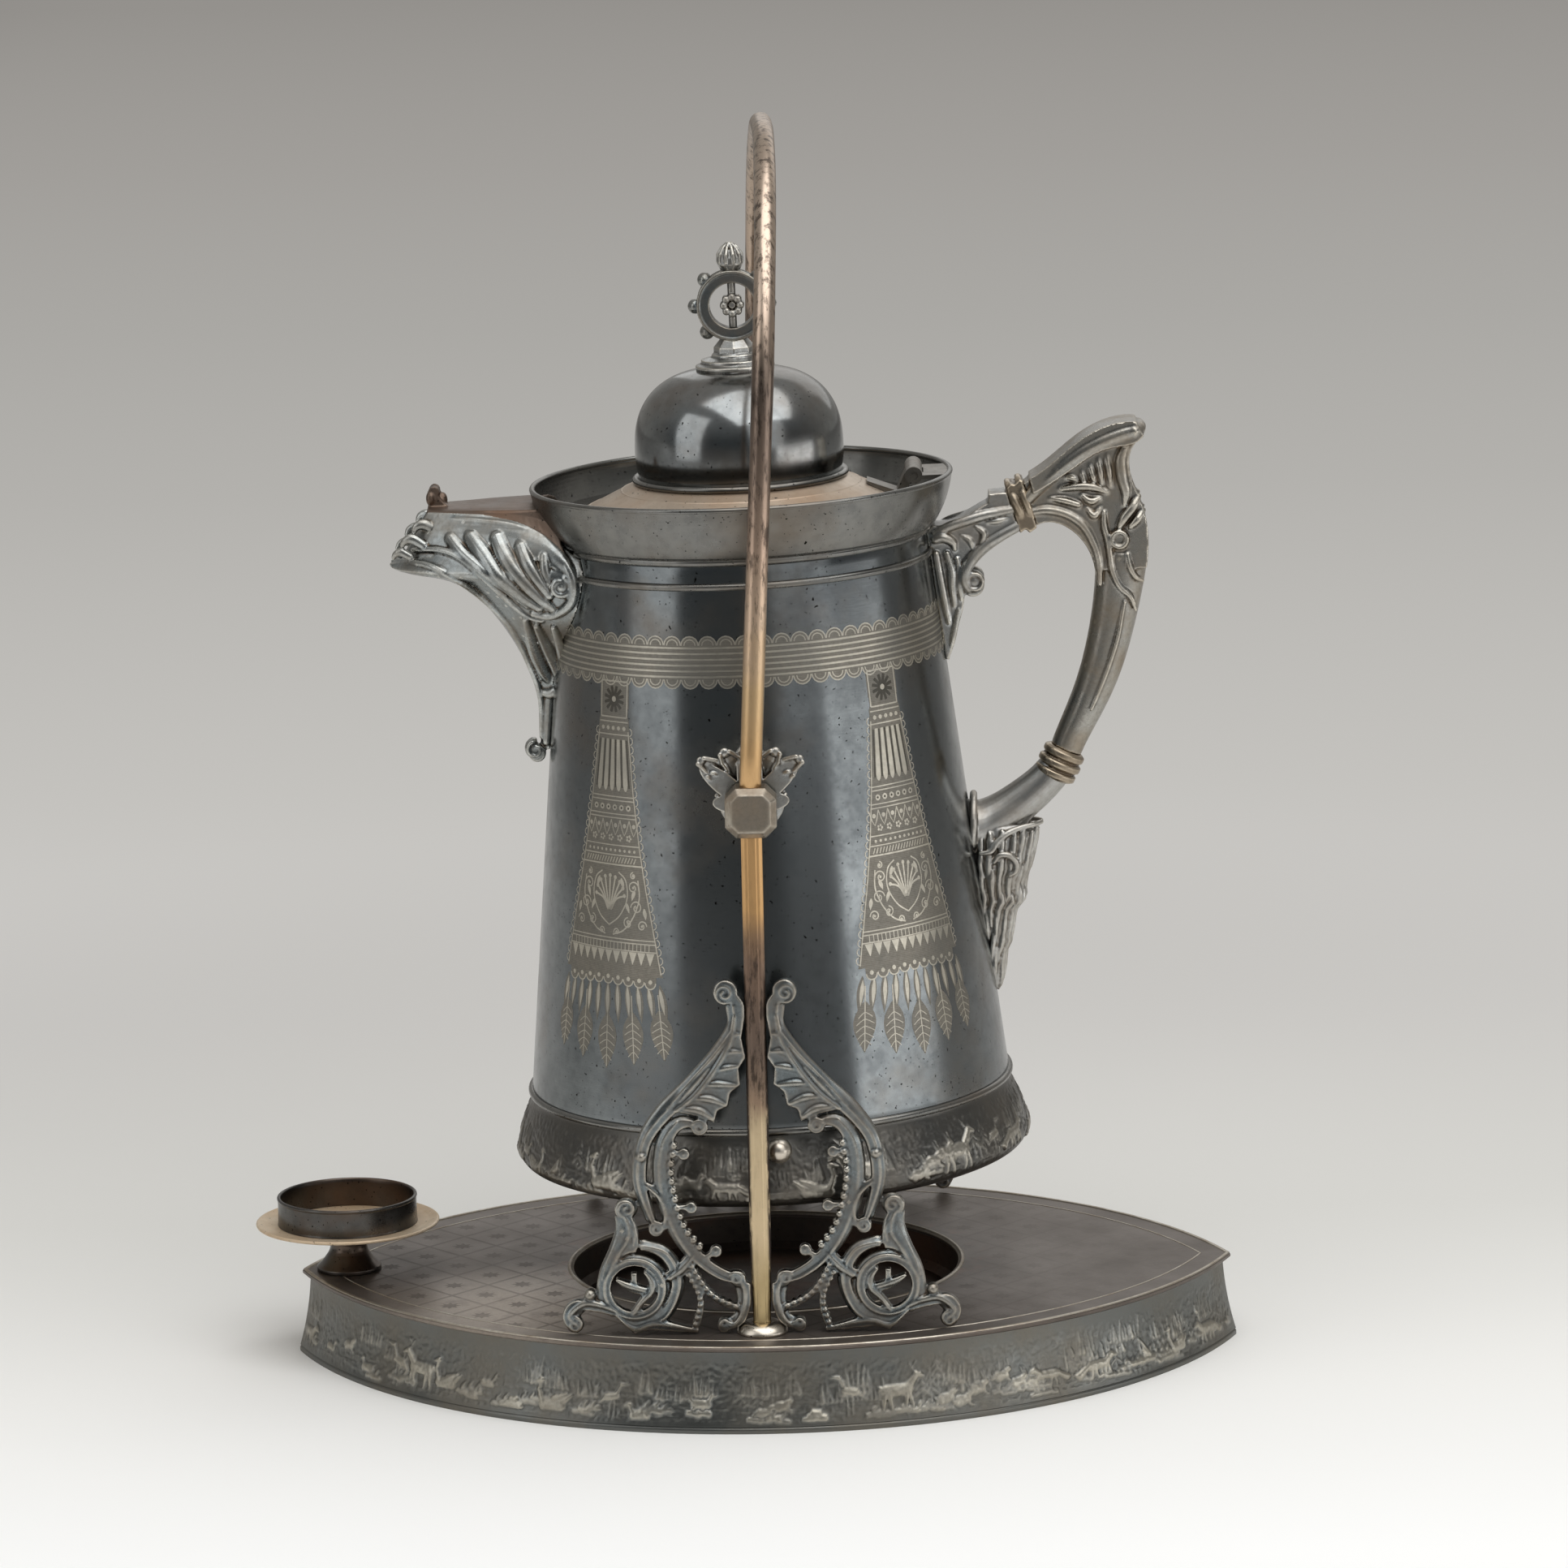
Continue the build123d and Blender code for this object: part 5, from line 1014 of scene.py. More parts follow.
def bracket_carving():
    """Strokes and spots in the bracket's plane: outwards from the upright, upwards from the tray."""
    strokes = [
        with_radii([(8.4, 131), (8.4, 123), (14.6, 113.4), (24.0, 103.0), (35.2, 90.6)], 0.55, 0.8),
        with_radii([(31.8, 89.6), (24, 96.0), (16.0, 106.0), (10.0, 117.0), (8.0, 127)], 0.9, 1.25),
        with_radii([(29.0, 90.5), (22.6, 89.6), (17.6, 86.4)], 0.8, 1.5),
        with_radii([(25.0, 94.6), (18.6, 94.2), (12.6, 91.8)], 0.8, 1.5),
        with_radii([(20.6, 99.8), (14.8, 100.0), (8.4, 99.4)], 0.8, 1.45),
        with_radii([(16.6, 105.2), (12.0, 106.4), (7.2, 107.0)], 0.7, 1.3),
        with_radii([(13.0, 111.4), (9.6, 112.8), (5.8, 112.6)], 0.6, 1.15),
        with_radii([(10.4, 117.6), (8.0, 119.6), (6.0, 119.6)], 0.5, 0.95),
        with_radii([(30.0, 93.6), (24.4, 99.8), (18.4, 106.8)], 0.5, 1.1),
        with_radii([(31.2, 85.4), (36.6, 78.0), (38.6, 66.0), (37.0, 53.0), (32.4, 40.0), (25.0, 29.4),
                    (16.6, 23.0), (9.6, 20.6)], 0.55, 0.85, 0.3),
        with_radii([(32.6, 92.4), (39.4, 85.4), (44.8, 77.0), (47.0, 62.0), (42.2, 46.0)], 0.5, 0.75, 0.3),
        with_radii([(44.0, 60.2), (38.6, 55.2), (36.4, 49.0), (37.4, 44.2)], 0.5, 1.1),
        with_radii([(55.0, 50.6), (51.6, 46.0), (51.2, 40.0), (55.0, 33.4), (59.6, 24.6)], 0.6, 1.2),
        with_radii([(53.4, 48.6), (49.0, 42.0), (49.4, 36.0)], 0.5, 0.9),
        with_radii([(46.6, 36.0), (36.4, 32.6), (31.8, 21.0), (36.6, 8.2), (45.6, 3.8)], 0.5, 0.8),
        with_radii([(50.2, 8.4), (46.6, 13.6), (42.8, 17.6), (42.6, 21.8), (45.2, 25.4)], 0.7, 1.3),
        with_radii([(56.4, 22.6), (51.4, 20.0), (44.0, 17.6)], 0.6, 1.3),
        with_radii([(36.0, 22.6), (30.8, 26.4), (26.4, 31.6)], 0.9, 1.5),
        with_radii([(56.6, 10.0), (63.0, 12.6), (69.6, 13.2), (75.0, 8.4), (71.6, 4.0)], 0.8, 1.3),
        with_radii([(25.0, 1.8), (41.0, 4.6), (50.0, 2.8), (57.0, 8.4)], 0.6, 1.0),
        with_radii([(8.2, 22.4), (6.2, 16.6), (7.2, 9.0), (10.4, 4.0), (14.6, 2.8)], 0.6, 1.1),
    ]
    strokes += [with_radii(circle(*RING_PLACE, 11.7, 25), 0.75, 0.75),
                with_radii(circle(*RING_PLACE, 9.6, 25), 0.5, 0.5)]
    spots = [(45.6, 71.4, 1.9), (66.8, 16.6, 1.9)]
    spots += beads_along([(27.0, 27.6), (19.6, 16.4), (9.4, 10.8)], 1.15, 2.7)
    spots += beads_along([(28.2, 24.0), (24.2, 14.0), (26.4, 3.4)], 1.1, 2.6)
    spots += beads_along([(32.6, 75.8), (34.0, 66.0), (32.6, 54.0), (28.6, 42.0), (21.4, 32.4)], 1.35, 3.6)
    return strokes, spots


# Broad ribbons of the main scrolls, and volutes at their ends: place, radius, first angle
RIBBONS = [[(9.4, 131.0, 2.2), (9.0, 122.6, 2.4), (16.0, 111.6, 2.6), (26.0, 100.2, 2.9),
            (36.6, 89.4, 3.2), (44.0, 77.6, 3.2), (46.4, 62.0, 3.0), (42.4, 46.6, 2.4)],
           [(24.6, 84.6, 2.2), (31.0, 84.4, 3.0), (36.2, 77.4, 3.5), (38.0, 66.0, 3.6), (36.4, 53.0, 3.6),
            (31.8, 40.6, 3.5), (24.4, 30.6, 3.2), (16.0, 24.2, 2.7), (10.4, 22.4, 2.2)],
           [(54.0, 48.0, 2.6), (53.0, 41.6, 3.6), (56.0, 33.6, 3.4), (60.4, 25.0, 2.8), (61.6, 16.0, 2.6),
            (57.6, 9.0, 2.4)], [(46.0, 36.4, 2.2), (37.0, 32.4, 2.8), (32.4, 21.4, 3.0), (36.8, 9.0, 2.6),
                                (44.0, 4.4, 2.2)], [(57.4, 9.6, 2.0), (63.4, 12.4, 2.6),
                                                    (69.6, 12.4, 2.7), (73.6, 8.4, 2.4)],
           [(9.0, 20.4, 1.8), (7.6, 14.0, 2.2), (8.6, 7.6, 2.1), (12.4, 4.4, 1.9)],]
VOLUTES = ((11.8, 136.0, 4.6, -90), (22.8, 83.2, 3.3, 20), (9.8, 22.4, 3.3, 30), (40.2, 43.0, 3.2, 60),
           (51.6, 51.0, 4.4, -80), (73.0, 4.8, 3.7, 80), (14.4, 4.2, 2.9, 170))
BOSSES = ((29.0, 72.3), (26.6, 50.8), (17.4, 33.2))
strokes, spots = bracket_carving()
bands = [curve_through(run, 5) for run in RIBBONS] + [with_radii(circle(*RING_PLACE, 11.4, 33), 2.5, 2.5)]
for side_x, side_y, node in ((-1, -1, "bracket_front_spout_side"), (1, -1, "bracket_front_handle_side"),
                             (-1, 1, "bracket_rear_spout_side"), (1, 1, "bracket_rear_handle_side")):
    place = np.array([side_x, 1, 1])
    foot = np.array([0, BRACKET_FOOT, 0])
    faces_y = [side_y * y for y in BRACKET_FACES]
    placed = [np.asarray(run) * place + foot for run in strokes]
    domes = [(side_x * x, z + BRACKET_FOOT, r) for x, z, r in spots]
    bits = [ball((side_x * x, side_y * BRACKET_MIDDLE, z + BRACKET_FOOT), 2.3) for x, z in BOSSES]
    for run in bands:
        bits.append(tube(upright_at(side_y * BRACKET_MIDDLE, run * place + foot), run[:, 2], 0.66,
                         (0, 1, 0), 14))
    for x, z, radius, first in VOLUTES:
        middle = (side_x * x, side_y * BRACKET_MIDDLE, z + BRACKET_FOOT)
        bits.append(ball(middle, radius, (1, 2.1 / radius, 1)))
        wound = curl((x, z), radius - 0.7, first, 1.4, 0.25) * place[:2] + foot[:2]
        bits += [tube(upright_at(y, wound), 0.75, 0.8, (0, 1, 0), 8) for y in faces_y]
    carving = [*strokes_in_plane(placed, faces_y), *balls_in_plane(domes, faces_y), *bits]
    casting(node + "_carved", node, [frame_skin(node), *carving], "stand", bracket_cast, 0.5, 2)
print("Four brackets,", len(strokes), "strokes and", len(spots), "spots on each face")

# %% [markdown]
# The spout swells out of a leafy tail into a pouring lip. Each side carries a shell of curved lobes
# that fan from a volute, a smooth rim band, folds at the lip, and a long leaf below. A side wall closes
# each side of the trough, and each stroke on it is a line of places with a half width and a radius,
# drawn on both sides at once.

# %% Spout
# Upper edge of the side walls, and the line where they rise from the throat: x, half width, z
WALL_TOP = ((-124.3, 10, 348.3), (-119, 12.8, 348.2), (-113, 15, 348), (-107, 17, 347.8),
            (-101.8, 18.5, 347.6), (-93, 22, 346), (-85.9, 25.5, 344.2), (-79, 30, 340.9),
            (-73.5, 34, 336.5), (-69, 36.5, 331.9), (-67.1, 38, 324))
WALL_ROOT = ((-134.5, 8, 331.5), (-128, 14.5, 331), (-119, 20, 331), (-110, 24, 332), (-102, 27, 333),
             (-93, 30.5, 333), (-85, 33.5, 333), (-78, 35.5, 331), (-73, 37, 328), (-70, 37.6, 325),
             (-67.6, 38, 321))
COVER_TOP = 349.3


def side_wall(side):
    """Closed slab of a side wall between its root and its upper edge, swelling a little outwards."""
    top, root = curve_through(WALL_TOP, 3), curve_through(WALL_ROOT, 3)
    share = np.linspace(-0.12, 1, 8)[:, None, None]
    outer = root * (1 - share) + top * share
    outer[..., 1] += 1.2 * np.sin(np.pi * np.clip(share[..., 0], 0, 1))
    inner = outer.copy()
    inner[..., 1] -= 2.4
    grid = np.vstack([outer, inner[::-1]]) * (1, side, 1)
    rows, columns = grid.shape[:2]
    first, last = [r * columns for r in range(rows)], [r * columns + columns - 1 for r in range(rows)]
    faces = [*grid_faces(rows, columns, True, False).tolist(), first, last[::-1]]
    return lean(grid.reshape(-1, 3)), faces


def on_both_sides(run):
    """A stroke on both sides of a casting, from x, z, half width and radius."""
    smooth = curve_through(run, 7)
    for side in (-1, 1):
        path = smooth[:, [0, 2, 1]] * (1, side, 1)
        yield tube(lean(path), np.maximum(smooth[:, 3], 0.3), 0.85, (0, 1, 0), 12)


def shell_lobe(run, radius):
    """A lobe of the shell: broad and round under the rim, thin where it joins the volute."""
    profile = np.interp(np.linspace(0, 1, len(run)), (0, 0.25, 1), (0.92, 1.0, 0.5))
    return [(*place, radius * size) for place, size in zip(run, profile)]


lobes = [shell_lobe([(-115.4, 338.9, 18), (-109.9, 332.7, 25), (-101.4, 326.3, 32), (-92.6, 318.7, 31),
                     (-85.3, 311.9, 30)], 2.7), shell_lobe([(-107.1, 339.4, 21), (-102, 332.8, 28),
                                                            (-96, 324.7, 33), (-87.3, 316.2, 32),
                                                            (-80.6, 311.2, 32)], 3.5),
         shell_lobe([(-96.5, 339.2, 25), (-93, 331.8, 31), (-87, 323.4, 34.4), (-80, 315.5, 35),
                     (-75.5, 311, 34)], 3.5), shell_lobe([(-87, 336.2, 30), (-84.6, 330.2, 34),
                                                          (-80.4, 323, 36.6), (-76.4, 316.4, 36.4)], 3.2),
         shell_lobe([(-77.6, 332.6, 34), (-77.6, 327.6, 36), (-76.6, 321.6, 37)], 2.5),]
rim_band = [(-126.5, 341.5, 11, 1.2), (-120.2, 344.6, 11, 1.9), (-112, 345, 15.6, 2.0),
            (-102.6, 344.3, 19.4, 2.1), (-90.9, 342.9, 23.6, 2.1), (-79.2, 339.1, 29, 2.1),
            (-73.1, 334.4, 33, 2.1), (-69.2, 328.6, 36.6, 2.1), (-66.9, 322.5, 38, 2.0),
            (-67.3, 316.1, 37.6, 1.9), (-70.4, 311.2, 36, 1.8), (-76.9, 307.9, 32.4, 1.7),
            (-83.9, 308.9, 30, 1.3)]
second_band = [(-131, 333.7, 12, 1.0), (-120.3, 334.5, 19.6, 1.4), (-111.6, 332, 25.4, 1.5),
               (-102.3, 324.7, 31.6, 1.5), (-92.3, 313.3, 28, 1.4), (-85.7, 307.5, 27.4, 1.2),
               (-80.4, 305.6, 29, 0.9)]
keel_edge = [(-140.2, 326.9, 4, 1.0), (-126.9, 329.1, 19, 1.3), (-115.1, 324.3, 26, 1.4),
             (-103.7, 313.7, 18, 1.4), (-93.7, 300.9, 14, 1.3), (-87.2, 283.2, 5.6, 1.3),
             (-84.1, 270.6, 3.6, 1.2), (-84.3, 254.4, 2, 1.2)]
VOLUTE_EYE = (-71.9, 320.2)
volute_run = curl(VOLUTE_EYE, 4.2, 60, -1.3, 0.3)
volute = [(*place, 37.6, r) for place, r in zip(volute_run, np.linspace(1.5, 1.2, 22))]
leaf = [[(-87.0, 306.4, 27, 1.4), (-84.8, 292.7, 16, 2.8), (-81.8, 281.9, 8, 2.5),
         (-79.7, 275.7, 4, 1.0)], [(-82.9, 303.6, 28, 1.3), (-79.4, 293, 17.6, 2.7),
                                   (-76.6, 283, 10, 2.5), (-75.4, 274.8, 6.6, 1.0)],
        [(-76.2, 303.0, 29.6, 1.1), (-73.9, 293.6, 22, 2.3), (-73.6, 285.2, 14, 2.0),
         (-75.2, 279.0, 9.4, 0.9)], [(-89.4, 300.6, 17, 0.6), (-86.2, 289.0, 9, 1.0),
                                     (-83.2, 278.0, 5, 0.6)]]
stem = [(-79.8, 275.9, 3.4, 1.9), (-81.1, 266.7, 3, 1.8), (-82, 258.5, 2.6, 1.7), (-82.8, 252.1, 2.2, 1.6)]
knot = [(-76.4, 274.6, 6.4, 1.9), (-79.4, 272.4, 5.4, 2.2), (-82.6, 272.6, 4.2, 1.6)]
# Folds of the lip
waves = [[(-121.0, 340.4, 12.6, 1.8), (-125.4, 343.6, 13.0, 2.3), (-128.6, 343.2, 13.4, 1.8),
          (-130.0, 341.0, 13.4, 1.1)], [(-126.0, 335.6, 15.4, 1.8), (-130.4, 338.4, 15.0, 2.2),
                                        (-133.4, 337.8, 14.6, 1.7), (-134.8, 335.8, 14.0, 1.0)],
         [(-131.6, 331.2, 14.4, 1.6), (-135.2, 333.2, 13.6, 1.8), (-137.6, 332.4, 13.0, 1.4),
          (-138.8, 330.6, 12.0, 0.9)]]
shell = [side_wall(-1), side_wall(1)]
for run in (*waves, *lobes, rim_band, second_band, keel_edge, volute, *leaf, stem, knot):
    shell += on_both_sides(run)
for side in (-1, 1):
    shell.append(ball(lean((VOLUTE_EYE[0], side * 37.6, VOLUTE_EYE[1])), 1.7, (1, 0.8, 1.2)))
tail = curl((-87.3, 249.2), 3.5, 100, 1.15, 0.25)
shell.append(tube(lean(upright_at(0, tail)), np.linspace(1.5, 1.1, len(tail)), 2.4, (0, 1, 0), 12))
casting("spout_cast", "spout", [frame_skin("spout"), *shell], "pitcher", spout_cast, 0.45, 2)
print("Spout of", len(shell), "strokes and slabs")

# %% [markdown]
# A soldered sheet covers the spout from wall to wall. It is flat but for its edges, which bend down
# to the side walls. Its back follows the round of the gallery, and a small bud of leaves sits over the
# lip.

# %% Spout cover
wall_x, wall_y, wall_z = np.array(WALL_TOP).T
across = np.linspace(-1, 1, 17)
# Its back edge runs just under the flare of the gallery; the loop finds where it meets the walls
x_back = np.full(17, -82.0)
for _ in range(8):
    x_back = -np.sqrt((80.8 - 2.8 * across**2) ** 2 - (across * np.interp(x_back, wall_x, wall_y)) ** 2)
share = np.linspace(0, 1, 22)[:, None]
x = -124.6 * (1 - share) + x_back * share
crown = across**6
z = np.interp(x, wall_x, wall_z) * crown + COVER_TOP * (1 - crown)
top = np.stack([x, across * np.interp(x, wall_x, wall_y), z], axis=-1)
sheet = np.vstack([top, (top - (0, 0, 1.7))[::-1]])
rows, columns = sheet.shape[:2]
ends = [[r * columns for r in range(rows)], [r * columns + columns - 1 for r in range(rows)][::-1]]
cover = lean(sheet.reshape(-1, 3)), [*grid_faces(rows, columns, True, False).tolist(), *ends]
BUD = ((-121.6, 0, 354.2, 3.0), (-123.2, -3.4, 352.6, 2.4), (-123.2, 3.4, 352.6, 2.4),
       (-118.6, 0, 351.4, 2.4))
bud = [ball(lean((x, y, z)), r, (0.8, 1.0, 1.3)) for x, y, z, r in BUD]
casting("spout_cover_cast", "spout_cover", [frame_skin("spout_cover"), cover, *bud], "pitcher", cover_plate,
        0.45, 3, "silver_plate")
print("Spout with", len(lobes), "lobes on each side, and its cover")

# %% [markdown]
# The handle is five castings. Its carving is laid on both sides: leaves and a volute where it leaves
# the cone, a double band, a web with reeds under the thumb rest, a strap that crosses the shoulder
# with a ringed boss, three rings at the foot of the shaft, and a drop of plumes. Each stroke is a run
# of places with its distance from the middle plane and its radius, so one list serves both sides.

# %% Upper bracket and band of the handle
def ringed_boss(x, z, ball_y, ball_radius, squash, ring_radius, wire):
    """A domed boss with a ring of wire round it, on both sides of the handle."""
    for side in (-1, 1):
        yield ball(lean((x, side * ball_y, z)), ball_radius, (1, squash, 1))
        ring = upright_at(side * 8.2, circle(x, z, ring_radius, 19))
        yield tube(lean(ring), wire, 1.0, (0, 1, 0), 8)


upper_bracket = [
    [(113.3, 333.6, 6.4, 1.8), (108.7, 331.0, 6.8, 2.1), (101.9, 327.6, 6.8, 2.2), (95.9, 324.2, 6.8, 2.2),
     (90.6, 319.4, 7.4, 2.3), (87.6, 314.9, 7.8, 2.3), (86.8, 310.4, 7.8, 2.1), (88.4, 306.8, 7.6, 1.7)],
    [(75.4, 329.0, 7.2, 1.7), (81.5, 332.4, 7.6, 2.0), (88.2, 334.4, 7.8, 2.0), (95.0, 336.2, 7.8, 1.9),
     (102.4, 337.4, 7.4, 1.8), (109.5, 338.4, 7.0, 1.4)],
    [(75.6, 327.4, 8.2, 1.5), (79.1, 328.2, 8.4, 1.9), (82.7, 326.2, 8.2, 1.5), (83.6, 323.2, 7.8, 0.8)],
    [(76.0, 321.9, 8.0, 1.3), (77.0, 313.7, 7.8, 1.5), (78.5, 303.1, 7.7, 1.4), (80.0, 293.8, 7.5, 0.9)],
    [(80.3, 321.8, 8.0, 1.1), (81.8, 315.0, 7.8, 1.5), (81.9, 308.2, 7.7, 1.4), (82.4, 300.4, 7.4, 0.8)],
    [(84.2, 319.4, 7.6, 0.9), (84.9, 313.3, 7.4, 1.4), (84.7, 308.1, 7.6, 1.3), (85.4, 302.6, 7.3, 0.8)],
    [(83.9, 299.0, 7.2, 1.0), (81.6, 288.7, 7.2, 1.2), (79.6, 281.4, 6.8, 0.7)],
    [(92.0, 331.9, 7.4, 0.7), (95.2, 329.1, 7.8, 1.2), (94.1, 325.3, 7.6, 0.8)],
    [(97.1, 333.3, 7.4, 0.7), (100.8, 333.7, 7.6, 1.1), (105.2, 334.6, 7.2, 0.6)],
    [(86.0, 328.6, 7.2, 0.7), (89.6, 326.4, 7.6, 1.2), (90.8, 322.6, 7.4, 0.7)],
]
carved = [bit for run in upper_bracket for bit in on_both_sides(run)]
carved += ringed_boss(90.7, 309.9, 5.4, 4.2, 0.8, 3.2, 0.9)
casting("upper_bracket_cast", "handle_upper_bracket", [frame_skin("handle_upper_bracket"), *carved],
        "pitcher", cast_silver, 0.45, 2)
band_rings = [[(105.4, 348.4, 0.5, 1.3), (105.7, 347.2, 5.5, 1.4), (107.8, 342.0, 8.2, 1.7),
               (110.0, 336.4, 8.0, 1.5), (111.4, 331.9, 5.5, 1.2), (111.8, 330.8, 0.5, 1.1)],
              [(109.5, 350.2, 0.5, 1.3), (109.9, 348.8, 5.5, 1.4), (111.8, 343.0, 8.2, 1.7),
               (113.6, 337.0, 8.0, 1.5), (114.8, 332.5, 5.5, 1.2), (115.0, 331.6, 0.5, 1.0)]]
carved = [bit for run in band_rings for bit in on_both_sides(run)]
casting("arm_band_cast", "handle_arm_band", [frame_skin("handle_arm_band"), *carved], "pitcher", rubbed_cast,
        0.45, 2)
print("Upper bracket with", len(upper_bracket), "strokes on each side")

# %% [markdown]
# The grip has most of the carving, with a ringed boss of its own, and a short roll closes the end of
# the thumb rest. The collar keeps its CAD shape, melted and smoothed like the rest.

# %% Grip
grip_strokes = [
    # Thick rolled lip of the thumb rest, and the groove's lower edge under it
    [(111.7, 340.4, 7.6, 2.0), (116.8, 346.0, 8.4, 2.7), (122.9, 351.0, 8.8, 3.0), (128.9, 355.6, 9.0, 3.1),
     (136.5, 360.4, 9.2, 3.1), (144.0, 363.9, 9.4, 3.0), (151.4, 366.4, 9.4, 3.0), (156.2, 367.6, 9.2, 2.9)],
    # Web: reeds, a water line and rocks
    [(134.6, 353.0, 6.4, 0.7), (135.8, 348.0, 7.4, 1.0), (136.8, 345.4, 7.2, 0.5)],
    [(138.0, 355.0, 6.4, 0.8), (139.2, 350.0, 7.4, 1.1), (139.9, 346.6, 7.2, 0.5)],
    [(141.7, 357.0, 6.4, 0.9), (142.3, 351.4, 7.4, 1.2), (142.8, 346.5, 7.2, 0.6)],
    [(145.1, 358.4, 6.4, 0.9), (145.7, 352.0, 7.4, 1.2), (146.2, 345.6, 7.2, 0.6)],
    [(126.3, 345.2, 7.0, 0.9), (133.0, 346.0, 7.9, 1.5), (138.9, 345.6, 7.9, 1.5), (144.7, 343.2, 7.0, 0.8)],
    [(122.0, 341.6, 6.8, 0.8), (127.6, 340.6, 7.6, 1.3), (133.4, 338.6, 7.4, 1.1)],
    [(134.6, 342.4, 6.8, 0.9), (137.9, 340.0, 7.6, 1.5), (141.6, 340.9, 7.0, 0.9)],
    [(136.0, 337.6, 6.8, 0.8), (139.1, 334.0, 7.5, 1.3), (141.9, 337.0, 6.9, 0.7)],
    [(128.0, 350.0, 6.6, 0.6), (131.0, 349.4, 7.3, 1.0), (133.6, 348.0, 6.8, 0.5)],
    # Smooth concave border at the outer side, and the arch inside the shoulder
    [(153.0, 362.0, 6.8, 1.4), (150.6, 356.0, 7.2, 2.2), (150.8, 349.0, 7.2, 2.3), (152.0, 343.0, 7.2, 1.9),
     (151.4, 337.6, 7.0, 1.0)],
    [(113.6, 336.3, 6.6, 1.5), (120.8, 337.0, 6.8, 1.8), (128.1, 335.0, 6.8, 1.8), (134.2, 330.6, 6.8, 1.8),
     (138.0, 324.0, 6.8, 1.7), (140.2, 316.0, 6.8, 1.4), (140.4, 306.3, 6.8, 1.0)],
    # Strap that crosses to the boss and runs down in an S
    [(157.2, 341.0, 6.0, 1.2), (154.7, 337.0, 7.6, 1.7), (151.2, 332.8, 7.8, 1.7), (148.9, 329.2, 7.6, 1.1)],
    [(158.8, 335.4, 6.0, 1.1), (156.2, 331.8, 7.6, 1.5), (153.2, 328.8, 7.6, 1.0)],
    [(143.2, 335.4, 7.2, 0.8), (142.9, 330.2, 7.6, 1.3), (144.1, 324.2, 7.6, 1.3), (144.8, 317.2, 7.6, 1.2),
     (145.5, 311.6, 7.4, 1.2), (148.2, 305.1, 7.4, 1.2), (152.4, 300.6, 7.0, 1.1), (154.2, 295.0, 6.0, 0.7)],
    [(151.8, 318.0, 7.2, 0.8), (152.5, 312.9, 7.5, 1.2), (154.6, 308.7, 7.0, 1.1), (157.4, 306.9, 5.6, 0.9)],
    # One ridge down the shaft
    [(149.8, 299.0, 7.2, 0.5), (146.9, 285.9, 7.4, 0.9), (143.4, 275.5, 7.3, 0.9), (139.7, 266.4, 7.1, 0.8),
     (135.0, 256.0, 6.8, 0.5)],
]
carved = [bit for run in grip_strokes for bit in on_both_sides(run)]
carved += ringed_boss(148.7, 324.1, 6.2, 3.9, 0.45, 3.1, 0.95)
roll_end = [(156.4, -9.2, 367.4), (158.0, -6.0, 367.7), (158.4, 0, 367.8), (158.0, 6.0, 367.7),
            (156.4, 9.2, 367.4)]
carved.append(tube(lean(roll_end), 2.9, 1.0, (0, 0, 1), 12))
casting("grip_cast", "handle_grip", [frame_skin("handle_grip"), *carved], "pitcher", grip_cast, 0.5, 2)
casting("collar_cast", "handle_collar", [frame_skin("handle_collar")], "pitcher", rubbed_cast, 0.4, 2)
print("Grip with", len(grip_strokes), "strokes on each side, and its collar")

# %% [markdown]
# The lower mount is a gooseneck that leaves the cone behind a round flange, with a drop of plumes
# below it. The plumes hang free of each other at their tips, so they are set in eight tiers over a
# slim core instead of over the CAD solid, each with a length and a width of its own.

# %% Lower mount of the handle
def drop_half(z):
    """Half depth of the drop at a height."""
    return np.interp(z, (141.6, 150, 163, 181, 196, 209, 216), (2.6, 5.0, 7.6, 10.4, 12.0, 10.6, 6.0))


def drop_reach(z):
    """How far the drop stands out from the pitcher's axis at a height: it steps back as it falls."""
    return np.interp(z, (141.6, 146, 158, 163, 178.4, 179.6, 189, 192, 209),
                     (94.4, 96.6, 97.8, 100.4, 103.4, 106.4, 106.8, 109.0, 113.4))


TIERS = ((209.0, 19), (201.0, 19), (193.0, 18), (184.5, 17), (176.0, 14), (168.0, 11), (160.0, 9), (153.0, 6))
DROP_FOOT = 142.6
rng = np.random.default_rng(11)
plumes = []
for tier, (top, count) in enumerate(TIERS):
    for number in range(count):
        angle = math.radians(np.interp(number, (0, count - 1), (-68, 248))) + rng.uniform(-0.05, 0.05)
        start = top + rng.uniform(-2.0, 2.0)
        length = rng.uniform(11.0, 17.0)
        path = []
        for z in np.linspace(start, max(start - length, DROP_FOOT), 5):
            root, reach = cone_radius(z) - 5, drop_reach(z) - 1.2
            path.append(((reach + root) / 2 + (reach - root) / 2 * math.sin(angle),
                         (0.4 - drop_half(z)) * math.cos(angle), z))
        width = rng.uniform(1.2, 1.7) * (1.0 if tier < 4 else 0.8)
        plumes.append(tube(lean(path), np.array([0.6, 1.0, 0.95, 0.7, 0.3]) * width, 1.0, (0, 1, 0), 8))
turns = np.arange(32) * 2 * math.pi / 32
sections = []
for z in np.linspace(143.0, 215.0, 30):
    root, reach = cone_radius(z) - 4, drop_reach(z) - 1.6 - max(0, z - 206) * 0.9
    middle, half = (reach + root) / 2, max((reach - root) / 2, 1.5)
    x, y = middle + half * np.cos(turns), (drop_half(z) - 0.5) * np.sin(turns)
    sections.append(np.column_stack([x, y, np.full(32, z)]))
core, core_faces = bar_of(sections)
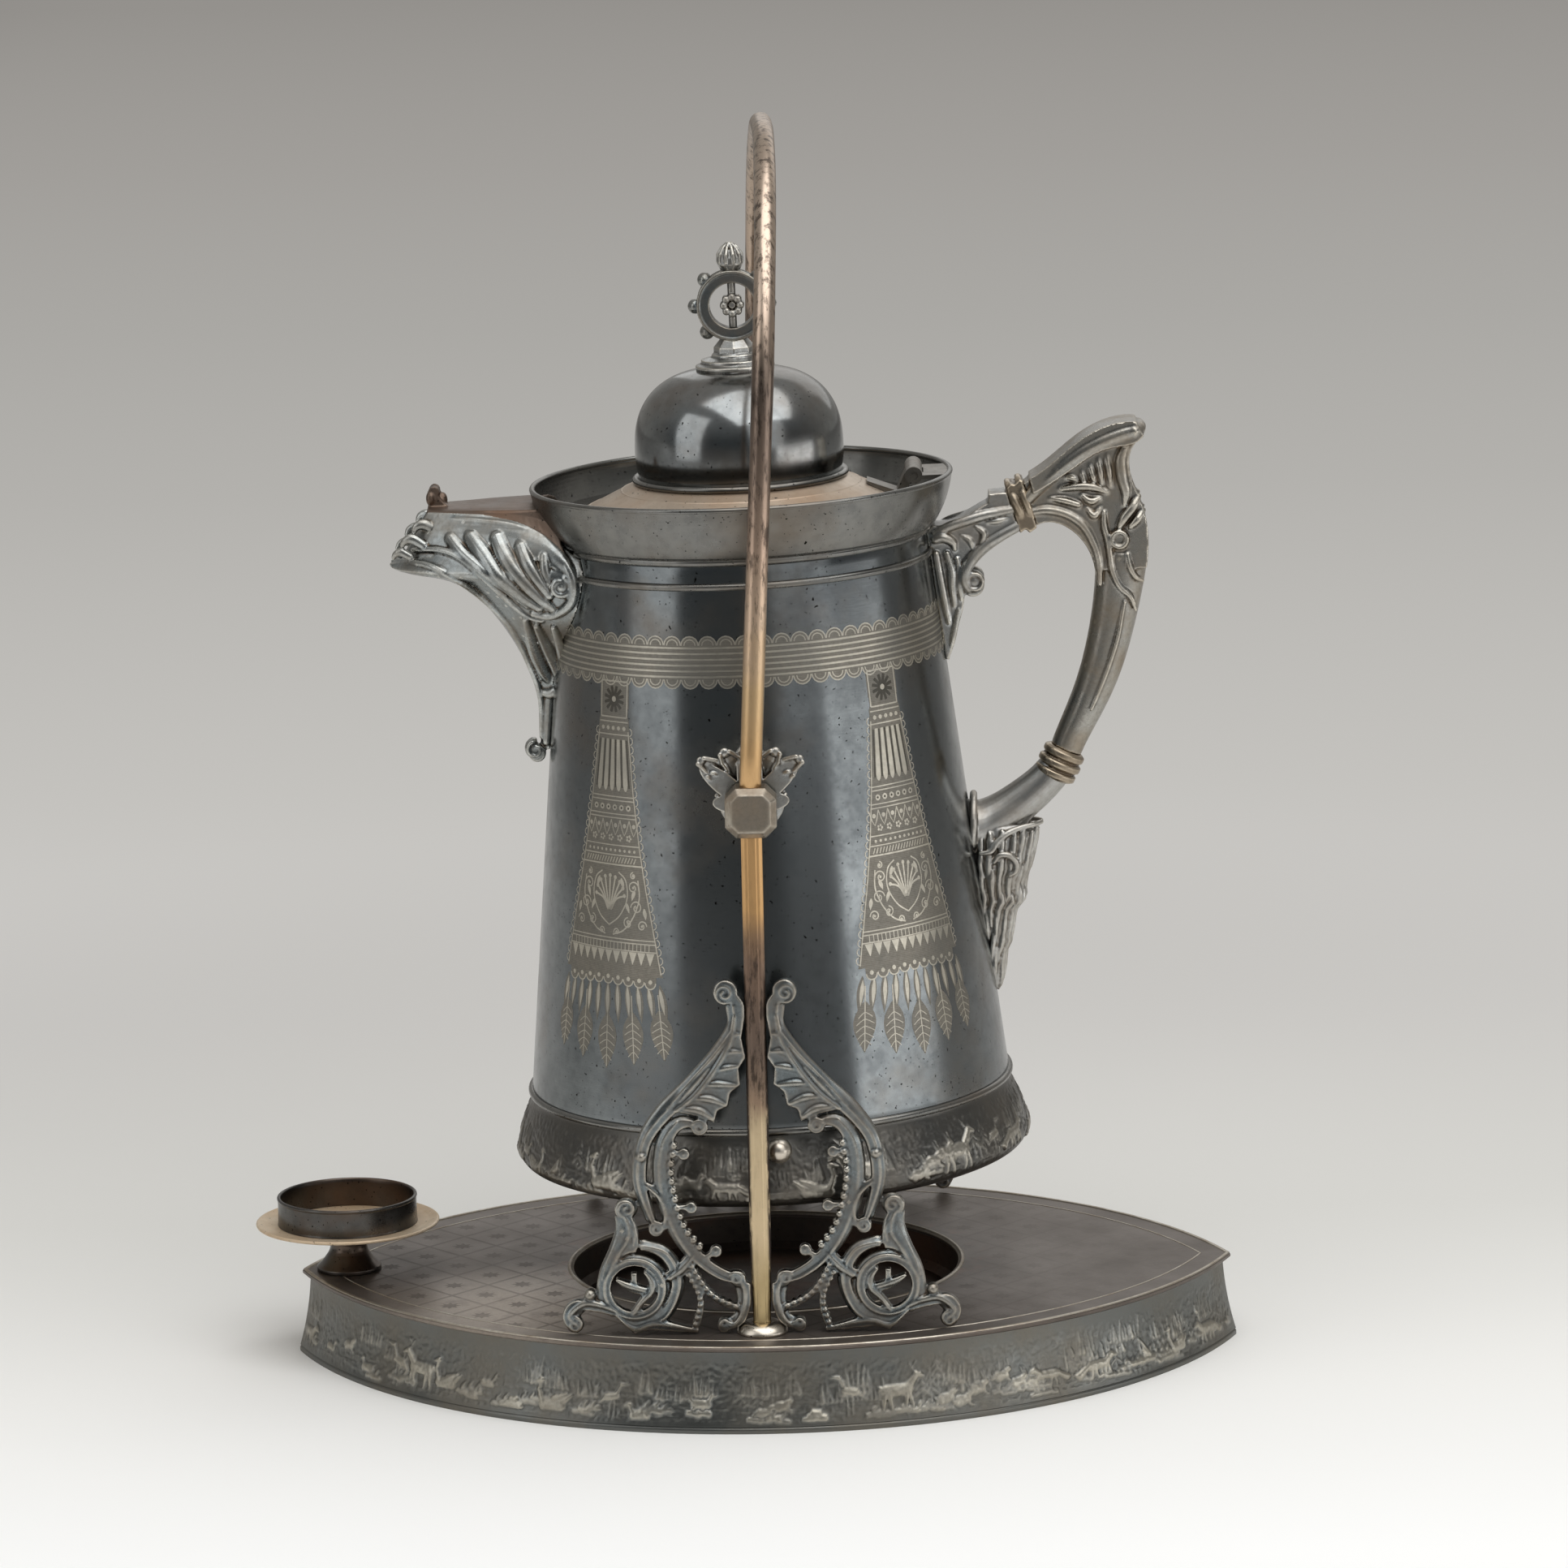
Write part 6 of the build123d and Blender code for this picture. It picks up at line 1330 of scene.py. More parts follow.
# The neck that carries the grip: x, z and radius
neck = curve_through([(86.0, 209.8, 11.2), (89.0, 210.1, 10.5), (93.4, 211.7, 9.6), (99.0, 214.7, 8.9),
                      (104.4, 218.4, 8.3), (110.6, 223.0, 7.8), (115.9, 227.6, 7.4), (121.0, 233.2, 7.1)], 4)
gooseneck = tube(lean(upright_at(0, neck)), neck[:, 2], 1.0, (0, 1, 0), 32)
t = np.linspace(0, 2 * math.pi, 41)
flange = np.column_stack([85.9 + 0.8 * np.sin(t), 11.2 * np.cos(t), 210.8 + 12.0 * np.sin(t)])
brow = [(88.0, 200.6, 11.4, 0.8), (92.6, 201.4, 12.0, 1.2), (95.2, 205.0, 11.4, 1.3),
        (99.6, 208.2, 10.4, 1.3), (104.8, 209.8, 8.6, 1.2), (110.0, 210.4, 6.0, 1.1),
        (113.4, 210.6, 1.6, 1.0)]
motif = [(93.4, 196.6, 12.0, 0.7), (95.8, 199.6, 12.6, 1.2), (99.6, 199.4, 12.4, 1.4),
         (102.4, 196.0, 11.6, 1.3), (101.8, 192.6, 11.4, 1.1), (99.4, 191.0, 11.6, 0.7)]
mount = [gooseneck, (lean(core), core_faces), tube(lean(flange), 1.5, 1.0, (1, 0, 0), 10)]
mount += [*on_both_sides(brow), *on_both_sides(motif)]
casting("lower_mount_cast", "handle_lower_mount", [*plumes, *mount], "pitcher", plume_cast, 0.4, 2)
print("Handle cast in five pieces, with", len(plumes), "plumes on the drop")

# %% [markdown]
# At each pivot a five-lobed leaf crown curls out from behind the block. Each lobe is a flattened
# stroke that bends towards the viewer and ends in a rolled tip, as foundry leaves do.

# %% Pivot bosses and blocks
# Each lobe starts and ends right of the pivot and above it; then its half width, and the reach of its tip
LOBES = ((0, 9, 0, 24.5, 4.6, 98.6), (5, 8, 9.8, 21.6, 3.9, 99.6), (7, 6, 19.0, 18.4, 3.4, 98.4),
         (9, 4, 15.6, 12.6, 2.5, 97.0), (9, 1, 12.4, 5.0, 2.3, 95.8))
LEAF_ROOT = 93.6
for side, name in ((-1, "front"), (1, "rear")):
    bits = [frame_skin("pivot_boss_" + name)]
    for across in (-1, 1):
        for x0, z0, x1, z1, half, out in LOBES:
            start, tip = np.array([across * x0, z0]), np.array([across * x1, z1])
            along = (tip - start) / np.linalg.norm(tip - start)
            aside = np.array([-along[1], along[0]])
            t = np.linspace(0, 1, 9)[:, None]
            bend = aside * across * 1.6 * np.sin(np.pi * t)
            middle = start + (tip - start) * t + bend
            rise = LEAF_ROOT + (out - LEAF_ROOT) * t[:, 0] ** 1.3
            widths = half * np.interp(t[:, 0], (0, 0.35, 0.75, 1), (0.55, 0.9, 1.0, 0.55))
            blade = np.column_stack([middle[:, 0], side * rise, PIVOT_HEIGHT + middle[:, 1]])
            bits.append(tube(blade, widths * 0.34, 2.7, (aside[0], 0, aside[1]), 14))
            for edge in (-1, 1):
                rim = middle + aside * edge * (widths * 0.88)[:, None]
                path = np.column_stack([rim[:, 0], side * (rise + 1.2), PIVOT_HEIGHT + rim[:, 1]])
                bits.append(tube(path, 0.95, 1.0, (0, 1, 0), 8))
            bits.append(ball((tip[0], side * (out + 0.5), PIVOT_HEIGHT + tip[1]), half * 0.5, (1, 0.6, 1)))
    casting("pivot_leaves_" + name, "pivot_boss_" + name, bits, "pitcher", cast_silver, 0.32, 2)
    for piece_name, node, finish, grain, smoothing in (("pivot_block_cast_", "pivot_block_", block_cast,
                                                        0.4, 9),
                                                       ("foot_button_cast_", "foot_button_", button_plate,
                                                        0.3, 2)):
        casting(piece_name + name, node + name, [frame_skin(node + name)], "stand", finish, grain, smoothing)
casting("stop_ball_cast", "stop_ball", [frame_skin("stop_ball")], "pitcher", button_plate, 0.3, 3)
print("Pivots and feet cast")

# %% [markdown]
# The finial stands on stepped discs: an eight-sided collar, a broad ring with two raised edges and
# knobs round it, a rosette on a bar inside it, and a ribbed bud on top.

# %% Finial
discs = [(2.0, 396.0), (15.6, 396.0), (15.9, 397.6), (15.0, 399.2), (13.4, 399.6), (13.4, 401.0),
         (12.0, 402.2), (9.1, 402.8), (9.1, 404.4), (7.6, 405.4), (6.0, 406.0), (2.0, 406.0)]
points, faces = spun(rounded(discs, 0.35), 96)
base = [frame_skin("finial_base"), (lean(points), faces)]
ring_bits = [frame_skin("finial_ring")]
for y in (-3.6, 3.6):
    ring_bits.append(tube(lean(upright_at(y, circle(0, RING_HEIGHT, 13.3, 49))), 0.85, 1.0, (0, 1, 0), 8))
for t in np.radians((0, 45, 135, 180, 225, 315)):
    knob = (14.6 * math.cos(t), 0, RING_HEIGHT + 14.6 * math.sin(t))
    ring_bits.append(ball(lean(knob), 3.0, (1, 1.2, 1)))
petals = [frame_skin("finial_spindle")]
for k in range(8):
    t = k * math.pi / 4
    for y in (-2.6, 1.6):
        petals.append(ball(lean((3.3 * math.cos(t), y, RING_HEIGHT + 3.3 * math.sin(t))), 1.55, (1, 0.8, 1)))
BUD_RIB = ((3.4, 438.0), (4.7, 441.0), (4.5, 444.0), (3.0, 446.6), (1.0, 448.4))
ribs = [frame_skin("finial_bud")]
for k in range(10):
    t = k * math.pi / 5
    path = [(r * math.cos(t), r * math.sin(t), z) for r, z in BUD_RIB]
    ribs.append(tube(lean(path), [0.6, 0.8, 0.8, 0.6, 0.4], 1.0, (math.sin(t), -math.cos(t), 0), 8))
for name, node, bits, finish, grain, smoothing in (
        ("finial_discs", "finial_base", base, cast_silver, 0.3, 2),
        ("finial_ring_cast", "finial_ring", ring_bits, bracket_cast, 0.3, 2),
        ("finial_rosette_cast", "finial_spindle", petals, cast_silver, 0.25, 1),
        ("finial_bud_cast", "finial_bud", ribs, cast_silver, 0.25, 1)):
    casting(name, node, bits, "lid", finish, grain, smoothing)
print("Finial cast")

# %% [markdown]
# ## Rolled friezes
# A frieze is a height field: a sheet of heights over the length and height of the band. Each figure
# is stamped into it from rounded strokes, as a die sinker punches a die. The scenes are of our own
# making: deer, foxes, hares, swans, ducks, herons and a boat among firs, rocks, reeds and ice.

# %% Stamping relief
def press(sheet, pitch, strokes, at, size=1.0, flip=1, height=0.7):
    """Stamps rounded strokes, each of two ends with radii, into a sheet of heights."""
    rows, columns = sheet.shape
    for x0, z0, r0, x1, z1, r1 in strokes:
        ax, az = at[0] + flip * x0 * size, at[1] + z0 * size
        bx, bz = at[0] + flip * x1 * size, at[1] + z1 * size
        ra, rb = r0 * size, r1 * size
        reach = max(ra, rb) + pitch
        low_c = max(0, int((min(ax, bx) - reach) / pitch))
        high_c = min(columns, int((max(ax, bx) + reach) / pitch) + 2)
        low_r = max(0, int((min(az, bz) - reach) / pitch))
        high_r = min(rows, int((max(az, bz) + reach) / pitch) + 2)
        if low_c >= high_c or low_r >= high_r:
            continue
        x, z = np.meshgrid(np.arange(low_c, high_c) * pitch, np.arange(low_r, high_r) * pitch)
        dx, dz = bx - ax, bz - az
        t = np.clip(((x - ax) * dx + (z - az) * dz) / (dx * dx + dz * dz + 1e-9), 0, 1)
        r = ra + (rb - ra) * t
        d = np.hypot(x - ax - t * dx, z - az - t * dz) / r
        dome = height * np.sqrt(np.clip(1 - d * d, 0, 1)) * np.clip(r / 1.1, 0.35, 1)
        view = sheet[low_r:high_r, low_c:high_c]
        np.maximum(view, dome, out=view)


# Each stroke of a die: place and radius of its one end, then of its other end
DEER = ((-4, 6.4, 2.3, 3.6, 6.8, 2.0), (3.6, 7.4, 1.6, 6.6, 11.0, 1.0), (6.8, 11.4, 1.1, 9.2, 10.6, 0.6),
        (-4.6, 5.2, 1.1, -5.4, 0.4, 0.5), (-3.0, 5.0, 1.0, -2.4, 0.4, 0.5), (3.0, 5.4, 1.0, 2.4, 0.4, 0.5),
        (4.0, 5.6, 0.9, 5.0, 0.6, 0.5), (6.4, 12.0, 0.4, 4.4, 15.0, 0.3), (5.4, 13.6, 0.3, 7.0, 15.6, 0.3),
        (-5.8, 7.6, 0.8, -6.8, 6.4, 0.4))
FOX = ((-4, 4.2, 1.7, 2.6, 4.4, 1.5), (2.8, 4.8, 1.3, 5.0, 6.4, 1.1), (5.2, 6.4, 1.0, 7.4, 5.6, 0.4),
       (4.6, 7.0, 0.5, 4.4, 8.2, 0.3), (-4.6, 4.6, 0.9, -8.6, 2.2, 1.4), (-8.6, 2.2, 1.4, -10.6, 2.6, 0.4),
       (-3.4, 3.4, 0.8, -4.0, 0.4, 0.4), (-2.2, 3.4, 0.8, -1.6, 0.4, 0.4), (2.0, 3.6, 0.8, 1.6, 0.4, 0.4),
       (3.0, 3.8, 0.7, 4.2, 0.4, 0.4))
DUCK = ((-2, 1.6, 1.5, 1.6, 1.4, 1.4), (1.8, 2.0, 0.7, 2.8, 3.8, 0.7), (3.0, 4.0, 0.8, 4.4, 3.6, 0.3),
        (-3.0, 2.4, 0.6, -4.6, 3.2, 0.3))
HERON = ((-2, 7, 1.5, 1.4, 7.6, 1.2), (1.4, 8.2, 0.7, 3.0, 11.2, 0.5), (3.0, 11.4, 0.7, 6.0, 11.8, 0.3),
         (-0.6, 6, 0.4, -0.8, 0.2, 0.3), (0.8, 6, 0.4, 1.0, 0.2, 0.3), (-3.0, 6.4, 0.8, -5.0, 4.8, 0.4))
FIR = ((0, 0, 0.6, 0, 12, 0.4), (-3.0, 3.0, 0.7, 0, 5.6, 0.7), (3.0, 3.0, 0.7, 0, 5.6, 0.7),
       (-2.4, 5.6, 0.6, 0, 8.0, 0.6), (2.4, 5.6, 0.6, 0, 8.0, 0.6), (-1.6, 8.4, 0.5, 0, 10.6, 0.5),
       (1.6, 8.4, 0.5, 0, 10.6, 0.5))
ROCK = ((-3, 0.6, 1.4, 2, 1.0, 1.9), (-1, 2.4, 1.3, 1.4, 2.6, 1.0), (3.0, 0.4, 1.1, 5.0, 0.2, 0.7))
REED = ((0, 0, 0.35, 0.6, 7, 0.25), (0.6, 6.4, 0.55, 0.8, 8.6, 0.45), (-1.0, 0, 0.3, -1.8, 5.6, 0.25),
        (-1.8, 5, 0.5, -2.0, 7.0, 0.4), (1.2, 0, 0.3, 2.6, 5.2, 0.22), (-0.4, 0, 0.3, -0.2, 5.0, 0.2))
BOAT = ((-5, 1.6, 0.8, 5, 1.6, 0.8), (-6.4, 2.8, 0.4, -4.6, 1.6, 0.7), (6.4, 2.8, 0.4, 4.6, 1.6, 0.7),
        (0, 2.2, 0.35, 0, 8.6, 0.3), (0.4, 7.6, 0.4, 3.4, 3.2, 0.9), (1.2, 4.6, 0.9, 2.4, 3.6, 1.1))
SWAN = ((-3, 2.6, 2.2, 2.2, 2.2, 1.9), (2.6, 3.0, 0.9, 4.2, 6.4, 0.7), (4.2, 6.4, 0.7, 3.4, 9.0, 0.6),
        (3.4, 9.2, 0.9, 5.6, 8.6, 0.4), (-4.4, 3.8, 1.1, -6.6, 5.4, 0.5), (-1.0, 4.0, 1.2, -5.0, 5.6, 0.6))
HARE = ((-1.6, 1.8, 1.8, 1.0, 2.2, 1.4), (1.4, 3.2, 1.0, 2.4, 3.8, 0.9), (1.8, 4.4, 0.4, 1.0, 6.6, 0.3),
        (2.4, 4.6, 0.4, 2.0, 6.8, 0.3), (1.4, 1.0, 0.6, 2.6, 0.3, 0.5), (-3.2, 1.6, 0.7, -3.6, 2.0, 0.5))
print("Ten dies cut")

# %% [markdown]
# A band is filled from back to front: ice and ground lines, tufts and low rocks, then figures at
# uneven places, never the same kind twice running. A fine grain lies over all of it.

# %% Frieze composition
def frieze(length, height, pitch, base, top, seed):
    """A scene along a band: ice, rocks and ground lines, then figures at uneven places."""
    rows, columns = int(height / pitch) + 1, int(length / pitch) + 1
    sheet = np.zeros((rows, columns))
    rng = np.random.default_rng(seed)
    room = top - base
    scale = room / 17.0
    for _ in range(int(length / 2.2)):
        x, z = rng.uniform(0, length), base + room * rng.uniform(-0.03, 0.42)
        half = rng.uniform(1.5, 6.5)
        press(sheet, pitch, [(-half, 0, 0.4, half, rng.uniform(-0.8, 0.8), 0.3)], (x, z), 1, 1, 0.34)
    for _ in range(int(length / 13)):
        x, z = rng.uniform(0, length), base + room * rng.uniform(0.30, 0.62)
        for k in range(rng.integers(3, 9)):
            press(sheet, pitch, [(0, 0, rng.uniform(0.5, 1.0), rng.uniform(-1.0, 1.0),
                                  rng.uniform(2.6, 6.6), 0.25)], (x + k * 1.9, z), scale, 1,
                  rng.uniform(0.35, 0.6))
    for _ in range(int(length / 16)):
        x, z = rng.uniform(0, length), base + room * rng.uniform(0.0, 0.2)
        for k in range(rng.integers(2, 5)):
            press(sheet, pitch, [(-1.6, 0, 0.9, 1.8, rng.uniform(-0.6, 0.6), 1.1),
                                 (0, 1.2, 0.8, 0.8, 2.2, 0.6)], (x + k * 3.6, z + rng.uniform(-0.6, 0.6)),
                  scale, 1, rng.uniform(0.4, 0.7))
    at = 4.0
    order = (DEER, ROCK, FOX, DUCK, FIR, SWAN, HERON, REED, HARE, BOAT)
    last = None
    while at < length - 6:
        kind = order[rng.integers(len(order))]
        if kind is last:
            continue
        last = kind
        flip = 1 if rng.random() < 0.5 else -1
        size = scale * rng.uniform(0.72, 0.95)
        if kind in (FIR, REED):
            for k in range(rng.integers(2, 5)):
                press(sheet, pitch, kind, (at + k * 3.4, base + room * rng.uniform(0.1, 0.35)),
                      size * rng.uniform(0.6, 0.95), flip, 0.5)
            at += 10
        elif kind in (DUCK, HARE):
            for k in range(rng.integers(1, 4)):
                press(sheet, pitch, kind, (at + k * 7.0, base + room * rng.uniform(0.0, 0.35)),
                      size * 1.15, flip, 0.75)
            at += 15
        else:
            press(sheet, pitch, kind, (at + 5, base + room * rng.uniform(0.0, 0.12)), size * 1.1, flip, 0.95)
            at += rng.uniform(13, 20)
    grain = rng.random((rows, columns))
    for _ in range(2):
        grain = (grain + sum(np.roll(grain, way, axis) for way, axis in ((1, 0), (1, 1), (-1, 0),
                                                                         (-1, 1)))) / 5
    return sheet + (grain - grain.mean()) * 0.7


def wrapped(sheet):
    """Joins the two ends of a band that goes all the way round."""
    blend = np.linspace(0, 1, 12)
    sheet[:, -12:] = sheet[:, -12:] * (1 - blend) + sheet[:, :1] * blend
    return sheet


def even_points(outline, pitch):
    """Evenly spaced points on an outline, and how far along it each one lies."""
    length = lengths_along(outline)
    at = np.linspace(0, length[-1], int(length[-1] / pitch) + 1)
    return at, np.column_stack([np.interp(at, length, outline[:, k]) for k in (0, 1)])


print("Frieze tools ready")

# %% [markdown]
# The foot band flares from the bead, is widest near its foot and turns in under it. Its frieze runs
# right round, between a plain margin above and a rolled edge below.

# %% Foot band
PITCH = 0.5
RELIEF = 0.95
band_outside = curve_through([(96.15, 110.95), (96.1, 109.6), (96.8, 107.1), (99.9, 99.5), (102.5, 90.9),
                              (102.8, 86.9), (100.9, 83.4), (97.0, 81.5)], 12)
down, outline = even_points(band_outside, PITCH)
rows = len(down)
around = 2 * math.pi * 101.0
columns = int(around / PITCH)
heights = wrapped(frieze(around, down[-1] + 1, PITCH, 5.2, down[-1] - 4.5, 5))[:rows, :columns][::-1]
from_edge = np.minimum(down - 3.2, down[-1] - 4.6 - down)
heights *= np.clip(from_edge / 2.0, 0, 1)[:, None]
slope = np.gradient(outline, axis=0)
normal = np.column_stack([-slope[:, 1], slope[:, 0]])
normal /= np.linalg.norm(normal, axis=1, keepdims=True)
angle = -math.pi / 2 + np.arange(columns) * 2 * math.pi / columns
r = outline[:, :1] + normal[:, :1] * heights * RELIEF
z = outline[:, 1:] + normal[:, 1:] * heights * RELIEF
outer_skin = round_axis(r, z, angle)
lining = np.array([(95.6, 82.6), (99.8, 84.6), (101.1, 87.4), (100.9, 91.0), (98.3, 99.3), (95.2, 106.9),
                   (94.7, 110.95)])
inner_skin = round_axis(lining[:, :1], lining[:, 1:], angle)
grid = np.vstack([outer_skin, inner_skin])
relief = np.vstack([heights, np.zeros(inner_skin.shape[:2])])
piece("foot_band_rolled", (lean(grid.reshape(-1, 3)), grid_faces(len(grid), columns, True, True)), "pitcher",
      foot_frieze, "silver_plate", ["foot_band"], 60, relief.reshape(-1))
print("Foot band", rows, "by", columns, "points")

# %% [markdown]
# The tray's wall is two arcs that meet in points, with a hollow flare, a flat rim at the foot and a
# fine line above it. Every row of the grid follows its own arc from tip to tip, so the rows meet
# exactly at the points of the lens.

# %% Tray wall
def wall_arc(radius, t):
    """Place on the front arc of a radius, t from -1 at the left tip to 1 at the right one."""
    alpha = t * math.acos(ARC_CENTRE / radius)
    return radius * math.sin(alpha), ARC_CENTRE - radius * math.cos(alpha)


WALL_FOOT, WALL_HEAD = ARC_RADIUS + 2.0, ARC_RADIUS - 3.0
flare = arc((WALL_FOOT - 0.15, 2.6), ((WALL_FOOT + WALL_HEAD) / 2 - 0.9, 17.1), (WALL_HEAD, 32.0), 40)
rim_line = [(WALL_FOOT - 0.05, 0.0), (WALL_FOOT, 0.5), (WALL_FOOT, 1.7), (WALL_FOOT - 0.3, 2.1),
            (WALL_FOOT - 0.55, 2.4)]
up, profile = even_points(np.array(rim_line + flare), PITCH)
rows = len(up)
half_run = 2 * WALL_FOOT * math.acos(ARC_CENTRE / WALL_FOOT)
columns = int(half_run / PITCH)
lining = np.array([(WALL_HEAD - 1.2, 32.0), (WALL_HEAD + 0.3, 17.0), (WALL_FOOT - 1.3, 3.4),
                   (WALL_FOOT - 1.2, 1.2), (WALL_FOOT - 5.0, 1.2), (WALL_FOOT - 5.0, 0.0)])
share = np.linspace(-1, 1, columns + 1)
sides, reliefs = [], []
for side, seed in ((1, 21), (-1, 22)):
    sheet = frieze(half_run, up[-1] + 1, PITCH, 5.0, up[-1] - 5.5, seed)[:rows, :columns + 1]
    # The relief dies out at both edges and over the last 9 mm before each tip
    from_edge = np.minimum(up - 3.4, up[-1] - 4.6 - up)
    sheet = sheet * np.clip(from_edge / 1.8, 0, 1)[:, None]
    sheet = sheet * np.clip((1 - np.abs(share)) * half_run / 2 / 9.0, 0, 1)
    full = np.vstack([profile, lining])
    lift = np.vstack([sheet, np.zeros((len(lining), columns + 1))])
    angle = np.arccos(ARC_CENTRE / full[:, :1]) * share
    radius = np.minimum(full[:, :1] + lift * RELIEF, WALL_FOOT)
    x, y = radius * np.sin(angle), ARC_CENTRE - radius * np.cos(angle)
    x[:, -1] = np.sqrt(full[:, 0]**2 - ARC_CENTRE**2)
    x[:, 0] = -x[:, -1]
    y[:, 0] = y[:, -1] = 0
    points = np.stack([side * x, side * y, np.broadcast_to(full[:, 1:], x.shape)], axis=-1)
    sides.append(points[:, :-1])
    reliefs.append(lift[:, :-1])
grid = np.concatenate(sides, axis=1)
relief = np.concatenate(reliefs, axis=1)
piece("tray_wall_rolled", (grid.reshape(-1, 3), grid_faces(len(grid), grid.shape[1], True, True)), "stand",
      frieze_plate, "tray_plate", ["base_wall"], 60, relief.reshape(-1))
print("Tray wall", rows, "by", grid.shape[1], "points")

# %% [markdown]
# The flat top gets a thin raised line along its edge and a rolled lip round the well, both soldered
# wire on the real tray.

# %% Wires on the tray
def lens_wire(name, inset, z, radius, material):
    """A thin wire along both arcs of the tray, at an inset from the edge."""
    r = ARC_RADIUS - inset
    front = [wall_arc(r, t) for t in np.linspace(-1, 1, 161)]
    loop = front[:-1] + [(-x, -y) for x, y in front[:-1]]
    rows = []
    for k, (x, y) in enumerate(loop):
        ahead, behind = np.array(loop[(k + 1) % len(loop)]), np.array(loop[k - 1])
        along = (ahead - behind) / np.linalg.norm(ahead - behind)
        out = np.array([along[1], -along[0]])
        rows.append([(x + out[0] * radius * c, y + out[1] * radius * c, z + radius * s * 0.6)
                     for c, s in ((1, 0), (0.7, 0.7), (0, 1), (-0.7, 0.7), (-1, 0), (0, -0.7))])
    rows = np.array(rows)
    piece(name, (rows.reshape(-1, 3), grid_faces(len(rows), 6, True, True)), "stand", material, "tray_plate")


lens_wire("tray_edge_wire", 1.1, 34.0, 0.9, block_cast)
lens_wire("tray_border_wire", 11.4, 33.98, 0.45, block_cast)
turned("well_lip", [(77.9, 33.2), (79.6, 33.9), *arc((80.4, 34.0), (79.5, 34.7), (78.6, 34.2), 5),
                    (77.9, 33.8)], "stand", block_cast, "tray_plate", [], 0.1, 192, 0.0)
print("Tray wires laid")

# %% [markdown]
# ## Engraving
# The engraver cut a belt of six lines between scalloped edges round the neck, and four long
# pendants below it. Engraving is far too shallow to see as depth, so each cut surface is a
# paper-thin inlay that stands 0.035 mm or 0.085 mm proud of the cone and follows it.

# %% Inlays that follow the cone
GROUND, LINE, UNDER = 0.035, 0.085, -0.12


def on_cone(angle, z, lift):
    """A place over the cone: angle from the front towards the handle, in radians."""
    r = cone_radius(z) + lift
    return np.stack([r * np.sin(angle), -r * np.cos(angle), z + 0 * r], axis=-1)


def inlay(angle, z, lift):
    """Closed thin slab under a grid of angles and heights."""
    rows, columns = angle.shape
    top = on_cone(angle, z, lift).reshape(-1, 3)
    low = on_cone(angle, z, UNDER).reshape(-1, 3)
    faces = grid_faces(rows, columns)
    count = rows * columns
    edge = [*range(columns), *range(2 * columns - 1, count, columns),
            *range(count - 2, count - columns - 1, -1), *range(count - 2 * columns, 0, -columns)]
    ahead = edge[1:] + edge[:1]
    wall = [[a, b, b + count, a + count] for a, b in zip(ahead, edge)]
    return np.vstack([top, low]), [*faces.tolist(), *(faces[:, ::-1] + count).tolist(), *wall]


def line_on_cone(points, width, centre=0.0, lift=LINE):
    """A cut line: places across and up, in millimetres from an azimuth, with a width."""
    p = np.asarray(points, float)
    along = np.gradient(p, axis=0)
    along /= np.linalg.norm(along, axis=1, keepdims=True) + 1e-9
    normal = np.column_stack([-along[:, 1], along[:, 0]]) * width / 2
    pair = np.stack([p - normal, p, p + normal], axis=1)
    return inlay(centre + pair[..., 0] / cone_radius(pair[..., 1]), pair[..., 1], lift)


def patch(middle, halves, heights, centre, lift, columns=5):
    """A filled shape about a middle line, from its half width at each height."""
    x = np.reshape(middle, (-1, 1)) + np.outer(halves, np.linspace(-1, 1, columns))
    z = np.reshape(heights, (-1, 1)) + 0 * x
    return inlay(centre + x / cone_radius(z), z, lift)


def round_cone(section, steps=256):
    """A hoop round the cone, from the lift and height of each corner of its section."""
    angle = np.arange(steps) * 2 * math.pi / steps
    rows = [on_cone(angle, np.full(steps, z), lift) for lift, z in section]
    return np.vstack(rows), grid_faces(len(section), steps, True, True)


def bow(x, z, radius, start, end, count=9):
    """Places on part of a circle, between two angles in degrees."""
    t = np.radians(np.linspace(start, end, count))
    return np.column_stack([x + radius * np.cos(t), z + radius * np.sin(t)])


print("Inlays stand", GROUND, "and", LINE, "mm proud")

# %% [markdown]
# The belt is six plain lines over a hatched hoop, with a row of double scallops along its upper and
# its lower edge.

# %% Belt
lines, grounds, darks = [], [], []
BELT_LOW, BELT_HIGH = 288.4, 299.6
BELT_LINE = 0.75
levels = [(GROUND, z) for z in np.linspace(BELT_LOW - 1.4, BELT_HIGH + 1.4, 9)]
levels += [(UNDER, BELT_HIGH + 1.4), (UNDER, BELT_LOW - 1.4)]
grounds.append(round_cone(levels))
for z in np.linspace(BELT_LOW, BELT_HIGH, 6):
    low, high = z - BELT_LINE / 2, z + BELT_LINE / 2
    lines.append(round_cone([(LINE, low), (LINE, high), (UNDER, high), (UNDER, low)]))
SCALLOPS = 66
for k in range(SCALLOPS):
    turn = 2 * math.pi * k / SCALLOPS
    for z, start, end in ((BELT_HIGH + 1.0, 0, 180), (BELT_LOW - 1.0, 180, 360)):
        lines.append(line_on_cone(bow(0, z, 3.5, start, end), 0.5, turn))
        lines.append(line_on_cone(bow(0, z, 2.3, start, end, 7), 0.45, turn))
        sign = 1 if z > BELT_HIGH else -1
        heights = z + sign * np.array([0.0, 1.0, 2.0, 2.8, 3.3])
        halves = np.sqrt(np.clip(3.4**2 - (heights - z) ** 2, 0.05, None))
        grounds.append(patch(0, halves, heights, turn, GROUND, 5))
print("Belt of six lines and", 2 * SCALLOPS, "scallops")

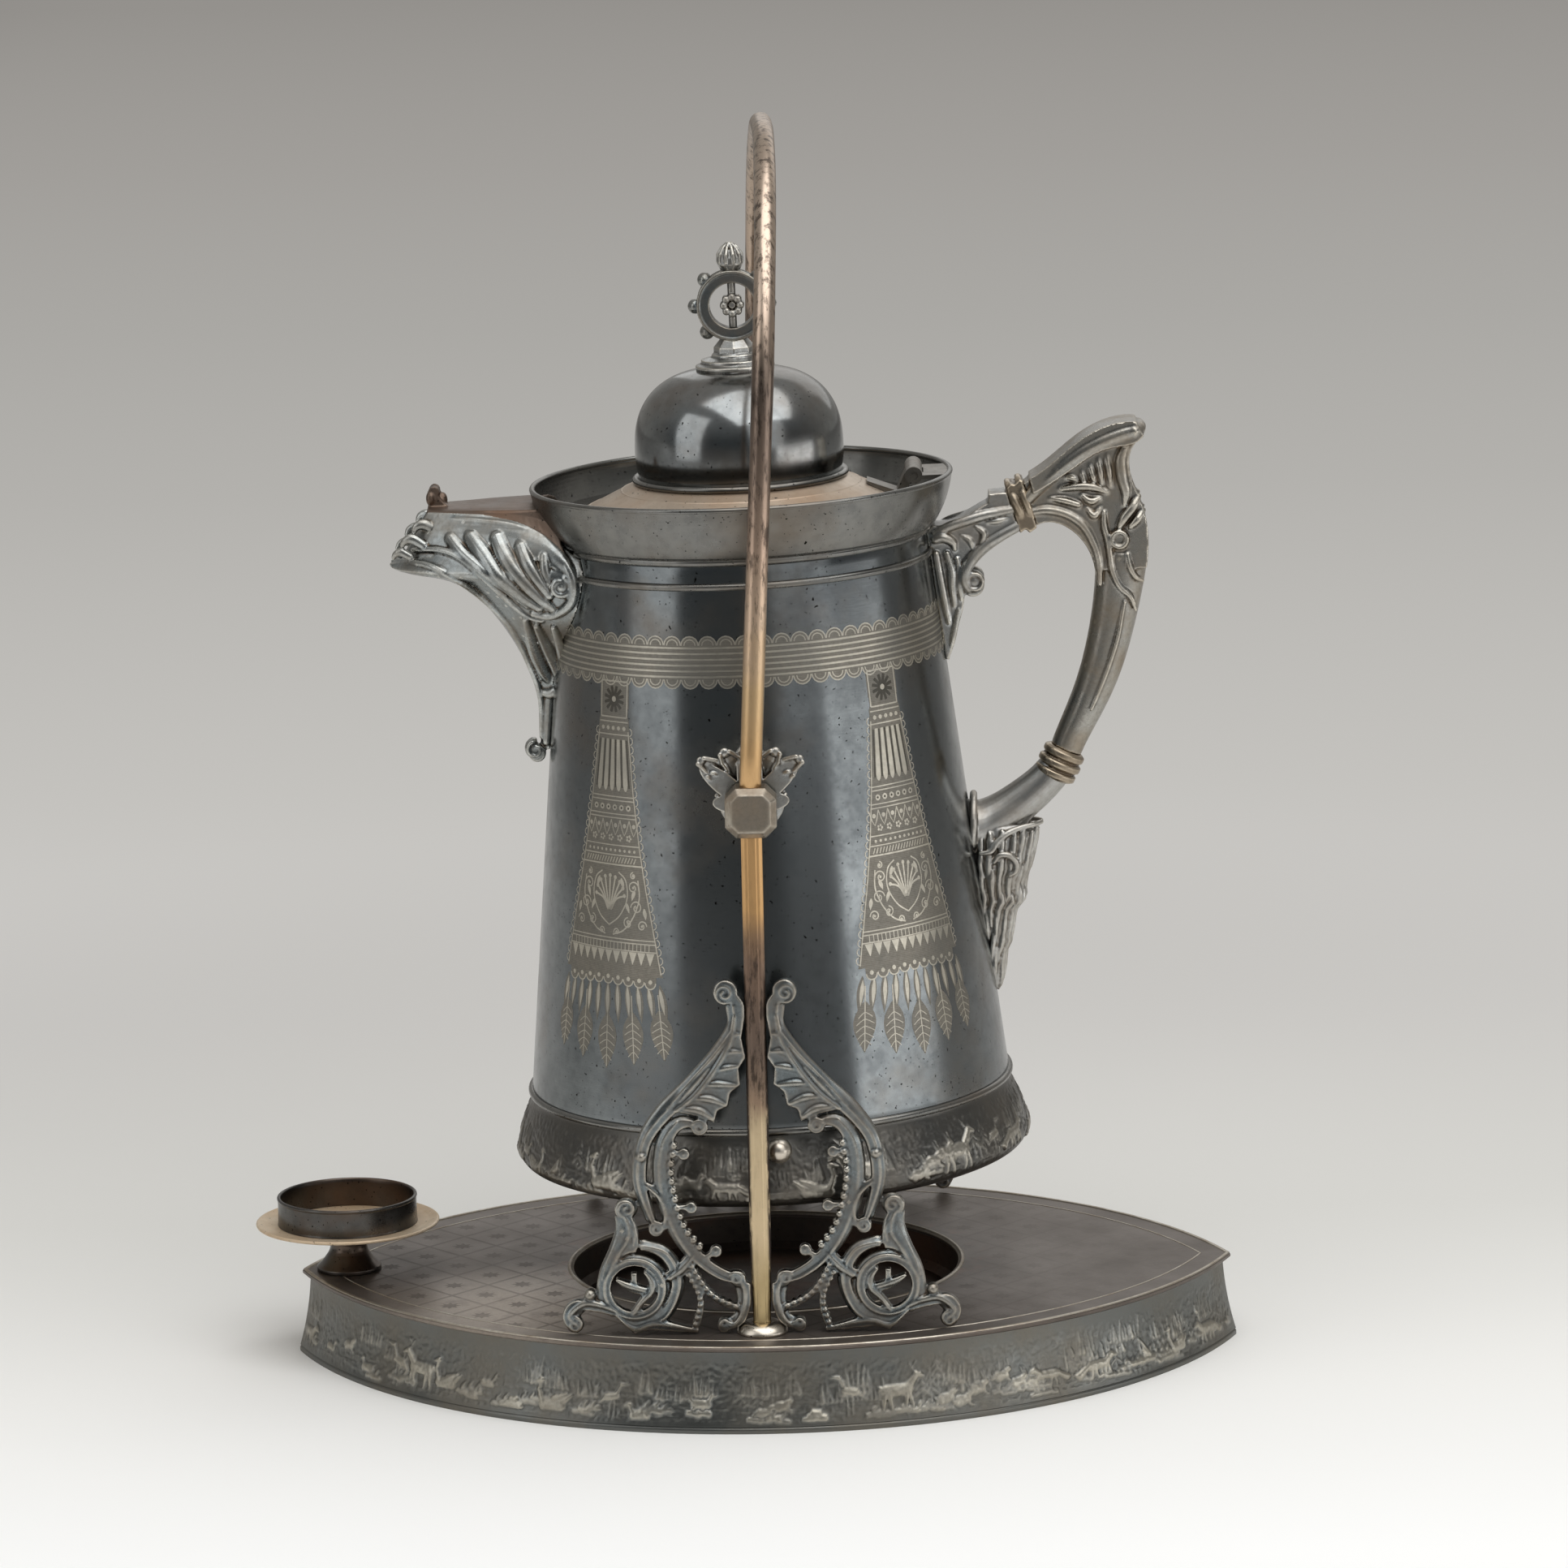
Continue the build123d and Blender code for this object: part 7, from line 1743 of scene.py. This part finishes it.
# %% [markdown]
# A pendant widens as it falls: a square rosette, a row of dots, five tapered flutes, arches and
# flowers, a palmette between scrolls, a row of triangles, lobed tabs, feathers and leaves. It is
# written about its own middle line and repeated at four places round the cone.

# %% Pendant
PENDANT_Z = (276.0, 266.0, 241.0, 220.0, 205.0, 184.0, 171.0)
PENDANT_HALF = (6.6, 8.0, 11.2, 14.8, 18.0, 23.0, 26.0)


def pendant_half(z):
    """Half width of a pendant at a height."""
    return np.interp(z, PENDANT_Z[::-1], PENDANT_HALF[::-1])


def leaf_patch(x, z, length, half, centre, lift, lean_by=0.0, columns=5):
    """A pointed leaf that hangs from a place."""
    t = np.linspace(0, 1, 9)
    halves = half * np.sin(math.pi * np.clip(t, 0.02, 0.985) ** 0.8)
    return patch(x + lean_by * t * length, halves, z - length * t, centre, lift, columns)


def pendant(centre):
    """Lines, grounds and dark recesses of one pendant, about an azimuth in radians."""
    cuts, fields, hollows = [], [], []

    def cut(points, width=0.5):
        cuts.append(line_on_cone(points, width, centre))

    def dot(x, z, radius, lift=LINE, store=None):
        heights = z + radius * np.array([-0.98, -0.6, 0, 0.6, 0.98])
        (cuts if store is None else store).append(
            patch(x, radius * np.array([0.2, 0.8, 1, 0.8, 0.2]), heights, centre, lift, 3))

    def across(z, width=0.6, inset=0.0):
        half = pendant_half(z) - inset
        cut([(x, z) for x in np.linspace(-half, half, 13)], width)

    body = np.linspace(171.0, 276.0, 54)
    scallop = 0.55 * np.abs(np.sin(body * math.pi / 3.4))
    fields.append(patch(0, pendant_half(body) + scallop, body, centre, GROUND, 17))
    top = np.linspace(275.0, 286.6, 7)
    fields.append(patch(0, np.full(7, 7.6), top, centre, GROUND, 7))
    # Side borders: a line and a row of small arcs
    for side in (-1, 1):
        cut([(side * (pendant_half(z) - 0.3), z) for z in np.linspace(172, 266, 48)], 0.45)
        for z in np.arange(174, 266, 3.4):
            x = side * (pendant_half(z) + 0.1)
            cut(bow(x, z, 1.5, -80 if side > 0 else 100, 80 if side > 0 else 260, 6), 0.4)
    # Rosette with twelve dark petals
    for k in range(12):
        t = k * math.pi / 6 + 0.26
        points = [(r * math.sin(t), 278.4 + r * math.cos(t)) for r in (1.2, 2.6, 4.0, 5.2)]
        hollows.append(line_on_cone(points, 1.25, centre))
    dot(0, 278.4, 1.1)
    for x0, z0, x1, z1 in ((-6.8, 271.4, 6.8, 271.4), (6.8, 271.4, 6.8, 285.4), (6.8, 285.4, -6.8, 285.4),
                           (-6.8, 285.4, -6.8, 271.4)):
        cut(np.linspace((x0, z0), (x1, z1), 5), 0.6)
    # Row of dots
    across(269.6, 0.5)
    across(264.6, 0.5)
    for x in np.linspace(-5.6, 5.6, 5):
        dot(x, 267.1, 0.85)
    # Flutes, dark between and pale inside
    for k in range(-2, 3):
        low, high = 3.55 * k, 2.75 * k
        heights = np.array([242.6, 243.4, 245.2, 253, 262.8])
        middle = np.interp(heights, (242.6, 262.8), (low, high))
        cuts.append(patch(middle, (0.25, 0.8, 1.15, 0.95, 0.7), heights, centre, LINE, 3))
    for k in (-2.5, -1.5, -0.5, 0.5, 1.5, 2.5):
        hollows.append(line_on_cone([(3.5 * k, 244), (3.1 * k, 254), (2.8 * k, 262.6)], 0.55, centre))
    # Band of rosettes between double lines
    for z in (240.4, 238.9, 233.6, 232.1):
        across(z, 0.45)
    for x in np.linspace(-8.6, 8.6, 6):
        dot(x, 236.2, 1.2)
        dot(x, 236.2, 0.45, LINE + 0.03, hollows)
    # Pointed arches with flowers
    half = pendant_half(226)
    for k in range(6):
        x = -half + (k + 0.5) * half / 3
        w = half / 6
        cut([(x - w, 231.4), (x - w * 0.5, 227.6), (x, 225.4), (x + w * 0.5, 227.6), (x + w, 231.4)], 0.45)
        dot(x, 229.2, 0.9)
    for k in range(5):
        x = -half + (k + 1) * half / 3
        for t in np.arange(5) * 2 * math.pi / 5:
            dot(x + 0.95 * math.cos(t), 224.4 + 0.95 * math.sin(t), 0.5)
    across(221.4, 0.45)
    for x in np.arange(-12, 12.1, 2.4):
        dot(x, 219.4, 0.6)
    across(217.6, 0.45)
    for x in np.arange(-13.2, 13.3, 1.5):
        cut([(x - 0.5, 214.6), (x + 0.5, 216.8)], 0.45)
    across(213.8, 0.6)
    # Palmette between scrolls
    for k in range(-4, 5):
        t = math.radians(k * 21)
        tip = (7.6 * math.sin(t), 201.0 + 8.4 * math.cos(t))
        bend = (3.6 * math.sin(t * 1.25), 198.6 + 4.4 * math.cos(t * 0.8))
        cut(curve_through([(0.5 * k * 0.4, 196.0), bend, tip], 4), 0.75)
        dot(*tip, 0.8)
    for side in (-1, 1):
        heart = [(0, 190.0), (side * 5.4, 194.0), (side * 9.0, 201.0), (side * 8.0, 208.0),
                 (side * 4.4, 211.0)]
        cut(curve_through(heart, 5), 0.55)
        for x, z, radius, start, turn in ((11.8, 205.4, 2.6, 0, 1.2), (13.6, 197.6, 2.8, 180, -1.2),
                                          (9.6, 191.4, 2.2, 90, 1.2), (16.4, 190.6, 2.2, 0, 1.2),
                                          (4.0, 187.6, 1.5, 200, -1.1), (11.6, 210.0, 1.4, 90, 1.1)):
            run = curl((side * x, z), radius, start if side > 0 else 180 - start, turn * side, 0.3)
            cut(run, 0.5)
            dot(side * x, z, 0.55)
        stem = [(side * 2.0, 186.4), (side * 7.4, 188.4), (side * 12.0, 193.6), (side * 14.8, 201.0),
                (side * 14.0, 208.4)]
        cut(curve_through(stem, 5), 0.6)
        for x, z, lean_by in ((8.4, 197.6, 0.4), (12.6, 202.6, -0.3), (17.2, 195.6, 0.2), (5.8, 206.8, 0.3)):
            cuts.append(leaf_patch(side * x, z + 2.0, 4.4, 0.9, centre, LINE, lean_by * side, 3))
    # Grid border, triangles and tabs
    for z in (185.0, 183.6, 180.6):
        across(z, 0.45)
    for x in np.arange(-20, 20.1, 1.9):
        cut([(x, 180.8), (x, 183.4)], 0.35)
    for k in range(-5, 6):
        x = k * 4.1
        heights = np.array([175.4, 177.0, 178.6, 180.2])
        cuts.append(patch(x, np.array([0.1, 0.7, 1.3, 1.9]), heights, centre, LINE, 3))
    for k in range(-4, 5):
        x = k * 5.2
        drop = 171.6 - 0.10 * abs(k) ** 1.5
        heights = drop + np.array([-4.6, -4.2, -3.2, -1.6, 0.4])
        fields.append(patch(x, np.array([0.7, 1.7, 2.4, 2.6, 2.6]), heights, centre, GROUND, 5))
        cut(bow(x, drop - 2.2, 2.4, 180, 360, 9), 0.5)
        dot(x, drop - 1.8, 0.9)
    # Feathers and hanging leaves
    for k in range(-5, 6):
        x, spread = k * 5.0, k * 0.050
        fields.append(leaf_patch(x, 168.0, 17.0 - abs(k) * 0.5, 1.7, centre, GROUND, spread))
        cuts.append(leaf_patch(x, 166.5, 12.6 - abs(k) * 0.5, 0.9, centre, LINE, spread, 3))
    for k in range(-2, 3):
        x, spread = k * 12.6, k * 0.07
        high = 155.0 + abs(k) * 1.5
        length = 21.5 - abs(k)
        fields.append(leaf_patch(x, high, length, 5.0, centre, GROUND, spread, 7))
        rib = [(x + spread * length * t, high - length * t) for t in np.linspace(-0.32, 0.97, 10)]
        cut(rib, 0.45)
        for t in np.linspace(0.2, 0.75, 5):
            mid_x, mid_z = x + spread * length * t, high - length * t
            reach = 4.1 * math.sin(math.pi * t**0.8)
            for side in (-1, 1):
                cut([(mid_x, mid_z), (mid_x + side * reach * 0.5, mid_z - 0.9),
                     (mid_x + side * reach, mid_z - 2.2)], 0.32)
    return cuts, fields, hollows


for azimuth in (-42, 42, 138, 222):
    cuts, fields, hollows = pendant(math.radians(azimuth))
    lines += cuts
    grounds += fields
    darks += hollows


for name, bits, finish in (("engraved_ground", grounds, hatched_ground), ("engraved_lines", lines, cut_lines),
                           ("engraved_recesses", darks, dark_cut)):
    points, faces = join(*bits)
    piece(name, (lean(points), faces), "pitcher", finish, "silver_plate")
print("Engraving:", len(lines), "lines,", len(grounds), "grounds and", len(darks), "recesses")

# %% [markdown]
# The last cell counts the pieces and their faces.

# %% Pieces and faces
print(len(made), "pieces,", sum(count for _, count in made), "faces")
